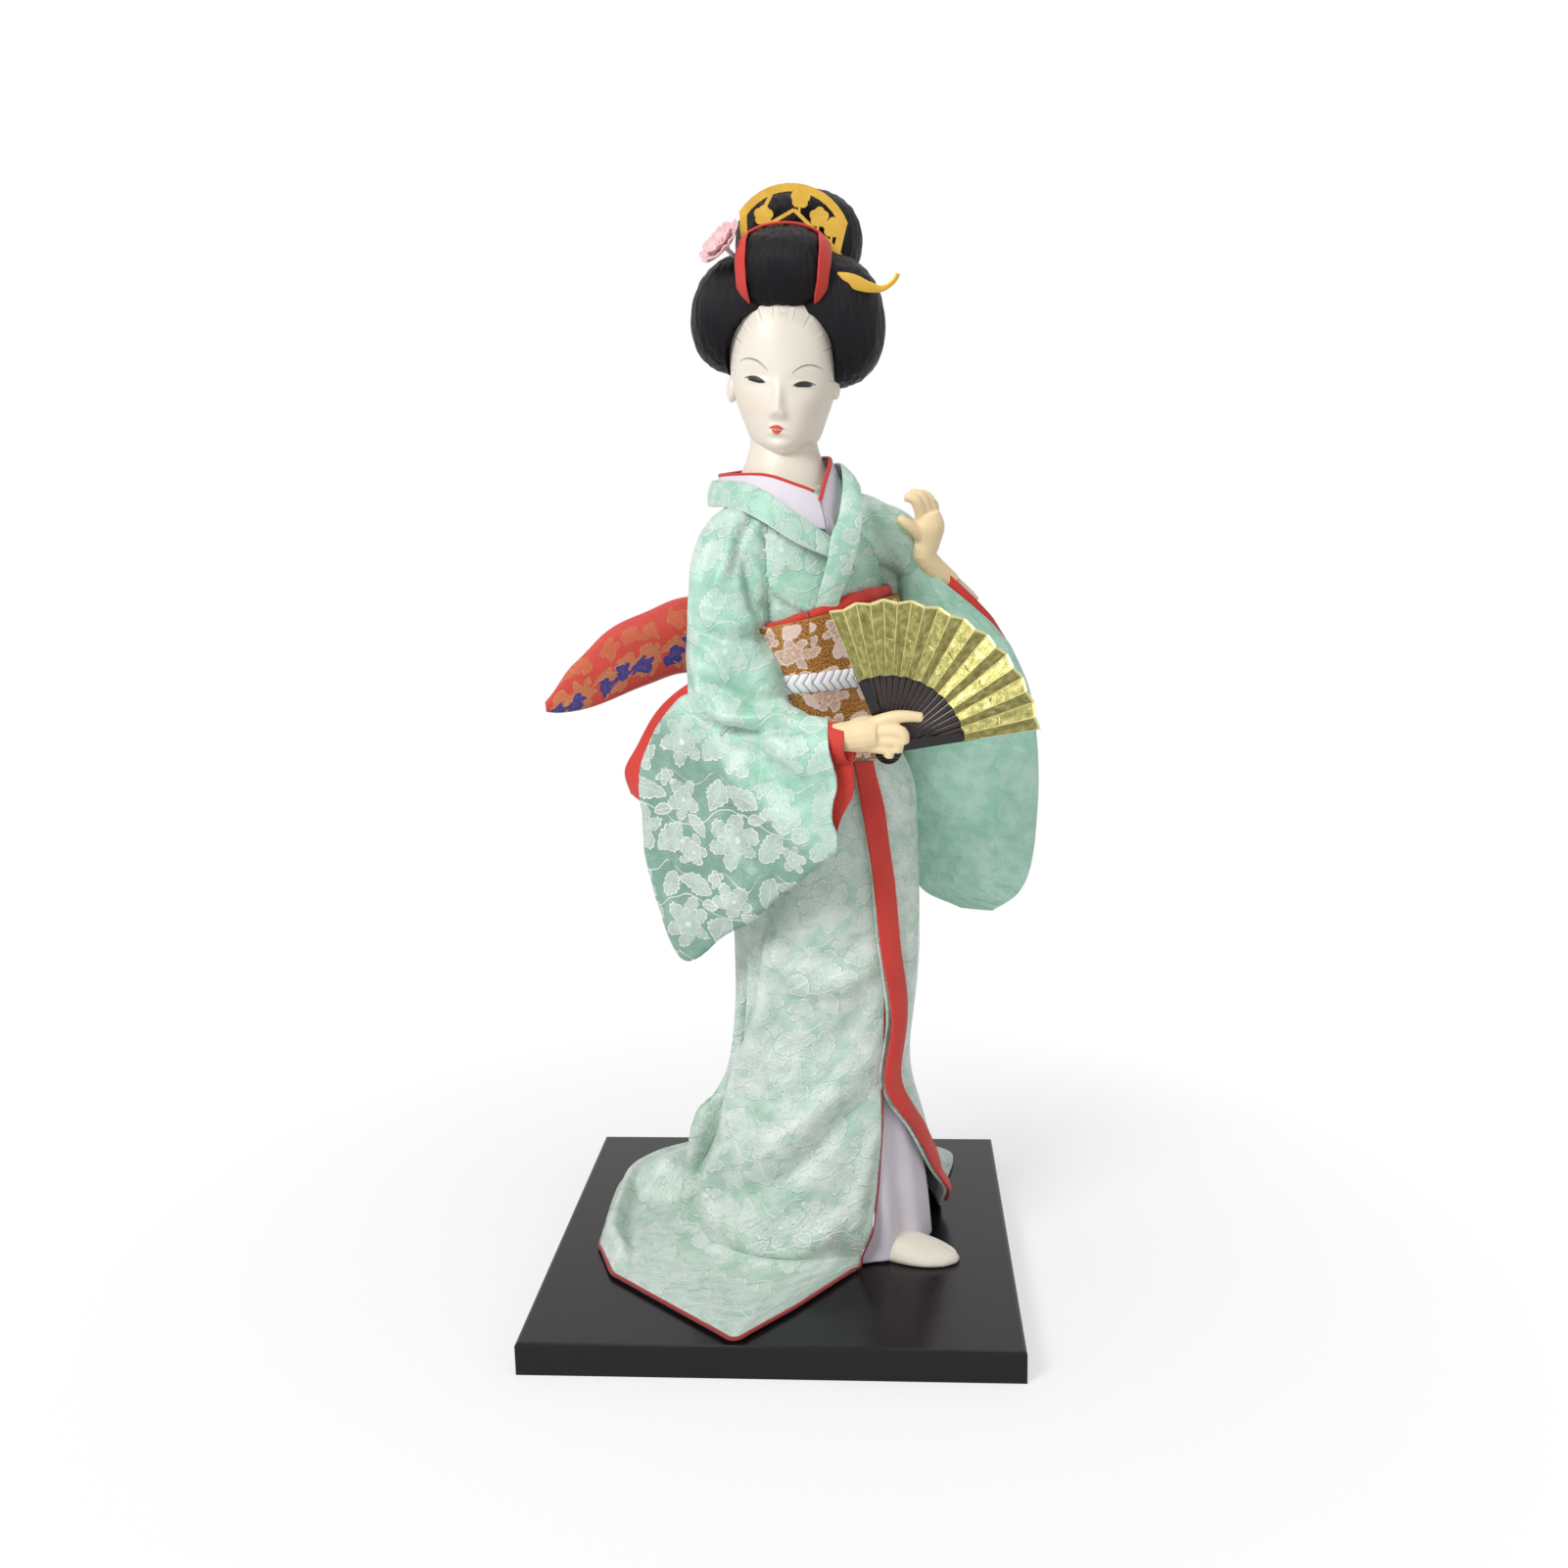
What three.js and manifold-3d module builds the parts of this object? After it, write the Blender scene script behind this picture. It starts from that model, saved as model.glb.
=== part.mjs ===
// Geisha figurine: a costumed doll with an open fan, standing on a square lacquered board.
// Millimetres. X is the viewer's right, Y points away from the viewer, Z is up.
// The origin is the middle of the board's underside. Left and right in names are the doll's own.
import * as THREE from 'three';
import { mergeVertices } from 'three/addons/utils/BufferGeometryUtils.js';
import Module from 'manifold-3d';

const wasm = await Module();
wasm.setup();

// Driving sizes of the board and of the stacked parts of the figure
const boardSide = 130;
const boardThickness = 8.8;
const boardEdge = 0.9;
const skirtLength = 141.2;
const hipWidth = 51;
const torsoLength = 75;
const headHeight = 48;
const headWidth = 29;
const neckRadius = 8.9;
const neckLength = 19;
const hairWidth = 52.5;
const hairHeight = 57;
const footLength = 34;
const footHeight = 8.5;
const handLength = 22;
const dowelRadius = 2.6;
const dowelSocketDepth = 5;
const pegRadius = 3.2;
const pegLength = 26;
const armRadius = 2.6;

// Cloth, cords and the room left between pieces
const clothThickness = 1.1;
const liningThickness = 0.8;
const collarThickness = 0.8;
const hemRollRadius = 0.8;
const pipingRadius = 0.55;
const gap = 0.3;
const facetSlack = 0.08;

// Sash and bow
const obiThickness = 1.7;
const obiHeight = 38;
const obiTilt = 0.22;
const cordHeight = 4.6;
const cordThickness = 1.9;
const sashScarfHeight = 3.6;
const sashScarfThickness = 1.5;
const bowWingLength = 68;
const bowWingHeight = 21;
const bowWingThickness = 11;
const bowKnotHeight = 25;
const bowKnotWidth = 12;
const bowKnotThickness = 8;

// Fan
const fanRadius = 38.5;
const fanStickRadius = 19.2;
const fanLap = 4;
const fanPleats = 10;
const fanPleatDepth = 0.8;
const fanLeafThickness = 0.5;
const fanStickThickness = 0.9;
const fanGuardWidth = 2.6;
const fanGuardThickness = 0.9;
const fanTail = 3.2;
const rivetRadius = 0.9;
const rivetHeadRadius = 1.6;
const rivetHeadHeight = 0.7;
const fanLowAngle = THREE.MathUtils.degToRad(8);
const fanHighAngle = THREE.MathUtils.degToRad(112);

// Hair ornaments
const combWidth = 29;
const combThickness = 1.3;
const combBand = 2.1;
const combTineLength = 8;
const combTineWidth = 1.6;
const ribbonWidth = 3.2;
const ribbonThickness = 0.6;
const blossomRadius = 5.6;
const blossomThickness = 1.6;
const pinLength = 12;
const pinRadius = 0.7;
const hairpinWidth = 3.4;
const hairpinReach = 14.5;
const hairpinThickness = 1.1;

// Directions
const torsoYaw = THREE.MathUtils.degToRad(35);
const bowYaw = THREE.MathUtils.degToRad(18);

// Places that several pieces share
const boardTop = boardThickness;
const waistHeight = boardTop + skirtLength;
const waist = new THREE.Vector3(0.245 * hipWidth, 0.02 * hipWidth, waistHeight);
const headAxis = new THREE.Vector3(waist.x - 0.107 * torsoLength, waist.y, waistHeight + torsoLength);
const chinHeight = headAxis.z + 0.3 * neckLength;

const turn = Math.PI * 2;

function atTorso(shares) {
  const [x, y, z] = shares;
  return new THREE.Vector3(x, y, z).multiplyScalar(torsoLength).add(waist);
}

// Meshes and solids

function solidFrom(points, faces) {
  const vertices = new Float32Array(points.flatMap((p) => [p.x, p.y, p.z]));
  const geometry = new THREE.BufferGeometry();
  geometry.setAttribute('position', new THREE.BufferAttribute(vertices, 3));
  geometry.setIndex(faces.flat());
  return solidOf(geometry);
}

function solidOf(geometry) {
  const bare = geometry.clone();
  bare.deleteAttribute('normal');
  bare.deleteAttribute('uv');
  const merged = mergeVertices(bare);
  const index = Array.from(merged.index.array);
  const faces = [];
  for (let i = 0; i < index.length; i += 3) {
    const [a, b, c] = index.slice(i, i + 3);
    if (a !== b && b !== c && c !== a) faces.push(a, b, c);
  }
  const mesh = { numProp: 3, vertProperties: merged.attributes.position.array };
  const solid = new wasm.Manifold(new wasm.Mesh({ ...mesh, triVerts: new Uint32Array(faces) }));
  if (solid.volume() > 0) return solid;
  const flipped = faces.map((v, i) => (i % 3 === 0 ? v : i % 3 === 1 ? faces[i + 1] : faces[i - 1]));
  return new wasm.Manifold(new wasm.Mesh({ ...mesh, triVerts: new Uint32Array(flipped) }));
}

function geometryOf(solid) {
  const mesh = solid.getMesh();
  const geometry = new THREE.BufferGeometry();
  geometry.setAttribute('position', new THREE.BufferAttribute(new Float32Array(mesh.vertProperties), 3));
  geometry.setIndex(new THREE.BufferAttribute(new Uint32Array(mesh.triVerts), 1));
  const plain = geometry.toNonIndexed();
  plain.computeVertexNormals();
  return plain;
}

// A closed skin over rings that have the same number of points, with both ends closed.
function loft(rings) {
  const sides = rings[0].length;
  const points = rings.flat();
  const faces = [];
  for (let r = 0; r + 1 < rings.length; r += 1) {
    for (let s = 0; s < sides; s += 1) {
      const next = (s + 1) % sides;
      const [a, b] = [r * sides + s, r * sides + next];
      faces.push([a, b, b + sides], [a, b + sides, a + sides]);
    }
  }
  for (const [ring, forward] of [[0, false], [rings.length - 1, true]]) {
    const centre = rings[ring].reduce((sum, p) => sum.add(p), new THREE.Vector3()).divideScalar(sides);
    points.push(centre);
    for (let s = 0; s < sides; s += 1) {
      const [a, b] = [ring * sides + s, ring * sides + ((s + 1) % sides)];
      faces.push(forward ? [a, b, points.length - 1] : [b, a, points.length - 1]);
    }
  }
  return solidFrom(points, faces);
}

// A sheet of even thickness over a grid of rows and columns.
function sheet(grid, thickness) {
  const rows = grid.length;
  const columns = grid[0].length;
  const front = [];
  const back = [];
  for (let r = 0; r < rows; r += 1) {
    for (let c = 0; c < columns; c += 1) {
      const along = grid[Math.min(r + 1, rows - 1)][c].clone().sub(grid[Math.max(r - 1, 0)][c]);
      const across = grid[r][Math.min(c + 1, columns - 1)].clone().sub(grid[r][Math.max(c - 1, 0)]);
      const normal = along.cross(across).normalize().multiplyScalar(thickness / 2);
      front.push(grid[r][c].clone().add(normal));
      back.push(grid[r][c].clone().sub(normal));
    }
  }
  const shift = front.length;
  const faces = [];
  for (let r = 0; r + 1 < rows; r += 1) {
    for (let c = 0; c + 1 < columns; c += 1) {
      const [a, b] = [r * columns + c, r * columns + c + 1];
      const [d, e] = [a + columns, b + columns];
      faces.push([a, d, e], [a, e, b], [a + shift, e + shift, d + shift], [a + shift, b + shift, e + shift]);
    }
  }
  const rim = [];
  for (let c = 0; c < columns; c += 1) rim.push(c);
  for (let r = 1; r < rows; r += 1) rim.push(r * columns + columns - 1);
  for (let c = columns - 2; c >= 0; c -= 1) rim.push((rows - 1) * columns + c);
  for (let r = rows - 2; r > 0; r -= 1) rim.push(r * columns);
  rim.forEach((a, i) => {
    const b = rim[(i + 1) % rim.length];
    faces.push([a, b, b + shift], [a, b + shift, a + shift]);
  });
  return solidFrom([...front, ...back], faces);
}

// A tube of round or oval section along a route, closed at both ends or joined into a ring.
function tube(route, radii, sides, { closed = false, flat = 1, up = new THREE.Vector3(0, 0, 1) } = {}) {
  const rings = route.map((centre, i) => {
    const before = route[closed ? (i + route.length - 1) % route.length : Math.max(i - 1, 0)];
    const after = route[closed ? (i + 1) % route.length : Math.min(i + 1, route.length - 1)];
    const forward = after.clone().sub(before).normalize();
    const side = forward.clone().cross(up).normalize();
    const rise = side.clone().cross(forward);
    const radius = Array.isArray(radii) ? radii[i] : radii;
    return Array.from({ length: sides }, (unused, s) => {
      const angle = (s * turn) / sides;
      const out = side.clone().multiplyScalar(Math.cos(angle) * radius * flat);
      return out.addScaledVector(rise, Math.sin(angle) * radius).add(centre);
    });
  });
  if (!closed) return loft(rings);
  const faces = [];
  rings.forEach((ring, r) => {
    const nextRing = ((r + 1) % rings.length) * sides;
    for (let s = 0; s < sides; s += 1) {
      const next = (s + 1) % sides;
      faces.push([r * sides + s, r * sides + next, nextRing + next], [r * sides + s, nextRing + next, nextRing + s]);
    }
  });
  return solidFrom(rings.flat(), faces);
}

function smoothRoute(points, count) {
  return new THREE.CatmullRomCurve3(points, false, 'centripetal').getPoints(count);
}

// Rows of numbers drawn through a smooth curve, so that a short table gives many sections.
function smoothRows(rows, perSpan) {
  const made = [];
  for (let i = 0; i + 1 < rows.length; i += 1) {
    const [p, q, r, s] = [rows[Math.max(i - 1, 0)], rows[i], rows[i + 1], rows[Math.min(i + 2, rows.length - 1)]];
    for (let k = 0; k < perSpan; k += 1) {
      const t = k / perSpan;
      made.push(q.map((v, n) => catmull(p[n], v, r[n], s[n], t)));
    }
  }
  made.push(rows.at(-1));
  return made;
}

function catmull(a, b, c, d, t) {
  const first = (c - a) * t;
  const second = (2 * a - 5 * b + 4 * c - d) * t * t;
  const third = (3 * b - a - 3 * c + d) * t * t * t;
  return b + (first + second + third) / 2;
}

// The row at one value of the first column, which rises or falls all the way down the table.
function rowAt(rows, value) {
  const falling = rows[0][0] > rows.at(-1)[0];
  let i = rows.findIndex((row) => (falling ? row[0] <= value : row[0] >= value));
  i = THREE.MathUtils.clamp(i < 0 ? rows.length - 1 : i, 1, rows.length - 1);
  const [p, q, r, s] = [rows[Math.max(i - 2, 0)], rows[i - 1], rows[i], rows[Math.min(i + 1, rows.length - 1)]];
  const t = THREE.MathUtils.clamp((value - q[0]) / (r[0] - q[0]), 0, 1);
  return q.map((v, n) => catmull(p[n], v, r[n], s[n], t));
}

// A solid with each face moved out by a distance: the room that its neighbours leave it.
function grown(solid, distance) {
  const mesh = solid.getMesh();
  const points = mesh.vertProperties;
  const faces = mesh.triVerts;
  const count = points.length / 3;
  const sums = Array.from({ length: count }, () => ({ matrix: new Array(6).fill(0), normal: new THREE.Vector3() }));
  const corner = (v) => new THREE.Vector3(points[3 * v], points[3 * v + 1], points[3 * v + 2]);
  for (let f = 0; f < faces.length; f += 3) {
    const ids = [faces[f], faces[f + 1], faces[f + 2]];
    const [a, b, c] = ids.map(corner);
    const normal = b.clone().sub(a).cross(c.clone().sub(a));
    if (normal.length() < distance * distance * 1e-4) continue;
    normal.normalize();
    ids.forEach((id, k) => {
      const [here, one, two] = [[a, b, c], [b, c, a], [c, a, b]][k];
      const weight = one.clone().sub(here).angleTo(two.clone().sub(here));
      const { x, y, z } = normal;
      [x * x, x * y, x * z, y * y, y * z, z * z].forEach((v, n) => { sums[id].matrix[n] += v * weight; });
      sums[id].normal.addScaledVector(normal, weight);
    });
  }
  const moved = new Float32Array(points.length);
  sums.forEach(({ matrix, normal }, v) => {
    const [xx, xy, xz, yy, yz, zz] = matrix;
    const loose = 0.08;
    const mean = normal.clone().normalize();
    const solve = new THREE.Matrix3().set(xx + loose, xy, xz, xy, yy + loose, yz, xz, yz, zz + loose).invert();
    const step = normal.clone().addScaledVector(mean, loose).applyMatrix3(solve).clampLength(0, 2.5);
    corner(v).addScaledVector(step, distance).toArray(moved, 3 * v);
  });
  return new wasm.Manifold(new wasm.Mesh({ numProp: 3, vertProperties: moved, triVerts: faces }));
}

// A cut solid without the corners that its form doesn't need: a corner joins its neighbour
// where that moves no face by more than the slack.
function plainer(solid, slack) {
  const { vertProperties, triVerts } = solid.getMesh();
  const points = [];
  for (let i = 0; i < vertProperties.length; i += 3) points.push(new THREE.Vector3().fromArray(vertProperties, i));
  const faces = [];
  for (let i = 0; i < triVerts.length; i += 3) faces.push(Array.from(triVerts.slice(i, i + 3)));
  const facesAt = points.map(() => new Set());
  faces.forEach((face, f) => face.forEach((v) => facesAt[v].add(f)));
  const neighbours = (v) => new Set([...facesAt[v]].flatMap((f) => faces[f]).filter((other) => other !== v));
  for (let round = 0; round < 3; round += 1) {
    points.forEach((unused, v) => {
      if (facesAt[v].size === 0) return;
      const near = [...neighbours(v)].sort((a, b) => points[a].distanceTo(points[v]) - points[b].distanceTo(points[v]));
      const target = near.find((other) => canJoin(points, faces, facesAt, neighbours, v, other, slack));
      if (target === undefined) return;
      for (const f of facesAt[v]) {
        if (faces[f].includes(target)) {
          for (const corner of faces[f]) if (corner !== v) facesAt[corner].delete(f);
          faces[f] = null;
        } else {
          faces[f] = faces[f].map((corner) => (corner === v ? target : corner));
          facesAt[target].add(f);
        }
      }
      facesAt[v].clear();
    });
  }
  const kept = new Map();
  const left = faces.filter(Boolean).map((face) => face.map((v) => {
    if (!kept.has(v)) kept.set(v, kept.size);
    return kept.get(v);
  }));
  return solidFrom([...kept.keys()].map((v) => points[v]), left);
}

function canJoin(points, faces, facesAt, neighbours, v, target, slack) {
  const around = neighbours(target);
  if ([...neighbours(v)].filter((other) => around.has(other)).length !== 2) return false;
  const move = points[target].clone().sub(points[v]);
  return [...facesAt[v]].every((f) => {
    if (faces[f].includes(target)) return true;
    const before = areaVector(faces[f].map((corner) => points[corner]));
    const after = areaVector(faces[f].map((corner) => points[corner === v ? target : corner]));
    if (before.length() === 0 || after.length() < slack * slack) return false;
    if (Math.abs(move.dot(before.clone().normalize())) > slack) return false;
    return before.angleTo(after) < 0.35;
  });
}

function areaVector([a, b, c]) {
  return b.clone().sub(a).cross(c.clone().sub(a));
}

function largestBody(solid) {
  const bodies = solid.decompose();
  return bodies.reduce((best, body) => (body.volume() > best.volume() ? body : best));
}

function union(solids) {
  return solids.reduce((sum, solid) => sum.add(solid));
}

// Every piece in the order of making: each stands clear of those made before it.
const pieces = new Map();

function piece(name, finish, solid, { room = solid } = {}) {
  let kept = solid;
  for (const [earlierName, earlier] of pieces) {
    if (!boxesMeet(kept, earlier.room)) continue;
    earlier.grownRoom ??= grown(earlier.room, gap);
    kept = kept.subtract(earlier.grownRoom);
    if (kept.isEmpty()) throw new Error(`${name} is lost in ${earlierName}`);
  }
  pieces.set(name, { finish, solid: plainer(largestBody(kept), facetSlack), room });
}

function boxesMeet(one, two) {
  const [a, b] = [one.boundingBox(), two.boundingBox()];
  return [0, 1, 2].every((i) => a.min[i] < b.max[i] + gap && b.min[i] < a.max[i] + gap);
}

// Finishes

const finishes = {
  lacquer: ['#26242a', 0.25, 0],
  wood: ['#c9a878', 0.7, 0],
  strawCore: ['#c8b078', 0.9, 0],
  paper: ['#e6dcc4', 0.85, 0],
  porcelain: ['#ece6d8', 0.45, 0],
  skin: ['#f0d9b0', 0.5, 0],
  tabi: ['#efe8d2', 0.75, 0],
  hair: ['#141012', 0.45, 0],
  mint: ['#a9d8c4', 0.4, 0],
  white: ['#e8e2ee', 0.8, 0],
  red: ['#e0493c', 0.6, 0],
  goldBrocade: ['#b08a46', 0.5, 0.1],
  redBrocade: ['#cf4035', 0.5, 0.05],
  whiteCord: ['#eeeef2', 0.7, 0],
  foil: ['#c8b458', 0.25, 0.9],
  blackGloss: ['#1c1113', 0.2, 0],
  gilt: ['#d9a428', 0.4, 0.6],
  pink: ['#efa3a8', 0.8, 0],
};

// Board

function board() {
  const half = boardSide / 2 - boardEdge;
  const shape = new THREE.Shape([[-half, -half], [half, -half], [half, half], [-half, half]].map(
    ([x, y]) => new THREE.Vector2(x, y)));
  const depth = boardThickness - boardEdge;
  const bevel = { bevelEnabled: true, bevelThickness: boardEdge, bevelSize: boardEdge, bevelSegments: 2 };
  const solid = solidOf(new THREE.ExtrudeGeometry(shape, { depth, ...bevel }));
  const under = new THREE.BoxGeometry(2 * boardSide, 2 * boardSide, boardThickness);
  under.translate(0, 0, -boardThickness / 2);
  return solid.subtract(solidOf(under));
}

// Torso, whose sections also give the kimono, sash and collars their places:
// height, centre across, centre deep, half width and half depth as shares of the torso length.
const torsoShares = [
  [-0.187, 0, 0, 0.26, 0.213],
  [0.027, 0, 0, 0.267, 0.22],
  [0.293, -0.007, 0, 0.26, 0.22],
  [0.56, -0.02, 0, 0.273, 0.227],
  [0.747, -0.053, 0, 0.287, 0.22],
  [0.867, -0.08, 0, 0.273, 0.193],
  [0.947, -0.093, 0, 0.233, 0.173],
  [1, -0.107, 0, 0.18, 0.173],
];

// A point on an oval section, in a true direction seen from its centre: 0 is the viewer's side.
function ovalPoint(x, y, z, halfWidth, halfDepth, yaw, angle, lift) {
  const own = angle - yaw;
  const reach = (halfWidth * halfDepth)
    / Math.hypot(halfDepth * Math.sin(own), halfWidth * Math.cos(own)) + lift;
  return new THREE.Vector3(x - Math.sin(angle) * reach, y - Math.cos(angle) * reach, z);
}

function torsoPoint(angle, height, lift) {
  const row = rowAt(torsoShares, (height - waistHeight) / torsoLength);
  const [, x, y, halfWidth, halfDepth] = row.map((share) => share * torsoLength);
  return ovalPoint(waist.x + x, waist.y + y, height, halfWidth, halfDepth, -torsoYaw, angle, lift);
}

function torsoRing(height, lift, sides, tilt = 0) {
  return Array.from({ length: sides }, (unused, s) => {
    const angle = (s * turn) / sides;
    const across = -Math.sin(angle) * 0.27 * torsoLength;
    return torsoPoint(angle, height + tilt * across, lift);
  });
}

const torsoSides = 20;
const bodiceHeights = [0.14, 0.3, 0.5, 0.68, 0.8, 0.88, 0.95, 1].map((share) => waistHeight + share * torsoLength);
const coreBottom = waistHeight - 0.17 * torsoLength;

function torsoCore() {
  const heights = [coreBottom, waistHeight, ...bodiceHeights];
  const rings = heights.map((height) => torsoRing(height, -clothThickness - gap, 14));
  return loft(rings);
}

function bodice() {
  const outer = loft(bodiceHeights.map((height) => torsoRing(height, 0, torsoSides)));
  const reach = [bodiceHeights[0] - clothThickness, ...bodiceHeights.slice(1, -1), bodiceHeights.at(-1) + clothThickness];
  const inner = loft(reach.map((height) => torsoRing(height, -clothThickness, torsoSides)));
  return { outer, shell: outer.subtract(inner) };
}

// Head, neck and peg

// Height, half width, front reach and back reach of the head, from chin to crown, as shares of its sizes.
const headShares = [
  [0, 0.1, 0.3, -0.1],
  [0.03, 0.2, 0.4, 0.05],
  [0.09, 0.31, 0.455, 0.2],
  [0.2, 0.385, 0.48, 0.32],
  [0.31, 0.45, 0.485, 0.41],
  [0.43, 0.49, 0.485, 0.47],
  [0.56, 0.5, 0.48, 0.5],
  [0.68, 0.485, 0.455, 0.5],
  [0.8, 0.43, 0.385, 0.46],
  [0.91, 0.31, 0.26, 0.35],
  [0.98, 0.14, 0.1, 0.17],
  [1, 0.04, 0.03, 0.05],
];
const headCentreX = headAxis.x + 0.02 * headWidth;

function headRing(share, halfWidth, front, back, sides) {
  const height = chinHeight + share * headHeight;
  return Array.from({ length: sides }, (unused, s) => {
    const angle = (s * turn) / sides;
    const depth = Math.cos(angle) > 0 ? -front * headWidth : back * headWidth;
    const x = headCentreX - Math.sin(angle) * halfWidth * headWidth;
    return new THREE.Vector3(x, headAxis.y + Math.abs(Math.cos(angle)) * depth, height);
  });
}

function nose() {
  const top = 0.42;
  const tip = 0.21;
  const rows = [[top, 0.47, 0.045], [(top + tip) / 2, 0.525, 0.06], [tip, 0.565, 0.075], [tip - 0.03, 0.48, 0.06]];
  return loft(rows.map(([height, reach, half]) => [-1, 0, 1, 0].map((side, i) => new THREE.Vector3(
    headCentreX - 0.03 * headWidth + side * half * headWidth,
    headAxis.y - (i === 1 ? reach : i === 3 ? 0.36 : reach - 0.09) * headWidth,
    chinHeight + height * headHeight,
  ))));
}

function ear(side) {
  const geometry = new THREE.SphereGeometry(1, 8, 6);
  geometry.scale(0.04 * headWidth, 0.1 * headWidth, 0.075 * headHeight);
  geometry.rotateZ(side * 0.4);
  geometry.translate(
    headCentreX + side * 0.505 * headWidth,
    headAxis.y + 0.03 * headWidth,
    chinHeight + 0.37 * headHeight,
  );
  return solidOf(geometry);
}

function neck() {
  const bottom = headAxis.z - 0.5 * neckLength;
  const rows = [[0, bottom], [0.92, bottom], [1.2, headAxis.z - 0.1 * neckLength], [1.14, headAxis.z + 0.2 * neckLength],
    [1, chinHeight + 0.1 * neckLength], [0.95, chinHeight + 0.45 * neckLength], [0, chinHeight + 0.5 * neckLength]];
  const profile = rows.map(([share, height]) => new THREE.Vector2(share * neckRadius, height));
  const geometry = new THREE.LatheGeometry(profile, 16);
  geometry.rotateX(Math.PI / 2);
  geometry.translate(headAxis.x, headAxis.y, 0);
  return solidOf(geometry);
}

function headSolid() {
  const rings = smoothRows(headShares, 1).map((row) => headRing(...row, 20));
  return union([loft(rings), neck(), nose(), ear(-1), ear(1)]);
}

function cylinder(from, to, radius, sides = 12) {
  return tube([from, to], radius, sides, { up: new THREE.Vector3(0, 1, 0.01) });
}

const neckBottom = headAxis.z - 0.5 * neckLength;

function neckPeg() {
  const from = new THREE.Vector3(headAxis.x, headAxis.y, neckBottom - pegLength);
  return cylinder(from, new THREE.Vector3(headAxis.x, headAxis.y, neckBottom - gap), pegRadius, 16);
}

// Hair, in padded masses round the head: centre across and deep, height above the chin,
// then half width, half depth and half height, as shares of the hair's width and height,
// and how far each mass leans outward towards its foot.
const hairShares = {
  hair_front_roll: [[0.012, -0.05, 0.822], [0.255, 0.26, 0.205], 0],
  hair_wing_right: [[-0.15, 0.05, 0.658], [0.318, 0.25, 0.278], -0.1],
  hair_wing_left: [[0.185, 0.05, 0.615], [0.325, 0.25, 0.311], 0.07],
  hair_topknot: [[0.1, 0.25, 0.98], [0.31, 0.22, 0.215], 0],
  hair_back_roll: [[0.02, 0.26, 0.6], [0.37, 0.27, 0.3], 0],
};
const squareness = 2.3;

function hairMass([centre, halves, lean]) {
  const geometry = new THREE.SphereGeometry(1, 16, 10);
  geometry.rotateX(Math.PI / 2);
  const places = geometry.attributes.position;
  for (let i = 0; i < places.count; i += 1) {
    const p = new THREE.Vector3().fromBufferAttribute(places, i);
    const size = p.toArray().reduce((sum, v) => sum + Math.abs(v) ** squareness, 0) ** (1 / squareness);
    p.divideScalar(size);
    places.setXYZ(i, p.x - lean * p.z, p.y, p.z);
  }
  const [x, y, z] = centre;
  geometry.scale(halves[0] * hairWidth, halves[1] * hairWidth, halves[2] * hairHeight);
  geometry.translate(headCentreX + x * hairWidth, headAxis.y + y * hairWidth, chinHeight + z * hairHeight);
  return solidOf(geometry);
}

// The arched opening for the face, which flares towards the viewer as the hair rolls away from it.
function faceOpening() {
  const rows = [[0.05, 0.485], [-0.1, 0.49], [-0.35, 0.52], [-0.55, 0.57], [-0.9, 0.65]];
  const arch = 2 / 2.8;
  return loft(rows.map(([depth, half]) => Array.from({ length: 28 }, (unused, s) => {
    const angle = (s * turn) / 28;
    const rise = (Math.sin(angle) > 0 ? 0.335 * headHeight : headHeight) * Math.abs(Math.sin(angle)) ** arch;
    const side = Math.sign(Math.cos(angle)) * Math.abs(Math.cos(angle)) ** arch;
    return new THREE.Vector3(
      headCentreX + side * half * headWidth,
      headAxis.y + depth * headWidth,
      chinHeight + 0.43 * headHeight + Math.sign(Math.sin(angle)) * rise * (half / 0.485),
    );
  })));
}

// A red ribbon over the front roll, from under the comb down to the hairline.
function hairRibbon(acrossTop, acrossBottom) {
  const [centre, halves] = hairShares.hair_front_roll;
  const steps = 12;
  const from = THREE.MathUtils.degToRad(72);
  const to = THREE.MathUtils.degToRad(-54);
  const grid = [];
  for (let i = 0; i <= steps; i += 1) {
    const t = i / steps;
    const lean = THREE.MathUtils.lerp(from, to, t);
    const across = THREE.MathUtils.lerp(acrossTop, acrossBottom, t);
    const row = [-0.5, 0, 0.5].map((side) => {
      const u = THREE.MathUtils.clamp(across + (side * ribbonWidth) / (halves[0] * hairWidth), -0.95, 0.95);
      const [depth, height] = [Math.cos(lean), Math.sin(lean)].map((v) => Math.abs(v) ** squareness);
      const girth = ((1 - Math.abs(u) ** squareness) / (depth + height)) ** (1 / squareness);
      const lift = gap + ribbonThickness;
      return new THREE.Vector3(
        headCentreX + centre[0] * hairWidth + u * halves[0] * hairWidth,
        headAxis.y + centre[1] * hairWidth - Math.cos(lean) * (halves[1] * hairWidth * girth + lift),
        chinHeight + centre[2] * hairHeight + Math.sin(lean) * (halves[2] * hairHeight * girth + lift),
      );
    });
    grid.push(row);
  }
  return sheet(grid, ribbonThickness);
}

// Comb: a gilt band between two arcs of one radius, cut through with blossoms on a branch,
// standing on tines pushed into the hair.
const combRadius = 0.56 * combWidth;
const combHeight = 0.33 * combWidth;
const combHalfAngle = THREE.MathUtils.degToRad(62);
const combBase = new THREE.Vector3(
  headCentreX + 0.042 * hairWidth,
  headAxis.y - 0.01 * hairWidth,
  chinHeight + 0.933 * hairHeight,
);
const combTurn = THREE.MathUtils.degToRad(7.5);
const combPullLength = 18;

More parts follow.
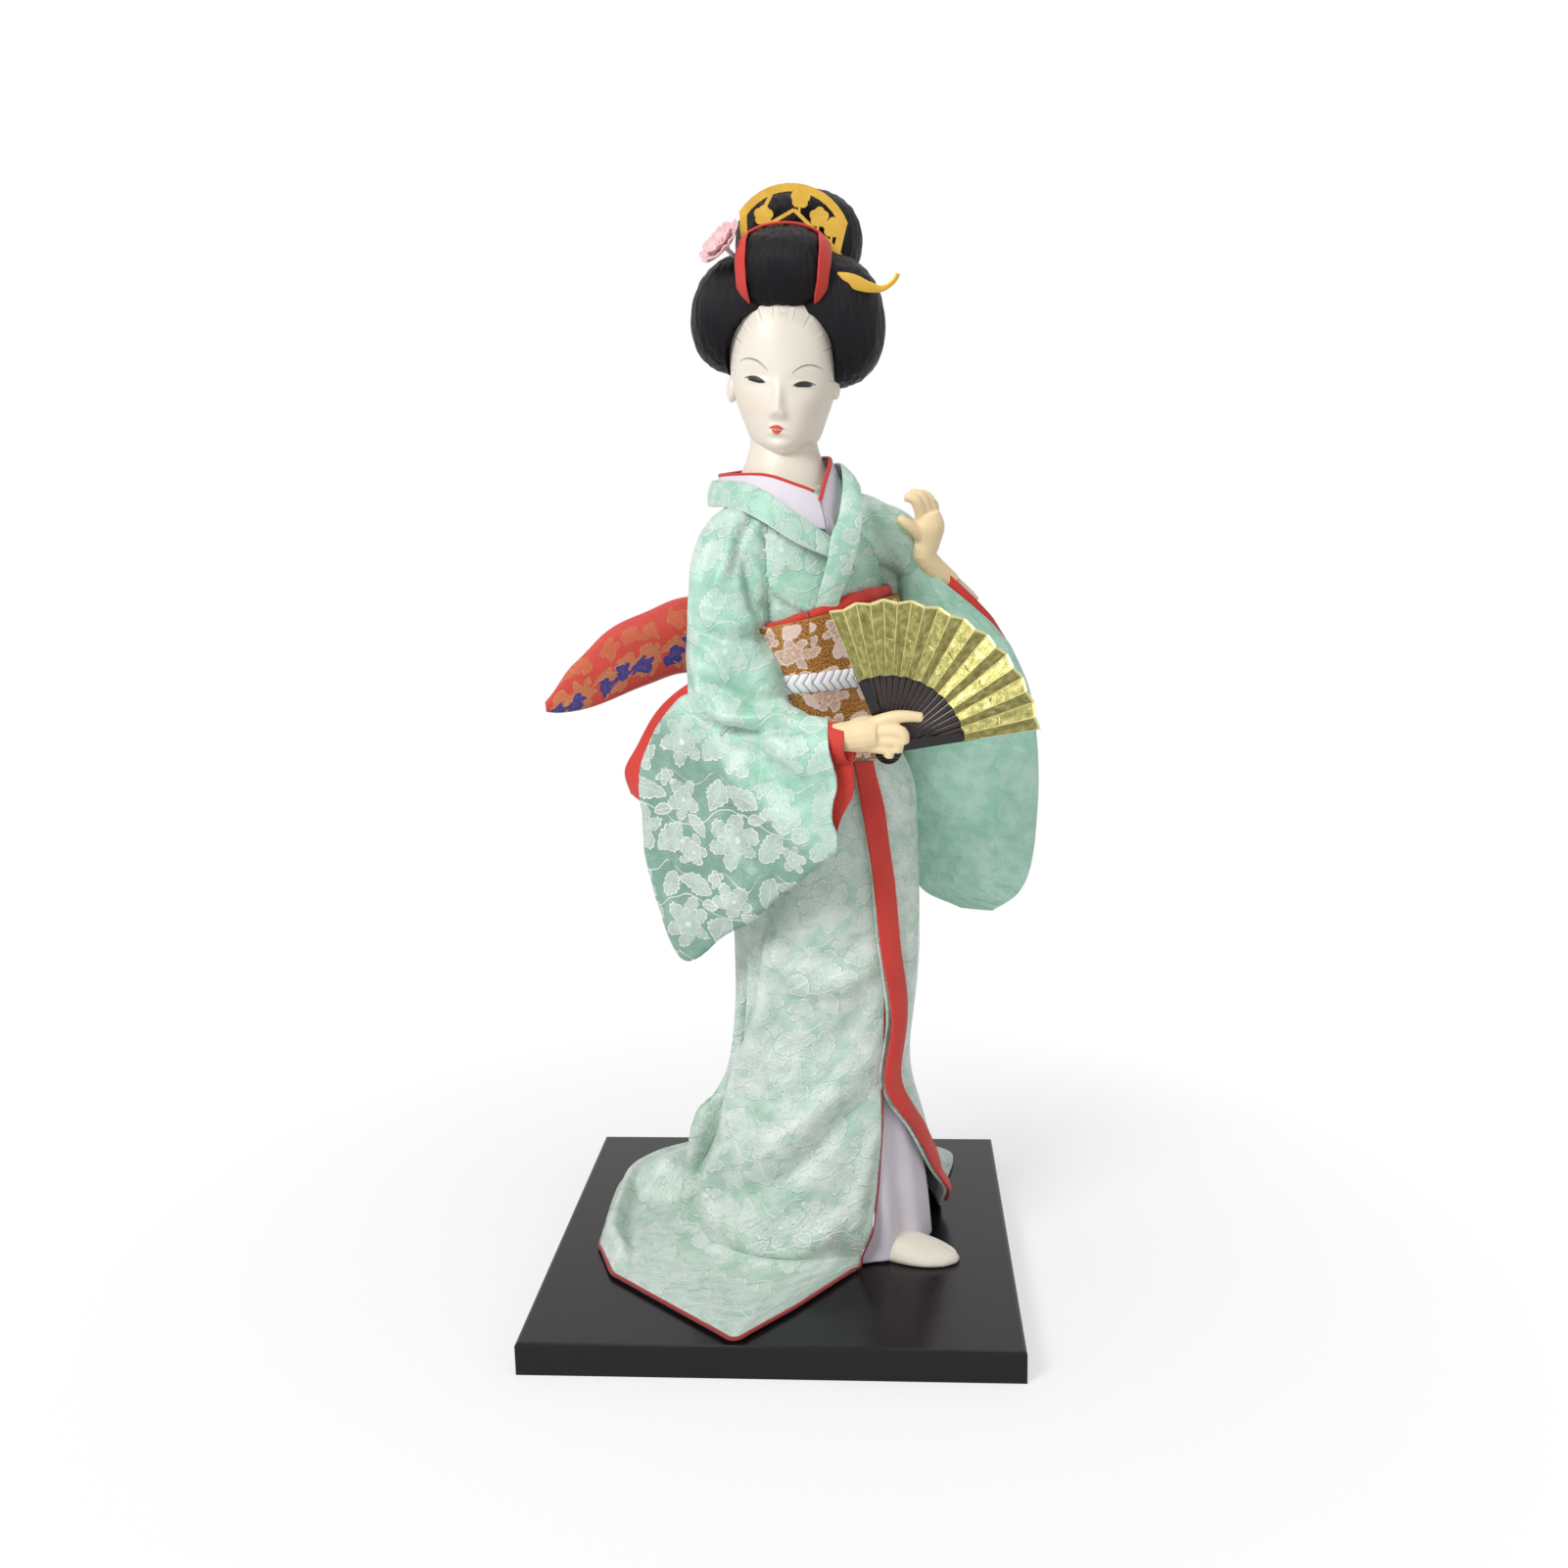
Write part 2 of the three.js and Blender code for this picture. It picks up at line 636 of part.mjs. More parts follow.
function sector(inner, outer, from, to, steps) {
  const outline = [];
  for (let i = 0; i <= steps; i += 1) {
    const angle = THREE.MathUtils.lerp(from, to, i / steps);
    outline.push(new THREE.Vector2(Math.cos(angle), Math.sin(angle)).multiplyScalar(outer));
  }
  for (let i = 0; i <= steps; i += 1) {
    const angle = THREE.MathUtils.lerp(to, from, i / steps);
    outline.push(new THREE.Vector2(Math.cos(angle), Math.sin(angle)).multiplyScalar(inner));
  }
  return new THREE.Shape(outline);
}

function plate(shape, thickness) {
  const geometry = new THREE.ExtrudeGeometry(shape, { depth: thickness, bevelEnabled: false, curveSegments: 6 });
  geometry.translate(0, 0, -thickness / 2);
  geometry.rotateX(Math.PI / 2);
  return geometry;
}

function combPlate(shape, x = 0, z = 0) {
  const geometry = plate(shape, combThickness);
  geometry.translate(x, 0, z);
  return solidOf(geometry);
}

function bar(from, to, width) {
  const way = to.clone().sub(from).normalize().multiplyScalar(width / 2);
  const side = new THREE.Vector2(-way.y, way.x);
  return new THREE.Shape([
    from.clone().add(side), to.clone().add(side), to.clone().sub(side), from.clone().sub(side),
  ]);
}

// Blossoms of the openwork: how far along the comb and up from its lower arc, as shares.
const combBlossoms = [[-0.5, 0.42], [0.08, 0.74], [0.42, 0.46], [0.7, 0.5]];

function combSolid() {
  const top = Math.PI / 2;
  const [from, to] = [top - combHalfAngle, top + combHalfAngle];
  const arc = sector(combRadius - combBand, combRadius, from, to, 14);
  const lowHalf = 0.88 * combHalfAngle;
  const lowArc = sector(combRadius - combBand, combRadius, top - lowHalf, top + lowHalf, 12);
  const parts = [combPlate(arc), combPlate(lowArc, 0, -combHeight)];
  const at = (share, rise) => {
    const angle = top - share * combHalfAngle;
    const reach = combRadius - combBand / 2;
    return new THREE.Vector2(Math.cos(angle) * reach, Math.sin(angle) * reach - combHeight * (1 - rise));
  };
  for (const side of [-1, 1]) parts.push(combPlate(bar(at(0.85 * side, -0.05), at(0.97 * side, 1), 0.9 * combBand)));
  for (const [share, rise, end, endRise] of [[-1, 0.3, 0, 0.42], [0, 0.42, 1, 0.2], [-0.6, 0.35, -0.4, 0.9]]) {
    parts.push(combPlate(bar(at(share, rise), at(end, endRise), 0.45 * combBand)));
  }
  const petal = 0.045 * combWidth;
  for (const [share, rise] of combBlossoms) {
    for (let k = 0; k < 5; k += 1) {
      const way = (k * turn) / 5 + top;
      const round = new THREE.Shape().absarc(0, 0, petal, 0, turn);
      const centre = at(share, rise);
      parts.push(combPlate(round, centre.x + Math.cos(way) * petal, centre.y + Math.sin(way) * petal));
    }
    parts.push(combPlate(bar(at(share, rise - 0.45), at(share, rise), 0.3 * combBand)));
  }
  for (const share of [-0.6, -0.2, 0.2, 0.6]) {
    const root = at(share, 0);
    const point = new THREE.Vector2(root.x, root.y - combTineLength);
    parts.push(combPlate(bar(root, point, combTineWidth)));
  }
  return placedComb(union(parts));
}

function placedComb(solid) {
  const matrix = new THREE.Matrix4().makeRotationY(combTurn);
  matrix.setPosition(combBase);
  return solid.transform(matrix.elements);
}

// The room that the comb needs, with the way by which it is drawn up out of the hair.
function combRoom(comb) {
  const half = combRadius * Math.sin(combHalfAngle) + combBand / 2;
  const low = combRadius * Math.cos(combHalfAngle) - combHeight;
  const high = combRadius + combPullLength;
  const corners = [[-half, low], [half, low], [half, high], [-half, high]];
  const way = new THREE.Shape(corners.map(([x, z]) => new THREE.Vector2(x, z)));
  return comb.add(placedComb(combPlate(way)));
}

// Fabric blossom on a pin
const blossomPlace = new THREE.Vector3(
  headCentreX - 0.28 * hairWidth,
  headAxis.y - 0.11 * hairWidth,
  chinHeight + 0.94 * hairHeight,
);
const blossomWay = new THREE.Vector3(-0.62, -0.5, 0.6).normalize();

function oriented(solid, way, place) {
  const spin = new THREE.Quaternion().setFromUnitVectors(new THREE.Vector3(0, 0, 1), way);
  const matrix = new THREE.Matrix4().makeRotationFromQuaternion(spin);
  matrix.setPosition(place);
  return solid.transform(matrix.elements);
}

function blossom() {
  const parts = [];
  for (let k = 0; k < 5; k += 1) {
    const petal = new THREE.SphereGeometry(1, 10, 6);
    petal.scale(0.46 * blossomRadius, 0.4 * blossomRadius, blossomThickness);
    petal.rotateY(-0.35);
    petal.translate(0.55 * blossomRadius, 0, 0.2 * blossomRadius);
    petal.rotateZ((k * turn) / 5);
    parts.push(solidOf(petal));
  }
  const heart = new THREE.SphereGeometry(0.32 * blossomRadius, 8, 6);
  parts.push(solidOf(heart));
  parts.push(cylinder(new THREE.Vector3(0, 0, -pinLength), new THREE.Vector3(), pinRadius, 8));
  return oriented(union(parts), blossomWay, blossomPlace);
}

// Hairpin: a gilt strip that leaves the hair at the doll's left and curls up at its end.
const hairpinRoot = new THREE.Vector3(
  headCentreX + 0.3 * hairWidth,
  headAxis.y - 0.15 * hairWidth,
  chinHeight + 0.78 * hairHeight,
);
const hairpinWay = new THREE.Vector3(1, 0, 0.06).normalize();

function hairpin() {
  const rows = [[-0.45, 0, 0.3], [-0.05, 0, 0.42], [0.2, -0.09, 0.55], [0.45, -0.2, 0.42], [0.7, -0.25, 0.24],
    [0.9, -0.15, 0.2], [1, -0.02, 0.2]];
  const rise = new THREE.Vector3(0, 0, 1);
  const grid = rows.map(([reach, bend, half]) => [-1, 0, 1].map((side) => hairpinRoot.clone()
    .addScaledVector(hairpinWay, reach * hairpinReach)
    .addScaledVector(rise, bend * hairpinReach + side * half * hairpinWidth)));
  return sheet(grid, hairpinThickness);
}

// Feet and legs: heel and toe on the board, as shares of the hip width.
const footShares = {
  left: [[0.36, -0.16], [0.98, -0.385]],
  right: [[-0.18, 0.07], [0.33, -0.25]],
};

function footPlace(side) {
  const [heel, toe] = footShares[side].map(([x, y]) => new THREE.Vector3(x * hipWidth, y * hipWidth, boardTop + gap));
  const way = toe.clone().sub(heel).normalize();
  return { heel: toe.clone().addScaledVector(way, -footLength), way };
}

function foot(side) {
  const { heel, way } = footPlace(side);
  const across = new THREE.Vector3(0, 0, 1).cross(way);
  const rows = [[0, 0.1, 0.5], [0.05, 0.15, 0.8], [0.2, 0.19, 1], [0.4, 0.2, 0.85], [0.6, 0.23, 0.62], [0.78, 0.24, 0.48],
    [0.92, 0.19, 0.38], [1, 0.08, 0.25]];
  return loft(rows.map(([reach, half, height]) => {
    const centre = heel.clone().addScaledVector(way, reach * footLength);
    return Array.from({ length: 12 }, (unused, s) => {
      const angle = (s * turn) / 12;
      const rise = Math.max(Math.sin(angle), 0) * height * footHeight;
      const width = Math.cos(angle) * half * footLength * (Math.sin(angle) < 0 ? 0.85 : 1);
      return centre.clone().addScaledVector(across, width).setZ(centre.z + rise + (Math.sin(angle) < 0 ? 0 : gap));
    });
  }));
}

function legDowel(side) {
  const { heel, way } = footPlace(side);
  const ankle = heel.clone().addScaledVector(way, 0.24 * footLength);
  const hip = new THREE.Vector3(waist.x + (side === 'left' ? 1 : -1) * 0.1 * hipWidth, waist.y, waistHeight);
  const slope = hip.clone().sub(ankle).normalize();
  const bottom = ankle.clone().addScaledVector(slope, -dowelSocketDepth);
  return { solid: cylinder(bottom, hip, dowelRadius), way: slope };
}

// Arms: paper-wrapped wire from the shoulder into the hand, as shares of the torso length.
const armShares = {
  right: [[-0.19, -0.07, 0.71], [-0.247, -0.133, 0.69], [-0.3, -0.2, 0.507], [-0.273, -0.293, 0.247],
    [-0.113, -0.393, 0.18], [0.053, -0.48, 0.137]],
  left: [[0.02, 0.04, 0.76], [0.18, 0.087, 0.787], [0.393, 0.14, 0.693], [0.567, 0.16, 0.54], [0.495, 0.105, 0.605]],
};

function arm(side) {
  return tube(smoothRoute(armShares[side].map(atTorso), 14), armRadius, 6, { up: new THREE.Vector3(0.3, 1, 0.2) });
}

// Hands, as chains of round sections: palm, fingers and thumb, in shares of the hand's length from the wrist.
const handShares = {
  right: {
    wrist: [0.06, -0.487, 0.133],
    chains: [
      [[[0, 0, 0], 0.15], [[0.23, -0.07, 0.01], 0.18], [[0.41, -0.13, 0.05], 0.21], [[0.57, -0.18, 0.06], 0.16]],
      [[[0.45, -0.17, 0.15], 0.09], [[0.77, -0.21, 0.25], 0.075], [[1.05, -0.2, 0.24], 0.055]],
      [[[0.5, -0.19, 0.08], 0.09], [[0.8, -0.25, 0.08], 0.08], [[0.84, -0.24, -0.05], 0.065]],
      [[[0.48, -0.18, -0.02], 0.085], [[0.75, -0.24, -0.03], 0.075], [[0.77, -0.23, -0.15], 0.06]],
      [[[0.44, -0.16, -0.08], 0.08], [[0.66, -0.21, -0.13], 0.065], [[0.67, -0.21, -0.22], 0.05]],
      [[[0.28, -0.04, 0.08], 0.1], [[0.5, 0.15, 0.15], 0.08], [[0.75, 0.18, 0.19], 0.06]],
    ],
  },
  left: {
    wrist: [0.4, 0.035, 0.705],
    chains: [
      [[[0.3, 0.22, -0.32], 0.14], [[0, 0, 0], 0.14], [[0.01, -0.03, 0.18], 0.16], [[0.03, -0.06, 0.39], 0.2],
        [[0.01, -0.09, 0.55], 0.15]],
      [[[-0.05, -0.13, 0.5], 0.08], [[-0.13, -0.24, 0.7], 0.07], [[-0.26, -0.25, 0.75], 0.055]],
      [[[0, -0.1, 0.55], 0.08], [[-0.06, -0.14, 0.75], 0.07], [[-0.2, -0.16, 0.79], 0.055]],
      [[[0.06, -0.04, 0.54], 0.08], [[0.02, -0.04, 0.73], 0.07], [[-0.11, -0.05, 0.79], 0.055]],
      [[[0.1, 0.03, 0.48], 0.07], [[0.09, 0.05, 0.66], 0.06], [[-0.03, 0.05, 0.73], 0.045]],
      [[[-0.06, -0.12, 0.28], 0.09], [[-0.23, -0.25, 0.42], 0.07], [[-0.34, -0.26, 0.5], 0.055]],
    ],
  },
};

function hand(side) {
  const { wrist, chains } = handShares[side];
  const start = atTorso(wrist);
  return union(chains.map((chain) => {
    const points = chain.map(([shares]) => new THREE.Vector3(...shares).multiplyScalar(handLength).add(start));
    const radii = chain.map(([, radius]) => radius * handLength);
    const rows = smoothRows(points.map((p, i) => [p.x, p.y, p.z, radii[i]]), 1);
    const last = rows.at(-1);
    const before = rows.at(-2);
    const tip = last.map((v, n) => (n < 3 ? v + (v - before[n]) * 0.35 : v * 0.55));
    const all = [...rows, tip];
    const route = all.map(([x, y, z]) => new THREE.Vector3(x, y, z));
    return tube(route, all.map((row) => row[3]), 7, { up: new THREE.Vector3(0.2, 1, 0.3) });
  }));
}

// Fan, standing in the plane that faces the viewer; angles are measured from the viewer's right.
const fanPivot = atTorso([0.256, -0.493, 0.079]);
// How far behind the pivot's plane the sticks begin, and how thick they are with their overlaps.
const fanBack = fanPleatDepth + fanLeafThickness / 2 + gap;
const fanStickStack = 1.25 * fanStickThickness;

function fanPoint(radius, angle, depth) {
  return new THREE.Vector3(
    fanPivot.x + Math.cos(angle) * radius,
    fanPivot.y + depth,
    fanPivot.z + Math.sin(angle) * radius,
  );
}

function fanLeaf() {
  const folds = fanPleats * 2;
  const grid = [fanStickRadius, (fanStickRadius + fanRadius) / 2, fanRadius].map((radius, r) => {
    return Array.from({ length: folds + 1 }, (unused, k) => {
      const angle = THREE.MathUtils.lerp(fanLowAngle, fanHighAngle, k / folds);
      const swell = (0.6 + 0.2 * r) * fanPleatDepth;
      const scallop = k % 2 === 0 ? 0 : 0.02 * radius;
      return fanPoint(radius - scallop, angle, k % 2 === 0 ? -swell : swell);
    });
  });
  return sheet(grid, fanLeafThickness);
}

// The sticks lie behind the leaf where they lap under it, and each overlaps the next like a rib.
function fanSticks() {
  const parts = [];
  const step = (fanHighAngle - fanLowAngle) / fanPleats;
  for (let k = 0; k < fanPleats; k += 1) {
    const from = fanLowAngle + k * step;
    const rise = k % 2 === 0 ? 0 : fanStickStack - fanStickThickness;
    const geometry = plate(sector(fanTail, fanStickRadius + fanLap, from - 0.01, from + step + 0.01, 2), fanStickThickness);
    geometry.translate(fanPivot.x, fanPivot.y + fanBack + fanStickThickness / 2 + rise, fanPivot.z);
    parts.push(solidOf(geometry));
  }
  const hub = new THREE.Shape().absarc(0, 0, fanTail * 1.05, 0, turn);
  const disc = plate(hub, fanStickThickness);
  disc.translate(fanPivot.x, fanPivot.y + fanBack + fanStickThickness / 2, fanPivot.z);
  parts.push(solidOf(disc));
  return union(parts);
}

function fanGuard(angle, sign) {
  const depth = fanBack - gap - fanGuardThickness / 2;
  const length = fanStickRadius - gap;
  const half = fanGuardWidth / 2;
  const corners = [[-fanTail, -0.7 * half], [-fanTail, 0.7 * half], [0, 1.1 * half], [length, half * 0.9], [length, -half * 0.9],
    [0, -1.1 * half]];
  const shape = new THREE.Shape(corners.map(([x, z]) => new THREE.Vector2(x, z + sign * half * 0.8)));
  const geometry = plate(shape, fanGuardThickness);
  geometry.rotateY(-angle);
  geometry.translate(fanPivot.x, fanPivot.y + depth, fanPivot.z);
  return solidOf(geometry);
}

function fanRivet() {
  const back = fanBack + fanStickStack + gap;
  const front = fanBack - 2 * gap - fanGuardThickness;
  const profile = [[0, front - gap - rivetHeadHeight], [0.6, front - gap - rivetHeadHeight * 0.8],
    [1, front - gap], [rivetRadius / rivetHeadRadius, front - gap], [rivetRadius / rivetHeadRadius, back],
    [1, back], [1, back + rivetHeadHeight * 0.6], [0, back + rivetHeadHeight * 0.6]];
  const points = profile.map(([share, depth]) => new THREE.Vector2(share * rivetHeadRadius, depth));
  const geometry = new THREE.LatheGeometry(points, 14);
  geometry.translate(fanPivot.x, fanPivot.y, fanPivot.z);
  return solidOf(geometry);
}

// The room that the fan sweeps as it is drawn out of the fingers.
function fanSlot() {
  const left = fanHighAngle + 0.1;
  const reach = fanRadius * 1.1;
  const far = fanPivot.x + 2 * reach;
  const corners = [
    [fanPivot.x - fanTail - 2 * gap, fanPivot.z - fanTail - 2 * gap],
    [fanPivot.x - fanTail - 2 * gap, fanPivot.z + fanTail * 0.3],
    [fanPivot.x + Math.cos(left) * reach - 2 * gap, fanPivot.z + Math.sin(left) * reach],
    [far, fanPivot.z + Math.sin(left) * reach],
    [far, fanPivot.z - fanTail - 2 * gap],
  ];
  const back = fanBack + fanStickStack + rivetHeadHeight + 3 * gap;
  const geometry = plate(new THREE.Shape(corners.map(([x, z]) => new THREE.Vector2(x, z))), fanBack + back + gap);
  geometry.translate(0, fanPivot.y + (back - fanBack) / 2, 0);
  return solidOf(geometry);
}

// Skirt. Sections from the waist to where the train turns out over the board:
// height as a share of the skirt's length, then centre, half width and half depth as shares of the hip width.
const skirtShares = [
  [1.035, 0.245, 0.02, 0.384, 0.318],
  [0.972, 0.251, 0.025, 0.461, 0.353],
  [0.901, 0.255, 0.029, 0.496, 0.376],
  [0.773, 0.255, 0.039, 0.502, 0.384],
  [0.632, 0.255, 0.039, 0.496, 0.396],
  [0.49, 0.241, 0.039, 0.476, 0.416],
  [0.363, 0.212, 0.045, 0.494, 0.463],
  [0.249, 0.169, 0.059, 0.608, 0.529],
  [0.136, 0.157, 0.075, 0.678, 0.588],
  [0.03, 0.157, 0.088, 0.716, 0.618],
];
const degrees = THREE.MathUtils.degToRad(1);
// Directions of the two front edges at those sections.
const rightEdgeShares = [-50, -50, -51, -51, -50, -49, -47, -44, -40, -34];
const leftEdgeShares = [-28, -30, -31, -37, -41, -50, -45, -64, -78, -97];
// Where each column of cloth ends on the board, as shares of the board's side, and its direction at the crease.
const rightHemShares = [
  [-34, 0.158, -0.208], [-15, 0.046, -0.358], [5, -0.065, -0.487], [30, -0.208, -0.358], [55, -0.349, -0.231],
  [75, -0.4, -0.108], [95, -0.412, 0.077], [120, -0.408, 0.246], [145, -0.308, 0.385], [165, -0.138, 0.438],
  [180, 0.031, 0.454],
];
const leftHemShares = [
  [180, 0.035, 0.454], [200, 0.192, 0.458], [217, 0.323, 0.446], [230, 0.404, 0.4], [243, 0.392, 0.315],
  [255, 0.369, 0.215], [263, 0.354, 0.169],
];

// Drape folds: direction, width in degrees, and depth at the crease as a share of the hip width.
const foldShares = [
  [58, 7, 0.02], [67, 4, -0.06], [78, 7, 0.035], [102, 8, -0.045], [120, 8, 0.04], [140, 8, -0.04],
  [158, 8, 0.035], [178, 9, -0.035], [200, 9, 0.04], [222, 9, -0.03], [243, 8, 0.025],
];

function foldDepth(angle, heightShare) {
  const strength = THREE.MathUtils.smoothstep(1 - heightShare, 0.15, 0.9);
  const around = THREE.MathUtils.euclideanModulo(angle / degrees + 60, 360) - 60;
  return foldShares.reduce((sum, [at, width, depth]) => {
    const away = (around - at) / width;
    return sum + Math.exp(-away * away) * depth * hipWidth * strength;
  }, 0);
}

function wallPoint(row, angle, lift) {
  const [heightShare, x, y, halfWidth, halfDepth] = row;
  const yaw = -torsoYaw * THREE.MathUtils.smoothstep(heightShare, 0.9, 1.03);
  const height = boardTop + heightShare * skirtLength;
  const sizes = [x, y, halfWidth, halfDepth].map((share) => share * hipWidth);
  const extra = lift + foldDepth(angle, heightShare);
  return ovalPoint(sizes[0], sizes[1], height, sizes[2], sizes[3], yaw, angle, extra);
}

// Rise of the train above the board halfway out from the crease, as shares of the skirt's length.
const trainRiseShares = [[60, 12, 0.012], [118, 14, 0.065], [150, 10, 0.05], [200, 14, 0.04], [235, 12, 0.035]];

function trainRise(angle) {
  const around = THREE.MathUtils.euclideanModulo(angle / degrees + 60, 360) - 60;
  return trainRiseShares.reduce((sum, [at, width, rise]) => {
    const away = (around - at) / width;
    return sum + Math.exp(-away * away) * rise * skirtLength;
  }, 0);
}

// One side of the skirt: columns of cloth from the front edge round to the seam at the back.
function skirtPanel(edgeShares, hemShares, perSpan, lap) {
  const hem = [];
  for (let i = 0; i + 1 < hemShares.length; i += 1) {
    for (let k = 0; k < perSpan; k += 1) {
      const t = k / perSpan;
      hem.push(hemShares[i].map((v, n) => THREE.MathUtils.lerp(v, hemShares[i + 1][n], t)));
    }
  }
  hem.push(hemShares.at(-1));
  const first = hem[0][0];
  const last = hem.at(-1)[0];
  const edgeFirst = edgeShares === rightEdgeShares;
  const rows = smoothRows(skirtShares.map((row, i) => [...row, edgeShares[i]]), 1);
  const floor = boardTop + gap + clothThickness / 2;
  const grid = rows.map((row) => hem.map(([angle]) => {
    const share = (angle - first) / (last - first);
    const free = edgeFirst ? row[5] : row[5] + 360;
    const from = edgeFirst ? free : first;
    const to = edgeFirst ? last : free;
    const point = wallPoint(row.slice(0, 5), THREE.MathUtils.lerp(from, to, share) * degrees, lap * share);
    return point.setZ(Math.max(point.z, floor + 2 * clothThickness));
  }));
  const crease = grid.at(-1);
  for (const [out, sink] of [[0.12, 0.6], [0.35, 0.92], [0.7, 1], [1, 1]]) {
    grid.push(hem.map(([angle, x, y], c) => {
      const point = crease[c].clone().lerp(new THREE.Vector3(x * boardSide, y * boardSide, floor), out);
      const swell = Math.sin(Math.min(out * 1.15, 1) * Math.PI) * trainRise(angle * degrees);
      return point.setZ(THREE.MathUtils.lerp(crease[c].z, floor, sink) + swell);
    }));
  }
  return grid;
}

function edgeRoll(grid, columns) {
  const edge = grid.slice(5).map((row) => row[0].clone().lerp(row[1], -0.25));
  const hem = grid.at(-1).slice(1, columns);
  const outward = hem.map((point, i) => point.clone().lerp(grid.at(-2)[i + 1], -0.05));
  const floor = boardTop + gap + hemRollRadius;
  const route = [...edge, ...outward].map((point) => point.setZ(Math.max(point.z, floor)));
  return tube(smoothRoute(route, 32), hemRollRadius, 5, { up: new THREE.Vector3(0.31, 0.2, 1) });
}

// The red facing of the left front edge, turned out over the panel.
function frontFacing() {
  const rows = smoothRows(skirtShares.map((row, i) => [...row, leftEdgeShares[i]]), 2);
  const lift = clothThickness * 2 + gap * 2 + liningThickness / 2;
  const grid = rows.map((row, r) => {
    const t = r / (rows.length - 1);
    const width = THREE.MathUtils.lerp(0.125, 0.1, t) * hipWidth;
    const sweep = width / (row[3] * hipWidth);
    return [0, 0.5, 1].map((across) => wallPoint(
      row.slice(0, 5),
      (row[5] + 360) * degrees - across * sweep,
      lift,
    ));
  });
  return sheet(grid.slice(1), liningThickness);
}

const underskirtShares = [
  [0.98, 0.245, 0.02, 0.343, 0.27],
  [0.788, 0.255, 0.039, 0.431, 0.324],
  [0.504, 0.241, 0.039, 0.412, 0.355],
  [0.363, 0.225, 0.043, 0.437, 0.392],
  [0.235, 0.235, 0.039, 0.5, 0.441],
  [0.122, 0.245, 0.039, 0.545, 0.476],
  [0.004, 0.255, 0.039, 0.565, 0.5],
];

function underskirt() {
  const sides = 36;
  const rows = smoothRows(underskirtShares, 1);
  const layer = (lift, reach) => loft(rows.map(([heightShare, x, y, halfWidth, halfDepth], r) => {
    const stretch = r === 0 ? reach : r === rows.length - 1 ? -reach : 0;
    const height = boardTop + heightShare * skirtLength + stretch;
    return Array.from({ length: sides }, (unused, s) => {
      const angle = (s * turn) / sides;
      const pleat = 0.012 * hipWidth * Math.sin(angle * 9) * THREE.MathUtils.smoothstep(1 - heightShare, 0.3, 0.9);
      const sizes = [x, y, halfWidth, halfDepth].map((share) => share * hipWidth);
      return ovalPoint(sizes[0], sizes[1], height, sizes[2], sizes[3], 0, angle, lift + pleat);
    });
  }));
  return layer(0, 0).subtract(layer(-liningThickness, clothThickness));
}

// Sleeves. Each is an arm tube joined to a hanging bag, hollowed to one thickness of cloth.
const rightArmTubeShares = [
  [0.933, -0.18, -0.093, 0.08, 0.067], [0.88, -0.22, -0.12, 0.133, 0.113], [0.787, -0.273, -0.147, 0.153, 0.133],
  [0.64, -0.3, -0.18, 0.147, 0.147], [0.48, -0.3, -0.213, 0.153, 0.16], [0.333, -0.273, -0.267, 0.173, 0.16],
  [0.213, -0.247, -0.293, 0.173, 0.14], [0.15, -0.215, -0.315, 0.15, 0.105], [0.12, -0.195, -0.325, 0.09, 0.06],
];

function rightArmTube(inset) {
  const rows = rightArmTubeShares;
  return loft(rows.map(([z, x, y, halfWidth, halfDepth], r) => {
    const centre = atTorso([x, y, z]);
    const height = centre.z - (r === 0 ? inset : 0);
    const sizes = [halfWidth, halfDepth].map((share) => share * torsoLength - inset);
    return Array.from({ length: 14 }, (unused, s) => ovalPoint(
      centre.x, centre.y, height, sizes[0], sizes[1], 0, (s * turn) / 14, 0,
    ));
  }));
}

// Across, deep, top, bottom, then half thickness at the top and bottom, from the outer edge to the cuff.
const rightBagShares = [
  [-0.66, -0.147, -0.093, -0.147, 0.013, 0.01],
  [-0.633, -0.153, -0.007, -0.373, 0.027, 0.018],
  [-0.58, -0.173, 0.107, -0.613, 0.04, 0.022],
  [-0.513, -0.2, 0.193, -0.727, 0.059, 0.026],
  [-0.447, -0.233, 0.247, -0.72, 0.072, 0.028],
  [-0.327, -0.293, 0.247, -0.62, 0.083, 0.03],
  [-0.167, -0.373, 0.22, -0.484, 0.085, 0.034],
  [-0.033, -0.44, 0.2, -0.371, 0.083, 0.04],
  [0.06, -0.483, 0.191, -0.285, 0.077, 0.05],
];

// A hanging loop of cloth between two heights, thicker at the top than at the bottom.
function hangingRing(x, y, top, bottom, topHalf, bottomHalf, sides) {
  return Array.from({ length: sides }, (unused, s) => {
    const angle = (s * turn) / sides;
    const height = THREE.MathUtils.lerp(bottom, top, (1 + Math.cos(angle)) / 2);
    const half = THREE.MathUtils.lerp(bottomHalf, topHalf, ((1 + Math.cos(angle)) / 2) ** 0.7);
    const side = Math.sign(Math.sin(angle)) * Math.abs(Math.sin(angle)) ** 0.6;
    return new THREE.Vector3(x, y + side * half, height);
  });
}

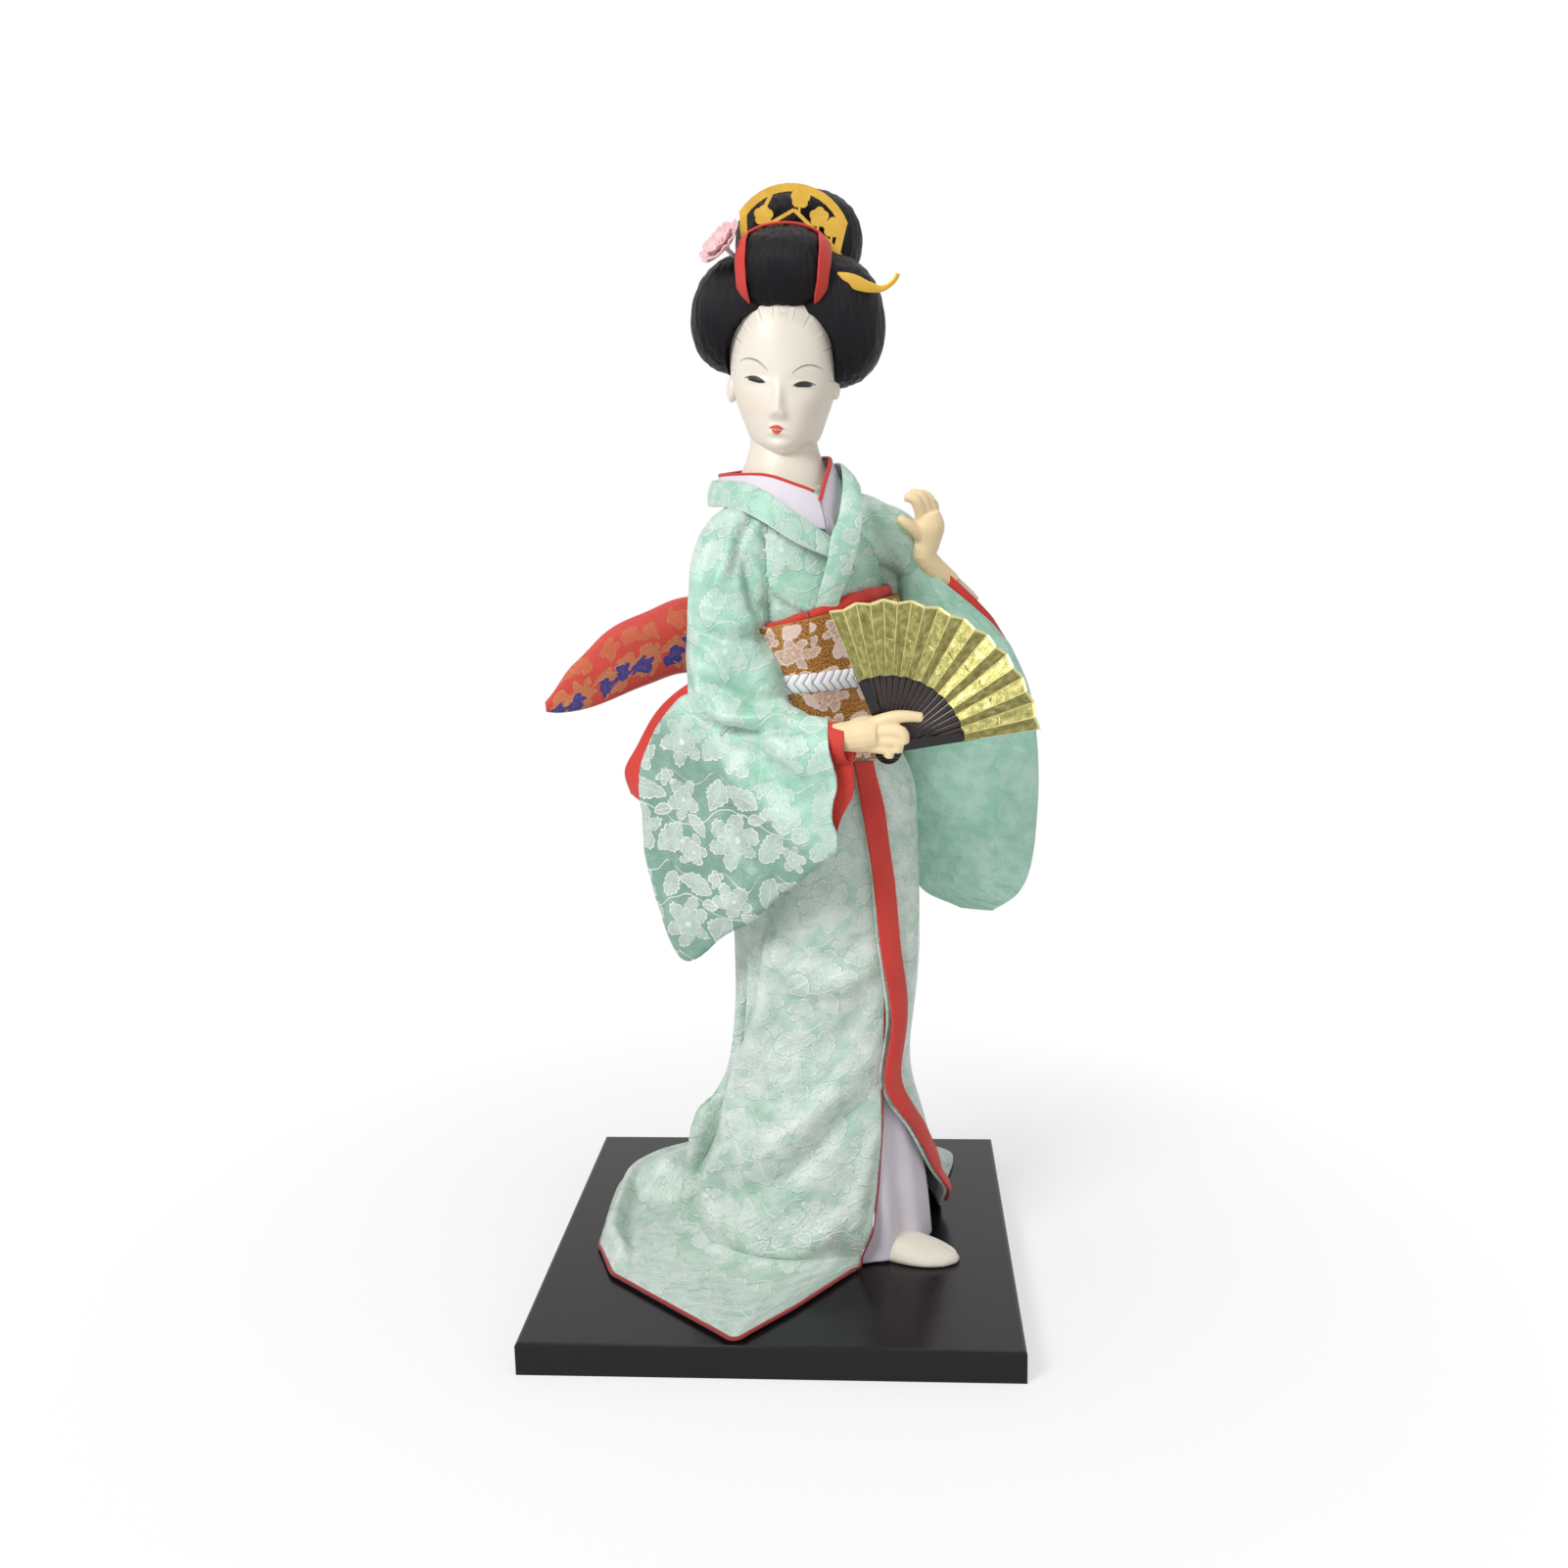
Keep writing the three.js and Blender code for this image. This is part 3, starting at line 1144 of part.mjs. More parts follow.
function rightBag(inset, cuffReach, firstRow = 0) {
  const rows = rightBagShares.slice(firstRow);
  const outer = rows.map((shares, r) => {
    const [x, y, top, bottom, topHalf, bottomHalf] = shares.map((share) => share * torsoLength);
    const least = 0.25 * clothThickness;
    const shift = r === 0 ? inset : 0;
    const middle = (top + bottom) / 2;
    return hangingRing(
      waist.x + x + shift,
      waist.y + y,
      waist.z + Math.max(top - inset, middle + least),
      waist.z + Math.min(bottom + inset, middle - least),
      Math.max(topHalf - inset, least),
      Math.max(bottomHalf - inset, least),
      18,
    );
  });
  if (cuffReach === 0) return loft(outer);
  const last = outer.at(-1);
  const before = outer.at(-2);
  const ahead = last.map((point, i) => {
    const way = point.clone().sub(before[i]).normalize();
    return point.clone().addScaledVector(way, cuffReach);
  });
  return loft([...outer, ahead]);
}

function rightSleeve() {
  const outer = rightBag(0, 0).add(rightArmTube(0));
  const inner = rightBag(clothThickness, clothThickness * 2).add(rightArmTube(clothThickness));
  return outer.subtract(inner);
}

function rightSleeveLining() {
  const first = 6;
  const inset = clothThickness + gap;
  const cuffReach = 4 * liningThickness;
  const outer = rightBag(inset, cuffReach, first);
  const inner = rightBag(inset + liningThickness, cuffReach + liningThickness, first - 1);
  return outer.subtract(inner);
}

// The lining's free back edge, which shows past the bag's outer edge on the body side.
const rightBackEdgeShares = [
  [-0.44, 0.29, -0.17], [-0.56, 0.2, -0.13], [-0.655, 0.06, -0.1], [-0.71, -0.04, -0.09], [-0.692, -0.13, -0.09],
];

function rightSleeveBackEdge() {
  const points = smoothRoute(rightBackEdgeShares.map(([x, z, y]) => atTorso([x, y, z])), 10);
  const inward = new THREE.Vector3(0.15, -0.13, -0.06).multiplyScalar(torsoLength);
  const grid = points.map((point) => [0, 0.5, 1].map((reach) => point.clone().addScaledVector(inward, reach)));
  return sheet(grid, liningThickness);
}

const leftArmTubeShares = [[0.02, 0.027, 0.827], [0.127, 0.06, 0.83], [0.26, 0.1, 0.79], [0.39, 0.14, 0.685]];
const leftArmRadiusShares = [0.1, 0.115, 0.11, 0.085];

function leftArmTube(inset) {
  const rows = leftArmTubeShares.map((row, i) => [...row, leftArmRadiusShares[i]]);
  const route = rows.map((row) => atTorso(row.slice(0, 3)));
  const radii = rows.map((row) => row[3] * torsoLength - inset);
  return tube(route, radii, 12, { up: new THREE.Vector3(0, 1, 0.2) });
}

// Near end across and up, far end across and up, depth and half thickness, from the bottom to the mouth.
const leftBagShares = [
  [0.527, -0.643, 0.66, -0.661, 0.2, 0.013],
  [0.38, -0.553, 0.76, -0.58, 0.193, 0.032],
  [0.333, -0.373, 0.809, -0.413, 0.187, 0.045],
  [0.313, -0.027, 0.823, -0.04, 0.173, 0.061],
  [0.293, 0.24, 0.793, 0.213, 0.16, 0.08],
  [0.287, 0.493, 0.733, 0.36, 0.147, 0.093],
  [0.327, 0.733, 0.687, 0.427, 0.133, 0.099],
];

function leftBag(inset, mouthReach, firstRow = 0) {
  const sides = 18;
  const rings = leftBagShares.slice(firstRow).map((row, r) => {
    const [nearX, nearZ, farX, farZ, depth, half] = row;
    const near = atTorso([nearX, depth, nearZ]);
    const far = atTorso([farX, depth, farZ]);
    const along = far.clone().sub(near).normalize();
    const lift = r === 0 ? inset : 0;
    const middle = near.clone().add(far).multiplyScalar(0.5);
    const reach = near.distanceTo(far) / 2 - inset;
    const thick = Math.max(half * torsoLength - inset, 0.25 * clothThickness);
    return Array.from({ length: sides }, (unused, s) => {
      const angle = (s * turn) / sides;
      const side = Math.sign(Math.sin(angle)) * Math.abs(Math.sin(angle)) ** 0.7;
      const point = middle.clone().addScaledVector(along, Math.cos(angle) * reach);
      point.y += side * thick;
      point.z += lift;
      return point;
    });
  });
  if (mouthReach === 0) return loft(rings);
  const ahead = rings.at(-1).map((point, i) => {
    const way = point.clone().sub(rings.at(-2)[i]).normalize();
    return point.clone().addScaledVector(way, mouthReach);
  });
  return loft([...rings, ahead]);
}

function leftSleeve() {
  const outer = leftBag(0, 0).add(leftArmTube(0));
  const inner = leftBag(clothThickness, clothThickness * 2).add(leftArmTube(clothThickness));
  return outer.subtract(inner);
}

function leftSleeveLining() {
  const first = 4;
  const inset = clothThickness + gap;
  const mouthReach = 4 * liningThickness;
  const outer = leftBag(inset, mouthReach, first);
  const inner = leftBag(inset + liningThickness, mouthReach + liningThickness, first - 1);
  return outer.subtract(inner);
}

// Collars: top edge and bottom edge along each band, as shares of the torso length.
const underCollarShares = [
  [[0.053, -0.193, 0.853], [0.1, -0.173, 0.76]], [[0.025, -0.195, 0.928], [0.06, -0.2, 0.813]],
  [[-0.071, -0.207, 0.972], [-0.06, -0.24, 0.84]], [[-0.164, -0.18, 1.001], [-0.18, -0.22, 0.893]],
  [[-0.272, -0.093, 1.007], [-0.293, -0.127, 0.92]], [[-0.34, 0.013, 1.007], [-0.347, 0.007, 0.92]],
  [[-0.333, 0.133, 1.013], [-0.333, 0.147, 0.92]], [[-0.247, 0.213, 1.027], [-0.233, 0.233, 0.92]],
  [[-0.113, 0.207, 1.047], [-0.087, 0.22, 0.933]], [[0, 0.127, 1.06], [0.033, 0.133, 0.947]],
  [[0.053, 0.027, 1.06], [0.093, 0.033, 0.947]], [[0.063, -0.067, 1.04], [0.093, -0.08, 0.92]],
  [[0.047, -0.147, 0.98], [0.073, -0.167, 0.853]], [[0.031, -0.213, 0.913], [0.053, -0.221, 0.787]],
];
const collarShares = [
  [[0.113, -0.2, 0.747], [0.153, -0.18, 0.667]], [[0.048, -0.231, 0.801], [0.087, -0.227, 0.713]],
  [[-0.053, -0.257, 0.871], [-0.053, -0.275, 0.78]], [[-0.147, -0.227, 0.94], [-0.167, -0.26, 0.853]],
  [[-0.243, -0.167, 0.981], [-0.267, -0.193, 0.9]], [[-0.34, -0.047, 0.987], [-0.36, -0.053, 0.907]],
  [[-0.373, 0.08, 0.993], [-0.387, 0.087, 0.913]], [[-0.327, 0.2, 1], [-0.333, 0.22, 0.92]],
  [[-0.207, 0.26, 1.013], [-0.2, 0.28, 0.933]], [[-0.06, 0.233, 1.033], [-0.04, 0.253, 0.947]],
  [[0.047, 0.133, 1.044], [0.08, 0.147, 0.96]], [[0.093, 0.027, 1.044], [0.14, 0.033, 0.967]],
  [[0.105, -0.08, 1.023], [0.16, -0.087, 0.967]], [[0.109, -0.16, 0.952], [0.167, -0.16, 0.92]],
  [[0.095, -0.213, 0.857], [0.169, -0.197, 0.847]], [[0.072, -0.256, 0.797], [0.156, -0.227, 0.767]],
  [[0.055, -0.264, 0.703], [0.132, -0.243, 0.68]], [[0.025, -0.261, 0.6], [0.097, -0.248, 0.6]],
];

function collarBand(shares, thickness) {
  const rows = smoothRows(shares.map(([top, bottom]) => [...top, ...bottom]), 2);
  const grid = rows.map((row) => {
    const [top, bottom] = [atTorso(row.slice(0, 3)), atTorso(row.slice(3))];
    return [top, top.clone().lerp(bottom, 0.5), bottom];
  });
  return sheet(grid, thickness);
}

function underCollarPiping() {
  const rows = smoothRows(underCollarShares.map(([top, bottom]) => [...top, ...bottom]), 2);
  const route = rows.map((row) => {
    const [top, bottom] = [atTorso(row.slice(0, 3)), atTorso(row.slice(3))];
    const up = top.clone().sub(bottom).normalize();
    return top.addScaledVector(up, 1.5 * gap + pipingRadius);
  });
  return tube(route.slice(2), pipingRadius, 6);
}

// Sash, cord and scarf round the waist
const obiBottom = waistHeight + 0.01 * torsoLength;
const obiRings = 3;

function obiLayer(lift, stretch) {
  const rings = [];
  for (let i = 0; i <= obiRings; i += 1) {
    const t = i / obiRings;
    const end = i === 0 ? -stretch : i === obiRings ? stretch : 0;
    rings.push(torsoRing(obiBottom + t * obiHeight + end, lift, 24, t * obiTilt));
  }
  return loft(rings);
}

function obi() {
  const inner = clothThickness + 2 * gap;
  return obiLayer(inner + obiThickness, 0).subtract(obiLayer(inner, obiThickness));
}

function bandRing(height, lift, thickness, tall, tilt) {
  const route = torsoRing(height, lift, 28, tilt);
  return tube(route, tall / 2, 8, { closed: true, flat: thickness / tall });
}

const obiFace = clothThickness + 2 * gap + obiThickness;
const cordPlace = obiBottom + 0.56 * obiHeight;

function obiCord() {
  return bandRing(cordPlace, obiFace + gap + cordThickness / 2, cordThickness, cordHeight, 0.35 * obiTilt);
}

function sashScarf() {
  const height = obiBottom + obiHeight - 0.05 * sashScarfHeight;
  return bandRing(height, obiFace / 2, sashScarfThickness * 1.4, sashScarfHeight, 1.25 * obiTilt);
}

// Bow at the back: two wings folded from the sash and a knot that binds them.
const bowCentre = atTorso([-0.15, 0.27, 0.42]);
// Along the wing, centre height, half height and half thickness, as shares of the wing's sizes.
const wingShares = [
  [0.06, 0, 0.3, 0.3], [0.16, 0.02, 0.44, 0.5], [0.3, 0.06, 0.5, 0.5], [0.45, 0.03, 0.5, 0.46], [0.58, -0.12, 0.5, 0.4],
  [0.72, -0.32, 0.47, 0.32], [0.84, -0.52, 0.37, 0.22], [0.94, -0.72, 0.2, 0.12], [1, -0.84, 0.05, 0.05],
];

function bowWing(side) {
  const way = new THREE.Vector3(side * Math.cos(bowYaw), side * Math.sin(bowYaw), 0);
  const thick = new THREE.Vector3(-Math.sin(bowYaw), Math.cos(bowYaw), 0);
  const rows = wingShares;
  return loft(rows.map(([reach, lift, half, depth]) => {
    const centre = bowCentre.clone().addScaledVector(way, reach * bowWingLength);
    centre.z += lift * bowWingHeight;
    return Array.from({ length: 14 }, (unused, s) => {
      const angle = (s * turn) / 14;
      const edge = Math.sign(Math.sin(angle)) * Math.abs(Math.sin(angle)) ** 0.8;
      const point = centre.clone().addScaledVector(thick, edge * depth * bowWingThickness);
      point.z += Math.cos(angle) * half * bowWingHeight;
      return point;
    });
  }));
}

function bowKnot() {
  const rows = [[-0.5, 0.8, 0.7], [-0.35, 0.95, 1], [0, 1, 1.1], [0.35, 0.95, 1], [0.5, 0.8, 0.7]];
  return loft(rows.map(([rise, wide, deep]) => {
    const centre = bowCentre.clone();
    centre.z += rise * bowKnotHeight;
    return Array.from({ length: 16 }, (unused, s) => ovalPoint(
      centre.x, centre.y, centre.z, (wide * bowKnotWidth) / 2, deep * bowKnotThickness, bowYaw, (s * turn) / 16, 0,
    ));
  }));
}

// Assembly, from the inside out

const feetAndLegs = ['left', 'right'].map((side) => ({ side, ...legDowel(side) }));
for (const { side, solid } of feetAndLegs) piece(`leg_dowel_${side}`, 'wood', solid);
piece('base_board', 'lacquer', board());
for (const { side } of feetAndLegs) piece(`tabi_foot_${side}`, 'tabi', foot(side));
piece('neck_peg', 'wood', neckPeg());
piece('head', 'porcelain', headSolid());
for (const side of ['right', 'left']) piece(`arm_wire_${side}`, 'paper', arm(side));
piece('torso_core', 'strawCore', torsoCore());
piece('underskirt', 'white', underskirt());
piece('fan_rivet', 'gilt', fanRivet());
piece('fan_guard_lower', 'blackGloss', fanGuard(fanLowAngle, 1));
piece('fan_guard_upper', 'blackGloss', fanGuard(fanHighAngle, -1));
piece('fan_leaf', 'foil', fanLeaf());
piece('fan_sticks', 'blackGloss', fanSticks());
piece('hand_right', 'skin', hand('right').subtract(fanSlot()));
piece('hand_left', 'skin', hand('left'));
const comb = combSolid();
piece('comb', 'gilt', comb, { room: combRoom(comb) });
piece('blossom_pin', 'pink', blossom());
piece('hairpin', 'gilt', hairpin());
for (const [name, shares] of Object.entries(hairShares)) {
  piece(name, 'hair', hairMass(shares).subtract(faceOpening()));
}
piece('hair_ribbon_right', 'red', hairRibbon(-0.72, -0.74));
piece('hair_ribbon_left', 'red', hairRibbon(0.8, 0.7));
piece('under_collar', 'white', collarBand(underCollarShares, collarThickness));
piece('under_collar_piping', 'red', underCollarPiping());
const { outer: bodiceRoom, shell: bodiceShell } = bodice();
piece('kimono_bodice', 'mint', bodiceShell, { room: bodiceRoom });
piece('kimono_collar', 'mint', collarBand(collarShares, collarThickness));
const rightPanel = skirtPanel(rightEdgeShares, rightHemShares, 3, 0);
const leftPanel = skirtPanel(leftEdgeShares, leftHemShares, 3, clothThickness + gap);
piece('skirt_panel_right', 'mint', sheet(rightPanel, clothThickness));
piece('skirt_panel_left', 'mint', sheet(leftPanel, clothThickness));
piece('hem_roll', 'red', edgeRoll(rightPanel, 16));
piece('front_facing', 'red', frontFacing());
piece('obi', 'goldBrocade', obi(), { room: obiLayer(obiFace, 0) });
piece('obi_scarf', 'red', sashScarf());
piece('obi_cord', 'whiteCord', obiCord());
piece('bow_knot', 'redBrocade', bowKnot());
piece('bow_wing_right', 'redBrocade', bowWing(-1));
piece('bow_wing_left', 'redBrocade', bowWing(1));
piece('sleeve_lining_right', 'red', rightSleeveLining());
piece('sleeve_right', 'mint', rightSleeve());
piece('sleeve_edge_right', 'red', rightSleeveBackEdge());
piece('sleeve_lining_left', 'red', leftSleeveLining());
piece('sleeve_left', 'mint', leftSleeve());

const figurine = new THREE.Group();
for (const [name, { finish, solid }] of pieces) {
  const [color, roughness, metalness] = finishes[finish];
  const mesh = new THREE.Mesh(geometryOf(solid), new THREE.MeshStandardMaterial({ color, roughness, metalness }));
  mesh.name = name;
  figurine.add(mesh);
}

export default figurine;
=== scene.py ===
import math

import bmesh
import bpy
import numpy as np
from mathutils import Matrix, Vector, noise
from mathutils.kdtree import KDTree


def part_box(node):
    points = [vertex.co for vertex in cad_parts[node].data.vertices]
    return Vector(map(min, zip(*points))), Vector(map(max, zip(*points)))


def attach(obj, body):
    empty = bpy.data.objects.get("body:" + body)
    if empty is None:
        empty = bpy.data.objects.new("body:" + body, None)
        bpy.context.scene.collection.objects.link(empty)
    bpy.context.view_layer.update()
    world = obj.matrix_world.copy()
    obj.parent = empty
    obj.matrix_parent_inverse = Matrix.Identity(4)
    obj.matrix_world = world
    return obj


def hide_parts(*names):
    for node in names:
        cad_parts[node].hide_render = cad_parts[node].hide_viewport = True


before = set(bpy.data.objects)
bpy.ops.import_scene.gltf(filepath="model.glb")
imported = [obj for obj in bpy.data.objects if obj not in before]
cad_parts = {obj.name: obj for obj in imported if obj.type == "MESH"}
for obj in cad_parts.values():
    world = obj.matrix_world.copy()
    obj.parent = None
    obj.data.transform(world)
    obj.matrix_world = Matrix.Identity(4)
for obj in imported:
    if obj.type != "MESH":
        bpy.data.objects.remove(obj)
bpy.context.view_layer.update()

# Lengths are millimetres until a mesh is made, in the row frame: X to the viewer's right, Y away, Z up.
MM = 0.001
TURN = 2 * math.pi
BOARD_LOW, BOARD_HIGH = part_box("base_board")
BOARD_SIDE = (BOARD_HIGH.x - BOARD_LOW.x) / MM
BOARD_TOP = BOARD_HIGH.z / MM
SKIRT_LENGTH = 141.2
HIP_WIDTH = 51
TORSO_LENGTH = 75
HEAD_HEIGHT = 48
HEAD_WIDTH = 29
NECK_RADIUS = 8.9
NECK_LENGTH = 19
HAIR_WIDTH = 52.5
HAIR_HEIGHT = 57
FOOT_LENGTH = 34
FOOT_HEIGHT = 8.5
HAND_LENGTH = 22
CLOTH = 1.1
LINING = 0.8
GAP = 0.3
OBI_THICKNESS = 1.7
OBI_HEIGHT = 38
OBI_TILT = 0.22
CORD_HEIGHT = 4.6
CORD_THICKNESS = 1.9
SCARF_HEIGHT = 3.6
SCARF_THICKNESS = 1.5
BOW_LENGTH = 68
BOW_HEIGHT = 21
BOW_THICKNESS = 11
FAN_RADIUS = 38.5
FAN_STICK_RADIUS = 19.2
FAN_PLEATS = 10
FAN_PLEAT_DEPTH = 0.8
FAN_LOW, FAN_HIGH = math.radians(8), math.radians(112)
FAN_TAIL = 3.2
FAN_LAP = 4
FAN_BACK = 1.35
FAN_STICK_STACK = 1.125
RIBBON_WIDTH = 3.2
BLOSSOM_RADIUS = 5.6
TORSO_YAW = math.radians(35)
BOW_YAW = math.radians(18)

WAIST_Z = BOARD_TOP + SKIRT_LENGTH
WAIST = np.array([0.245 * HIP_WIDTH, 0.02 * HIP_WIDTH, WAIST_Z])
NECK_X = WAIST[0] - 0.107 * TORSO_LENGTH
NECK_Y = WAIST[1]
NECK_Z = WAIST_Z + TORSO_LENGTH
CHIN_Z = NECK_Z + 0.3 * NECK_LENGTH
FACE_X = NECK_X + 0.02 * HEAD_WIDTH


# Curves and tables

def spline(rows, t):
    """The smooth curve through the rows of a table, at t counted in rows."""
    rows = np.asarray(rows, float)
    t = np.clip(np.asarray(t, float), 0, len(rows) - 1)
    i = np.minimum(t.astype(int), len(rows) - 2)
    f = (t - i)[..., None]
    a, b = rows[np.maximum(i - 1, 0)], rows[i]
    c, d = rows[i + 1], rows[np.minimum(i + 2, len(rows) - 1)]
    first = (c - a) * f
    second = (2 * a - 5 * b + 4 * c - d) * f**2
    third = (3 * b - a - 3 * c + d) * f**3
    return b + (first + second + third) / 2


def place_in(rows, value):
    """How far down a table a value of its first column lies, counted in rows."""
    keys = np.array([row[0] for row in rows], float)
    order = np.argsort(keys)
    return np.interp(value, keys[order], np.arange(len(rows))[order])


def smooth(rows, count):
    """The smooth curve through the rows of a table, as count points."""
    return spline(rows, np.linspace(0, len(rows) - 1, count))


def stacked(*parts):
    return np.stack(np.broadcast_arrays(*parts), -1)


def full_turn(count):
    return np.arange(count) * TURN / count


def blunt(x, power):
    """x with its sign kept and its size raised to a power, which squares off a circle."""
    return np.sign(x) * np.abs(x) ** power


def smoothstep(x, low, high):
    s = np.clip((x - low) / (high - low), 0, 1)
    return s * s * (3 - 2 * s)


def bump(x, at, width):
    return np.exp(-(((x - at) / width) ** 2))


def at_torso(shares):
    return np.asarray(shares, float) * TORSO_LENGTH + WAIST


def unit(v):
    return v / np.maximum(np.linalg.norm(v, axis=-1, keepdims=True), 1e-9)


def oval(x, y, z, half_x, half_y, yaw, angle, lift):
    own = angle - yaw
    reach = half_x * half_y / np.hypot(half_y * np.sin(own), half_x * np.cos(own)) + lift
    across, deep = x - np.sin(angle) * reach, y - np.cos(angle) * reach
    return stacked(across, deep, z)


def normals_of(grid):
    return unit(np.cross(np.gradient(grid, axis=0), np.gradient(grid, axis=1)))


def wrinkles(grid, size, depth, seed, stretch=(1, 1, 1)):
    """The grid pushed along its normals by smooth noise of one size."""
    flat = grid.reshape(-1, 3) / size * np.asarray(stretch) + seed * 17.3
    waves = np.array([noise.noise(Vector(p)) for p in flat]).reshape(grid.shape[:2])
    return grid + normals_of(grid) * (waves * depth)[..., None]


# Meshes

def measured_uv(grid, middle=0.5):
    """Cloth coordinates in millimetres, measured along the rows and down the columns of the grid."""
    across = np.linalg.norm(np.diff(grid, axis=1), axis=2)
    u = np.concatenate([np.zeros((grid.shape[0], 1)), np.cumsum(across, axis=1)], axis=1)
    u -= u[:, [int(middle * (grid.shape[1] - 1))]]
    down = np.linalg.norm(np.diff(grid, axis=0), axis=2).mean(axis=1)
    v = np.concatenate([[0], -np.cumsum(down)])
    return np.stack([u, np.broadcast_to(v[:, None], u.shape)], -1)


def mesh_piece(name, verts, faces, uv=None, smooth=True):
    mesh = bpy.data.meshes.new(name)
    mesh.from_pydata((np.asarray(verts) * MM).tolist(), [], [list(f) for f in faces])
    if uv is not None:
        layer = mesh.uv_layers.new(name="cloth")
        index = np.zeros(len(mesh.loops), int)
        mesh.loops.foreach_get("vertex_index", index)
        layer.data.foreach_set("uv", np.asarray(uv, float)[index].ravel())
    mesh.polygons.foreach_set("use_smooth", [smooth] * len(mesh.polygons))
    piece = bpy.data.objects.new(name, mesh)
    bpy.context.scene.collection.objects.link(piece)
    return piece


def grid_piece(name, grid, closed=False, uv=None, ends=False, smooth=True):
    """A surface over rows and columns of points; closed joins the last column to the first."""
    rows, columns = grid.shape[:2]
    if closed:
        grid = np.concatenate([grid, grid[:, :1]], axis=1)
        columns += 1
    if uv is None:
        uv = measured_uv(grid)
    elif closed:
        uv = np.concatenate([uv, uv[:, :1]], axis=1)
    index = np.arange(rows * columns).reshape(rows, columns)
    squares = [index[:-1, :-1], index[1:, :-1], index[1:, 1:], index[:-1, 1:]]
    faces = np.stack(squares, -1).reshape(-1, 4).tolist()
    verts = grid.reshape(-1, 3)
    if ends:
        faces += [index[0, :-1].tolist(), index[-1, :-1][::-1].tolist()]
    piece = mesh_piece(name, verts, faces, uv.reshape(-1, 2), smooth)
    if closed:
        weld = piece.modifiers.new("weld", "WELD")
        weld.merge_threshold = 0.00001
    return piece


def thickened(piece, thickness, offset=0.0):
    solid = piece.modifiers.new("cloth", "SOLIDIFY")
    solid.thickness = thickness * MM
    solid.offset = offset
    solid.use_even_offset = False
    return piece


def tube_grid(route, radii, sides=12, flat=1.0, up=(0, 0, 1)):
    route = np.asarray(route, float)
    forward = unit(np.gradient(route, axis=0))
    side = unit(np.cross(forward, np.asarray(up, float)))
    rise = np.cross(side, forward)
    angle = full_turn(sides)
    radii = np.broadcast_to(np.asarray(radii, float), (len(route),))[:, None, None]
    across, high = np.cos(angle) * flat, np.sin(angle)
    out = side[:, None] * across[None, :, None] + rise[:, None] * high[None, :, None]
    return route[:, None] + out * radii


def tube_piece(name, route, radii, sides=12, flat=1.0, up=(0, 0, 1)):
    return grid_piece(name, tube_grid(route, radii, sides, flat, up), closed=True, ends=True)


def joined(name, pieces):
    for piece in pieces:
        for modifier in list(piece.modifiers):
            with bpy.context.temp_override(object=piece):
                bpy.ops.object.modifier_apply(modifier=modifier.name)
    with bpy.context.temp_override(active_object=pieces[0], selected_editable_objects=pieces):
        bpy.ops.object.join()
    pieces[0].name = name
    return pieces[0]


def shown(piece, material, body, slot_name, *nodes):
    """Dresses a piece, lets it ride on its body and lets it stand for its CAD nodes."""
    piece.data.materials.clear()
    piece.data.materials.append(material)
    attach(piece, body)
    if nodes:
        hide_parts(*nodes)
    return piece


def masked(piece, name, values):
    """Stores a mask on the points of a piece, for its material to read."""
    layer = piece.data.attributes.new(name, "FLOAT", "POINT")
    layer.data.foreach_set("value", values.astype(np.float32).ravel())


def folded(grid, thickness):
    """A band folded lengthways along its first column: the outer layer, the fold and the inner layer."""
    out = normals_of(grid) * thickness / 2
    up = unit(grid[:, 0] - grid[:, 1]) * thickness / 2
    turn_over = [grid[:, 0] + out[:, 0] * math.cos(a) + up * math.sin(a) for a in np.radians([45, 90, 135])]
    return np.concatenate([(grid + out)[:, ::-1], np.stack(turn_over, 1), grid - out], axis=1)


def skin_round(pieces, voxel, rounds):
    """One skin round overlapping closed pieces, softened where they meet: points, normals, faces."""
    whole = joined("skin", pieces)
    fuse = whole.modifiers.new("fuse", "REMESH")
    fuse.mode = "VOXEL"
    fuse.voxel_size = voxel * MM
    soft = whole.modifiers.new("soft", "SMOOTH")
    soft.iterations = rounds
    for modifier in (fuse, soft):
        with bpy.context.temp_override(object=whole):
            bpy.ops.object.modifier_apply(modifier=modifier.name)
    mesh = whole.data
    points, normals = np.empty(len(mesh.vertices) * 3), np.empty(len(mesh.vertices) * 3)
    mesh.vertices.foreach_get("co", points)
    mesh.vertex_normals.foreach_get("vector", normals)
    faces = np.empty(len(mesh.loops), int)
    mesh.loops.foreach_get("vertex_index", faces)
    bpy.data.objects.remove(whole)
    return points.reshape(-1, 3) / MM, normals.reshape(-1, 3), faces.reshape(-1, 4)


def cut_from(name, points, faces):
    """Some faces of a skin as a piece; the cloth hangs straight, seen from the front or from the side."""
    used, index = np.unique(faces, return_inverse=True)
    corners = points[faces]
    facing = np.cross(corners[:, 2] - corners[:, 0], corners[:, 3] - corners[:, 1])
    sideways = np.abs(facing[:, 0]) > 3 * np.abs(facing[:, 1])
    u = np.where(sideways[:, None], corners[..., 1] * 1.1, corners[..., 0] * 1.1)
    piece = mesh_piece(name, points[used], index.reshape(faces.shape).tolist())
    layer = piece.data.uv_layers.new(name="cloth")
    layer.data.foreach_set("uv", np.stack([u, corners[..., 2]], -1).ravel())
    return piece


# How much deeper the folds are laid than their tables say.
RAISED, SUNK = 2.1, 1.4


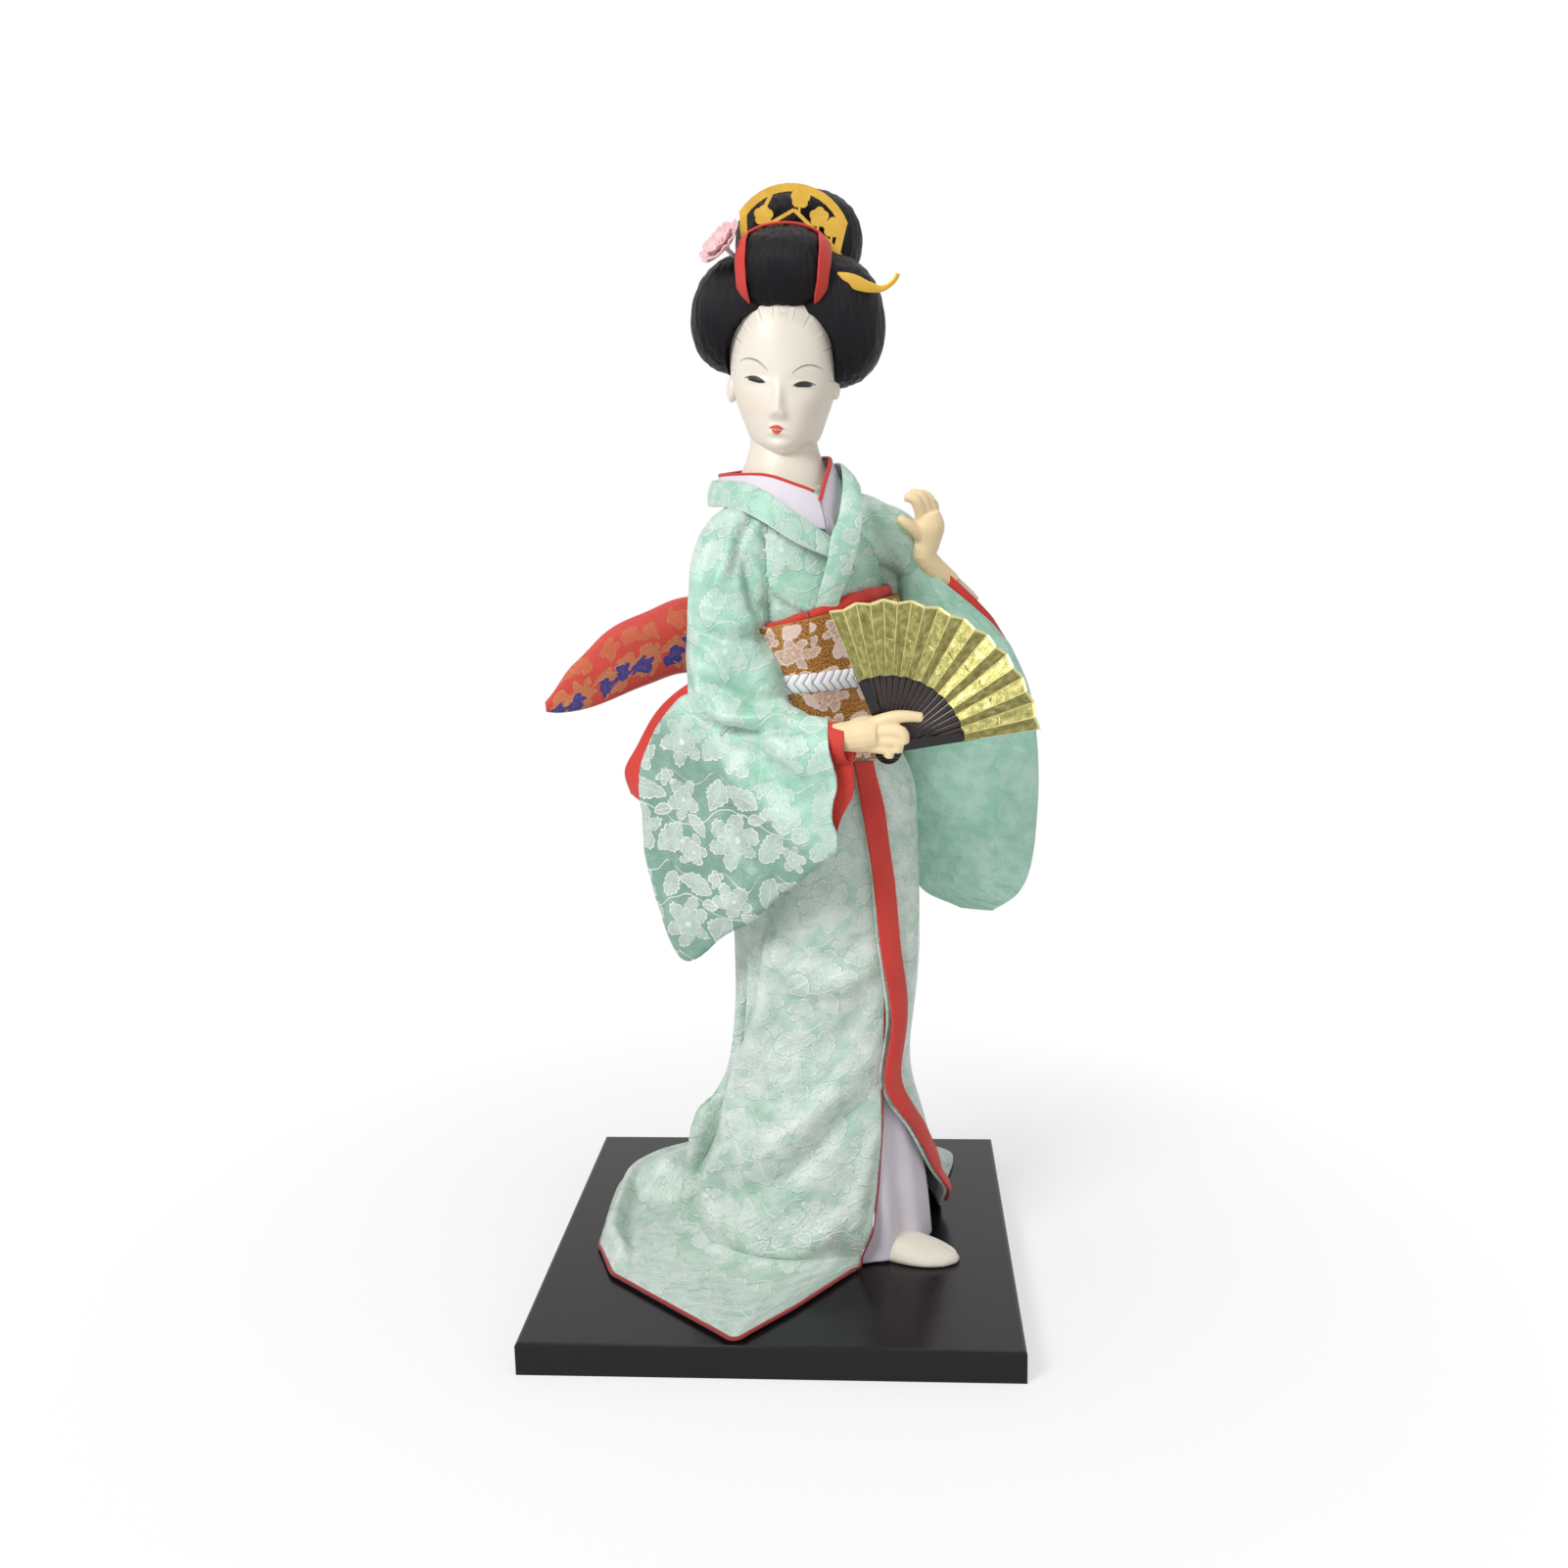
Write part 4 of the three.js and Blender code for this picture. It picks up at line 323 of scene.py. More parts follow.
def creased(points, normals, route, width, depth, side=-1):
    """A fold along a route of X and Z on the viewer's side; it sinks in where depth is negative."""
    route = spline(route, np.linspace(0, len(route) - 1, 14 * len(route)))
    gap = np.linalg.norm(points[:, None, [0, 2]] - route[None], axis=2)
    nearest = gap.argmin(axis=1)
    along = nearest / (len(route) - 1)
    fade = np.sqrt(np.clip(np.sin(math.pi * np.clip(along, 0.03, 0.97)), 0, 1))
    facing = smoothstep(side * normals[:, 1], 0.0, 0.5)
    depth = depth * (RAISED if depth > 0 else SUNK)
    amount = np.exp(-((gap.min(axis=1) / width) ** 2)) * fade * facing * depth
    return points + normals * amount[:, None]


def cut_cloth(width, length, share=1.0):
    """Reckons a sheet's area from its cut and keeps nothing of it; share is how much of that rectangle is
    cloth, where the cut tapers.
    """
    area = width * length * MM * MM * share
    width * MM
    length * MM


# Materials

class Wire:
    """A value in a node tree; what is reckoned with wires becomes Math nodes."""

    def __init__(self, graph, socket):
        self.graph, self.socket = graph, socket

    def __add__(self, other):
        return self.graph.math("ADD", self, other)

    def __radd__(self, other):
        return self.graph.math("ADD", other, self)

    def __sub__(self, other):
        return self.graph.math("SUBTRACT", self, other)

    def __rsub__(self, other):
        return self.graph.math("SUBTRACT", other, self)

    def __mul__(self, other):
        return self.graph.math("MULTIPLY", self, other)

    def __rmul__(self, other):
        return self.graph.math("MULTIPLY", other, self)

    def __abs__(self):
        return self.graph.math("ABSOLUTE", self)


class Graph:
    """Short names for the shader nodes of one material or group."""

    def __init__(self, tree):
        self.tree = tree

    def node(self, kind, values=(), **settings):
        made = self.tree.nodes.new("ShaderNode" + kind)
        for key, value in settings.items():
            setattr(made, key, value)
        for key, value in dict(values).items():
            self.put(made.inputs[key], value)
        return made

    def out(self, output, kind, values=(), **settings):
        return Wire(self, self.node(kind, values, **settings).outputs[output])

    def put(self, socket, value):
        if isinstance(value, Wire):
            self.tree.links.new(value.socket, socket)
        else:
            socket.default_value = value

    def set(self, name, value):
        """Sets one input of the material's own shader."""
        self.put(self.tree.nodes["Principled BSDF"].inputs[name], value)

    def math(self, operation, *values, clamp=False):
        return self.out(0, "Math", enumerate(values), operation=operation, use_clamp=clamp)

    def sin(self, value):
        return self.math("SINE", value)

    def root(self, value):
        return self.math("SQRT", value)

    def mod(self, value, step):
        return self.math("FLOORED_MODULO", value, step)

    def most(self, *values):
        kept = values[0]
        for value in values[1:]:
            kept = self.math("MAXIMUM", kept, value)
        return kept

    def below(self, value, limit, soft):
        """1 where value is under the limit, fading to 0 over soft."""
        return self.math("DIVIDE", limit - value, soft, clamp=True)

    def noise(self, vector, scale, detail=3.0, rough=0.5):
        values = {"Vector": vector, "Scale": scale, "Detail": detail, "Roughness": rough}
        return self.out("Fac", "TexNoise", values)

    def mix(self, share, a, b):
        return self.out(2, "Mix", {0: share, 6: a, 7: b}, data_type="RGBA")

    def ramp(self, value, stops):
        made = self.node("ValToRGB", {"Fac": value})
        while len(made.color_ramp.elements) < len(stops):
            made.color_ramp.elements.new(0.5)
        for element, (place, color) in zip(made.color_ramp.elements, stops):
            element.position = place
            element.color = color
        return Wire(self, made.outputs[0])

    def split(self, vector):
        parts = self.node("SeparateXYZ", {"Vector": vector})
        return Wire(self, parts.outputs["X"]), Wire(self, parts.outputs["Y"])

    def cloth(self):
        """The cloth coordinates in millimetres, as a vector and as its two parts."""
        uv = self.out("UV", "UVMap", uv_map="cloth")
        return uv, *self.split(uv)

    def where(self):
        return self.out("Object", "TexCoord")

    def mask(self, name):
        """What the mesh holds under a name, point by point."""
        return self.out("Fac", "Attribute", attribute_name=name)

    def stretched(self, vector, *scale):
        return self.out(0, "Mapping", {"Vector": vector, "Scale": scale})

    def shown_to(self, share, shader, other, output):
        """Mixes the tree's own shader with another and sends both to its output."""
        own = Wire(self, self.tree.nodes[shader].outputs[0])
        both = self.out(0, "MixShader", {0: share, 1: own, 2: other})
        self.put(self.tree.nodes[output].inputs["Surface"], both)

    def bumped(self, height, distance, strength=1.0):
        values = {"Height": height, "Distance": distance * MM, "Strength": strength}
        self.set("Normal", self.out("Normal", "Bump", values))


def rgb(red, green, blue):
    """A colour as the eye reads it, 0 to 255, in the renderer's linear values."""
    shares = [v / 255 for v in (red, green, blue)]
    return (*(v / 12.92 if v < 0.04045 else ((v + 0.055) / 1.055) ** 2.4 for v in shares), 1.0)


def material(name, build):
    made = bpy.data.materials.new(name)
    made.use_nodes = True
    build(Graph(made.node_tree))
    return made


def weave(graph, u, v, step):
    """Crossing threads of a plain weave, 0 to 1."""
    warp = graph.sin(u * (TURN / step))
    weft = graph.sin(v * (TURN / step))
    return warp * weft * 0.5 + 0.5


def turned(graph, x, y, centre, angle):
    """Coordinates round a centre, turned by an angle."""
    dx, dy = x - centre[0], y - centre[1]
    c, s = math.cos(angle), math.sin(angle)
    p = dx * c + dy * s
    q = dy * c - dx * s
    return p, q


def flower_mask(graph, x, y, centre, radius, petals, angle, line):
    """A round blossom: outlined petals in two rings, petal veins and a filled heart."""
    p, q = turned(graph, x, y, centre, angle)
    reach = graph.root(p * p + q * q)
    way = graph.math("ARCTAN2", q, p)
    lobes = graph.math("POWER", abs(graph.math("COSINE", way * (petals / 2))), 0.85)
    ragged = graph.sin(way * (petals * 5)) * 0.03
    edge = (lobes * 0.5 + 0.5 + ragged) * radius
    outline = graph.below(abs(reach - edge), line, line * 0.5)
    second = graph.below(abs(reach - edge * 0.84), line * 0.5, line * 0.4)
    outline = graph.most(outline, second)
    turned_way = way * (petals / 2) + math.pi / 2
    inner_lobes = abs(graph.math("COSINE", turned_way))
    inner_edge = (inner_lobes * 0.2 + 0.36) * radius
    inner = graph.below(abs(reach - inner_edge), line * 0.8, line * 0.4)
    veins = graph.below(abs(graph.sin(way * (petals * 2.5))), 0.34, 0.24)
    inside = graph.below(reach, edge * 0.86, line) * graph.below(inner_edge, reach, line)
    heart = graph.below(reach, radius * 0.15, line * 0.5)
    fill = graph.below(reach, edge, line) * 0.5
    return graph.most(outline, inner, veins * inside * 0.85, heart, fill)


def leaf_mask(graph, x, y, centre, length, width, angle, line, filled):
    """A pointed leaf: outline, midrib and slanting side veins."""
    p, q = turned(graph, x, y, centre, angle)
    along = graph.math("DIVIDE", p, length)
    saw = abs(graph.sin(p * (6.0 / width))) * 0.22 + 0.84
    breadth = (1.0 - along * along) * width * saw
    side = abs(q)
    outline = graph.below(abs(side - breadth), line, line * 0.5)
    within = graph.below(side, breadth, line * 0.5)
    rib = graph.below(side, line * 0.7, line * 0.4) * graph.below(abs(p), length, line)
    slant = graph.sin(p * (5.2 / width) + side * (-3.6 / width))
    veins = graph.below(abs(slant), 0.3, 0.25) * within
    near = graph.below(abs(along), 1.0, 0.02)
    return graph.most(outline, rib, veins * 0.85, within * filled) * near


def motifs(graph, x, y, line, flowers=(), leaves=(), leaf_fill=0.46):
    """One mask of blossoms (place, radius, petals, angle) and leaves (place, length, width, angle)."""
    made = [flower_mask(graph, x, y, *flower, line) for flower in flowers]
    made += [leaf_mask(graph, x, y, *leaf, line, leaf_fill) for leaf in leaves]
    return graph.most(*made)


def stem_mask(graph, x, y, height, sway, length, line):
    """A thin winding stem that runs on from tile to tile."""
    wave = graph.sin(x * (TURN / length)) * sway
    return graph.below(abs(y - (wave + height)), line * 0.8, line * 0.5) * 0.8


def tiled(graph, u, v, width, height):
    """Coordinates inside one repeat of the pattern, each second row moved by half a repeat."""
    row = graph.math("FLOOR", graph.math("DIVIDE", v, height))
    shift = graph.math("MODULO", abs(row), 2.0) * (width / 2)
    x = graph.mod(u + shift, width)
    y = graph.mod(v, height)
    return x, y


def swaying(graph, uv, scale):
    """Slow noise as a colour, which moves places sideways."""
    return graph.out("Color", "TexNoise", {"Vector": uv, "Scale": scale, "Detail": 1.0})


def kimono_pattern():
    """The jacquard of the kimono as a group: cloth coordinates in millimetres to a thread mask."""
    group = bpy.data.node_groups.new("kimono_pattern", "ShaderNodeTree")
    group.interface.new_socket("Vector", in_out="INPUT", socket_type="NodeSocketVector")
    group.interface.new_socket("Thread", in_out="OUTPUT", socket_type="NodeSocketFloat")
    graph = Graph(group)
    source = Wire(graph, group.nodes.new("NodeGroupInput").outputs["Vector"])
    moved = graph.out(0, "VectorMath", {0: swaying(graph, source, 0.09), 1: (6.0, 6.0, 0), 2: source},
                      operation="MULTIPLY_ADD")
    x, y = tiled(graph, *graph.split(graph.stretched(moved, 1.15, 1.15, 1.0)), 35.0, 29.0)
    line = 0.46
    flowers = [
        ((9.5, 9.8), 8.4, 6, 0.3), ((26.0, 20.0), 6.3, 5, 0.9),
        ((30.2, 5.4), 4.7, 5, 0.1), ((20.2, 26.4), 3.0, 5, 0.5),
    ]
    leaves = [
        ((21.8, 8.2), 6.4, 3.6, 0.9), ((13.0, 23.0), 6.4, 3.5, -0.35), ((3.9, 22.6), 5.2, 3.0, 1.2),
        ((32.0, 13.4), 4.2, 2.2, 2.6), ((18.4, 16.4), 3.6, 1.9, 0.2),
    ]
    stems = [stem_mask(graph, x, y, *stem, line) for stem in ((15.6, 3.2, 35.0), (26.8, 2.4, 17.5))]
    out = group.nodes.new("NodeGroupOutput")
    graph.put(out.inputs["Thread"], graph.most(motifs(graph, x, y, line, flowers, leaves), *stems))
    return group


PATTERN = kimono_pattern()


def pattern_of(graph, group, vector):
    made = graph.tree.nodes.new("ShaderNodeGroup")
    made.node_tree = group
    graph.put(made.inputs["Vector"], vector)
    return Wire(graph, made.outputs[0])


def mint_brocade(name, shade, ground, lit, contrast=1.0, satin=None):
    """Satin with woven motifs. shade, ground and lit are a painted shade, the plain ground and a painted
    satin sheen, mottled over the cloth by broad noise, and satin is a paler trio of the same kind for the
    parts that the mesh's own mask names."""
    def build(graph):
        uv, u, v = graph.cloth()
        threads = pattern_of(graph, PATTERN, uv) * contrast
        broad = graph.noise(uv, 0.06, 3.0, 0.55)
        fine = graph.noise(uv, 2.1, 4.0)
        sheen_noise = graph.noise(uv, 0.24, 4.0)
        # Broad noise mottles painted shade and painted satin sheen through the cloth's own colour.
        shade_and_sheen = broad * 0.62 + sheen_noise * 0.38
        stops = (0.36, 0.5, 0.62)
        base = graph.ramp(shade_and_sheen, list(zip(stops, (shade, ground, lit))))
        if satin:
            mask = graph.mask("satin")
            base = graph.mix(mask, base, graph.ramp(shade_and_sheen, list(zip(stops, satin))))
            threads = threads * (1.0 - mask * 0.38)
        base = graph.mix(fine * 0.2, base, WHITE_SILK)
        patches = graph.noise(uv, 0.045, 1.0) * 1.6 + -0.25
        # Painted glint: noise makes the white threads brighter or fainter to stand in for their sheen; the
        # white thread pattern itself is real.
        glint = threads * (fine * 0.5 + (sheen_noise + patches) * 0.65)
        glint = graph.math("MINIMUM", glint, 0.97)
        graph.set("Base Color", graph.mix(glint, base, WHITE_SILK))
        rough = threads * 0.18 + (fine * 0.12 + 0.22)
        graph.set("Roughness", rough)
        graph.set("Sheen Weight", 0.1)
        graph.set("Specular IOR Level", 0.75)
        height = threads * 1.0 + weave(graph, u, v, 0.42) * 0.15
        height = height + (graph.noise(uv, 0.5, 3.0) * 1.1 + sheen_noise * 1.6)
        graph.bumped(height, 0.24, 1.0)
    return material(name, build)


def plain_cloth(name, color, second, step=0.5, rough=0.75, sheen=0.3):
    def build(graph):
        uv, u, v = graph.cloth()
        soft = graph.noise(uv, 0.12, 3.0)
        fine = graph.noise(uv, 2.4, 2.0)
        share = soft * 0.7 + fine * 0.3
        graph.set("Base Color", graph.mix(share, color, second))
        graph.set("Roughness", fine * 0.15 + (rough - 0.07))
        graph.set("Sheen Weight", sheen)
        height = weave(graph, u, v, step) + soft * 1.2
        graph.bumped(height, 0.1, 0.7)
    return material(name, build)


def lacquer():
    def build(graph):
        where = graph.where()
        dust = graph.noise(where, 900.0, 2.0)
        haze = graph.noise(where, 22.0, 3.0)
        graph.set("Base Color", graph.mix(haze * 0.8, rgb(17, 14, 17), rgb(29, 25, 29)))
        graph.set("Roughness", haze * 0.1 + (dust * 0.14 + 0.12))
        graph.bumped(dust + haze * 3.0, 0.02, 0.35)
        graph.set("Specular IOR Level", 0.26)
    return material("black_lacquer", build)


def painted(name, color, second, rough, masks=()):
    """Matt paint, with marks painted over it where the mesh's own masks say."""
    def build(graph):
        where = graph.where()
        cloudy = graph.noise(where, 90.0, 4.0)
        grain = graph.noise(where, 2600.0, 2.0)
        tone = graph.mix(cloudy, color, second)
        for mask, mark in masks:
            share = graph.mask(mask)
            tone = graph.mix(share, tone, mark)
        graph.set("Base Color", tone)
        graph.set("Roughness", grain * 0.12 + (rough - 0.06))
        graph.bumped(grain, 0.02, 0.3)
        graph.set("Subsurface Weight", 0.08)
        graph.set("Subsurface Scale", 0.0015)
    return material(name, build)


def wood(name, color, second):
    def build(graph):
        where = graph.where()
        stretched = graph.stretched(where, 1.0, 1.0, 0.06)
        grain = graph.noise(stretched, 900.0, 5.0)
        graph.set("Base Color", graph.mix(grain, color, second))
        graph.set("Roughness", grain * 0.2 + 0.5)
        graph.bumped(grain, 0.05, 0.5)
    return material(name, build)


def hair_material():
    def build(graph):
        uv, _, _ = graph.cloth()
        combed = graph.stretched(uv, 5.5, 0.22, 1.0)
        strands = graph.noise(combed, 1.0, 5.0, 0.65)
        locks = graph.noise(graph.stretched(uv, 0.8, 0.09, 1.0), 1.0, 2.0)
        graph.set("Base Color", graph.ramp(strands, [(0.3, rgb(4, 3, 6)), (0.8, rgb(25, 20, 27))]))
        graph.set("Roughness", strands * 0.25 + 0.3)
        height = strands + locks * 1.4
        graph.bumped(height, 0.22, 0.9)
        graph.set("Specular IOR Level", 0.17)
    return material("black_hair", build)


def metal(name, color, second, rough, metallic=1.0):
    def build(graph):
        where = graph.where()
        cloudy = graph.noise(where, 260.0, 4.0)
        graph.set("Base Color", graph.mix(cloudy, color, second))
        graph.set("Metallic", metallic)
        graph.set("Roughness", cloudy * 0.2 + (rough - 0.1))
        graph.bumped(cloudy, 0.06, 0.5)
    return material(name, build)


WHITE_SILK = rgb(234, 242, 236)
# Each trio is a painted shade, the plain ground and a painted satin sheen of one cloth.
SATIN = (rgb(136, 196, 170), rgb(156, 210, 186), rgb(184, 226, 208))
MINT = mint_brocade("mint_brocade", *SATIN, 0.7)
SKIRT_SATIN = (rgb(150, 190, 170), rgb(182, 208, 192), rgb(208, 221, 211))
SLEEVE_SATIN = (rgb(90, 140, 119), rgb(104, 154, 133), rgb(122, 170, 149))
BACK_SATIN = (rgb(126, 190, 166), rgb(146, 205, 181), rgb(168, 218, 196))
MINT_SKIRT = mint_brocade("mint_brocade_skirt", *SKIRT_SATIN, 0.72)
MINT_SLEEVE = mint_brocade("mint_brocade_sleeve", *SLEEVE_SATIN, 1.1, SATIN)
MINT_BACK = mint_brocade("mint_satin_back", *BACK_SATIN, 0.2)
RED = plain_cloth("red_silk", rgb(200, 36, 28), rgb(219, 64, 48), 0.5, 0.62, 0.12)
DARK_RED = plain_cloth("red_hem_silk", rgb(138, 20, 22), rgb(172, 38, 34), 0.4, 0.6, 0.3)
WHITE = plain_cloth("white_cloth", rgb(230, 219, 232), rgb(244, 240, 248), 0.45, 0.8, 0.2)
TABI = plain_cloth("tabi_cloth", rgb(240, 233, 212), rgb(248, 243, 228), 0.4, 0.85, 0.2)
PIPING = plain_cloth("white_piping", rgb(232, 240, 236), rgb(248, 252, 250), 0.4, 0.6, 0.2)


def braided():
    """Flat white braid: slanting stitches that meet in chevrons, with painted shade where they dip."""
    def build(graph):
        uv, u, v = graph.cloth()
        stitch = abs(graph.sin((u + v * 0.75) * math.pi))
        fine = graph.noise(uv, 9.0, 2.0)
        tone = graph.root(stitch) + fine * 0.15
        # Painted shade: the stitches' dips are shown grey, and the same tone lifts the bump.
        graph.set("Base Color", graph.ramp(tone, [(0.3, rgb(150, 152, 166)), (0.85, rgb(246, 246, 250))]))
        graph.set("Roughness", fine * 0.2 + 0.6)
        graph.bumped(tone, 0.1, 0.6)
    return material("white_braid", build)


BRAID = braided()
HAIR = hair_material()
LACQUER = lacquer()
GILT = metal("gilt", rgb(196, 148, 44), rgb(222, 182, 84), 0.4, 0.7)
GUARD = painted("black_guard", rgb(12, 8, 9), rgb(22, 15, 16), 0.14)


def stick_lacquer():
    """Black lacquer over fine sticks that fan out side by side, with painted shade in the gaps between
    them.
    """
    def build(graph):
        uv, u, _ = graph.cloth()
        ribs = abs(graph.sin(u * math.pi))
        gap = graph.below(ribs, 0.35, 0.3)
        grain = graph.noise(uv, 1.4, 3.0)
        tone = graph.mix(grain, rgb(30, 20, 21), rgb(58, 40, 38))
        # Painted shade: the gaps between the sticks are darkened.
        graph.set("Base Color", graph.mix(gap, tone, rgb(6, 4, 4)))
        graph.set("Roughness", grain * 0.15 + 0.2)
        graph.bumped(graph.root(ribs), 0.5, 1.0)
    return material("black_sticks", build)


def foil_paper():
    """Crinkled gold foil on pleated paper, with a painted highlight along the pleats' ridges; its border is
    a paler gold.
    """
    def build(graph):
        uv, u, v = graph.cloth()
        fold = graph.mod(u + 0.5, 1.0)
        ridge = graph.below(abs(fold - 0.5), 0.07, 0.06)
        spread = graph.stretched(uv, 1.6, 0.35, 1.0)
        cloudy = graph.noise(spread, 1.3, 4.0)
        flecks = graph.noise(spread, 6.0, 3.0)
        stops = [(0.3, rgb(116, 110, 58)), (0.52, rgb(152, 146, 84)), (0.72, rgb(190, 186, 130))]
        gold = graph.ramp(cloudy, stops)
        gold = graph.mix(flecks * 0.25, gold, rgb(106, 94, 48))
        rim = graph.below(FAN_RADIUS - v, 0.8, 0.4)
        # The ridges' pale gold is a painted highlight; the border's band is its own paler gold.
        gold = graph.mix(graph.most(ridge, rim) * 0.85, gold, rgb(236, 226, 160))
        graph.set("Base Color", gold)
        graph.set("Metallic", 0.62)
        graph.set("Roughness", flecks * 0.22 + 0.28)
        height = ridge * 0.6 + (cloudy + flecks * 0.3)
        graph.bumped(height, 0.16, 0.8)
    return material("gold_foil", build)


FOIL = foil_paper()
STICKS = stick_lacquer()
PEACH = painted("hand_paint", rgb(240, 214, 168), rgb(246, 224, 182), 0.5)
BARE_WOOD = wood("bare_wood", rgb(196, 160, 108), rgb(222, 190, 140))
STRAW = wood("bound_straw", rgb(196, 172, 104), rgb(220, 202, 144))
PAPER = plain_cloth("paper_wrap", rgb(226, 214, 186), rgb(240, 230, 206), 0.9, 0.85, 0.0)


def bent(graph, uv, scale, reach):
    """Cloth coordinates bent by slow noise, so that the repeats of a pattern differ."""
    sway = swaying(graph, uv, scale)
    moved = graph.out(0, "VectorMath", {0: sway, 1: (reach, reach, 0), 2: uv}, operation="MULTIPLY_ADD")
    x, y = graph.split(moved)
    return x, y - reach / 2


def gold_brocade():
    def build(graph):
        uv, _, v = graph.cloth()
        x, y = tiled(graph, *bent(graph, uv, 0.2, 3.0), 15.0, 12.5)
        flowers = [((4.6, 4.4), 4.4, 6, 0.2), ((11.6, 8.6), 3.4, 5, 0.8)]
        leaves = [((9.9, 3.2), 2.6, 1.3, 0.7), ((4.6, 10.2), 2.8, 1.3, -0.3)]
        pale = motifs(graph, x, y, 0.42, flowers, leaves, 0.85)
        grain = graph.noise(uv, 2.6, 3.0)
        ribs = graph.sin(v * (TURN / 0.5))
        stops = [(0.34, rgb(84, 40, 16)), (0.5, rgb(164, 108, 40)), (0.66, rgb(214, 168, 92))]
        gold = graph.ramp(grain, stops)
        flecks = graph.below(graph.noise(uv, 0.9, 1.0), 0.36, 0.05)
        gold = graph.mix(flecks * 0.7, gold, rgb(176, 40, 30))
        graph.set("Base Color", graph.mix(pale * 0.95, gold, rgb(238, 214, 204)))
        graph.set("Metallic", (1.0 - pale) * 0.35)
        graph.set("Roughness", grain * 0.25 + 0.38)
        height = pale * 0.8 + (ribs * 0.2 + grain)
        graph.bumped(height, 0.14, 0.9)
    return material("gold_brocade", build)


def red_brocade():
    """Red silk with a band of blue and gold flowers along its lower half and fine gold sprays above it."""
    def build(graph):
        uv, u, v = graph.cloth()
        bent_u, v = bent(graph, uv, 0.22, 6.0)
        x = graph.mod(bent_u, 19.0)
        large = [((4.5, -3.2), 4.8, 6, 0.2), ((13.2, -4.6), 4.4, 5, 0.6)]
        between = [((9.0, -0.6), 3.6, 1.3, 0.5), ((17.0, -1.6), 3.0, 1.2, -0.5)]
        above = [((4.0, 4.8), 3.8, 1.6, 0.9), ((9.5, 5.6), 4.2, 1.5, 0.4), ((15.0, 5.0), 3.8, 1.7, 1.3)]
        small = [((6.2, -3.8), 2.5, 5, 0.4), ((11.4, -3.0), 2.3, 5, 0.9), ((16.0, -5.2), 2.0, 5, 0.1)]
        gold = motifs(graph, x, v, 0.3, large)
        gold = graph.most(gold, motifs(graph, x, v, 0.25, leaves=between))
        sprays = motifs(graph, x, v, 0.18, leaves=above)
        blue = motifs(graph, x, v, 0.5, small)
        grain = graph.noise(uv, 2.2, 3.0)
        base = graph.mix(grain, rgb(192, 42, 34), rgb(222, 78, 60))
        base = graph.mix(sprays * 0.55, base, rgb(206, 150, 84))
        base = graph.mix(gold * 0.85, base, rgb(196, 146, 92))
        base = graph.mix(graph.math("MINIMUM", blue * 1.7, 1.0), base, rgb(40, 44, 132))
        graph.set("Base Color", base)
        graph.set("Roughness", grain * 0.2 + 0.5)
        graph.set("Sheen Weight", 0.3)
        height = graph.most(gold, blue, sprays) + weave(graph, u, v, 0.5) * 0.5
        graph.bumped(height, 0.12, 0.8)
    return material("red_brocade", build)


GOLD_BROCADE = gold_brocade()
RED_BROCADE = red_brocade()


# CAD pieces that show as they are

def dress(node, finish):
    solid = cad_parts[node]
    solid.data.materials.clear()
    solid.data.materials.append(finish)
    return solid


def rounded(node, finish, width):
    solid = dress(node, finish)
    edge = solid.modifiers.new("soft_edges", "BEVEL")
    edge.width = width * MM
    edge.segments = 3
    edge.limit_method = "ANGLE"
    edge.angle_limit = math.radians(40)
    return solid


rounded("base_board", LACQUER, 0.3)
for each in ("leg_dowel_left", "leg_dowel_right", "neck_peg"):
    dress(each, BARE_WOOD)
dress("torso_core", STRAW)
dress("tabi_foot_right", TABI)
for each in ("arm_wire_left", "arm_wire_right"):
    dress(each, PAPER)
rounded("comb", GILT, 0.2)
for each in ("fan_guard_lower", "fan_guard_upper"):
    rounded(each, GUARD, 0.15)
rounded("fan_rivet", GILT, 0.15)


# Torso

# The torso from below: height, centre X and Y, half width and half depth, as shares of its length.
TORSO = [
    [-0.187, 0, 0, 0.26, 0.213], [0.027, 0, 0, 0.267, 0.22], [0.293, -0.007, 0, 0.26, 0.22],
    [0.56, -0.02, 0, 0.273, 0.227], [0.747, -0.053, 0, 0.287, 0.22],
    [0.867, -0.08, 0, 0.273, 0.193], [0.947, -0.093, 0, 0.233, 0.173], [1, -0.107, 0, 0.18, 0.173],
]


def torso_point(angle, height, lift):
    """Places round the torso, lifted off its surface."""
    shares = (height - WAIST_Z) / TORSO_LENGTH
    row = spline(TORSO, place_in(TORSO, shares))
    x, y, half_x, half_y = [row[..., n] * TORSO_LENGTH for n in range(1, 5)]
    return oval(WAIST[0] + x, WAIST[1] + y, height, half_x, half_y, -TORSO_YAW, angle, lift)


def torso_band(low, high, lift, tilt_low=0.0, tilt_high=0.0, rows=40, columns=160):
    """A closed band round the torso between two heights, tilted from side to side."""
    angle = full_turn(columns)
    share = np.linspace(0, 1, rows)[:, None]
    tilt = tilt_low + (tilt_high - tilt_low) * share
    height = low + (high - low) * share - np.sin(angle) * 0.27 * TORSO_LENGTH * tilt
    return torso_point(np.broadcast_to(angle, height.shape), height, lift)


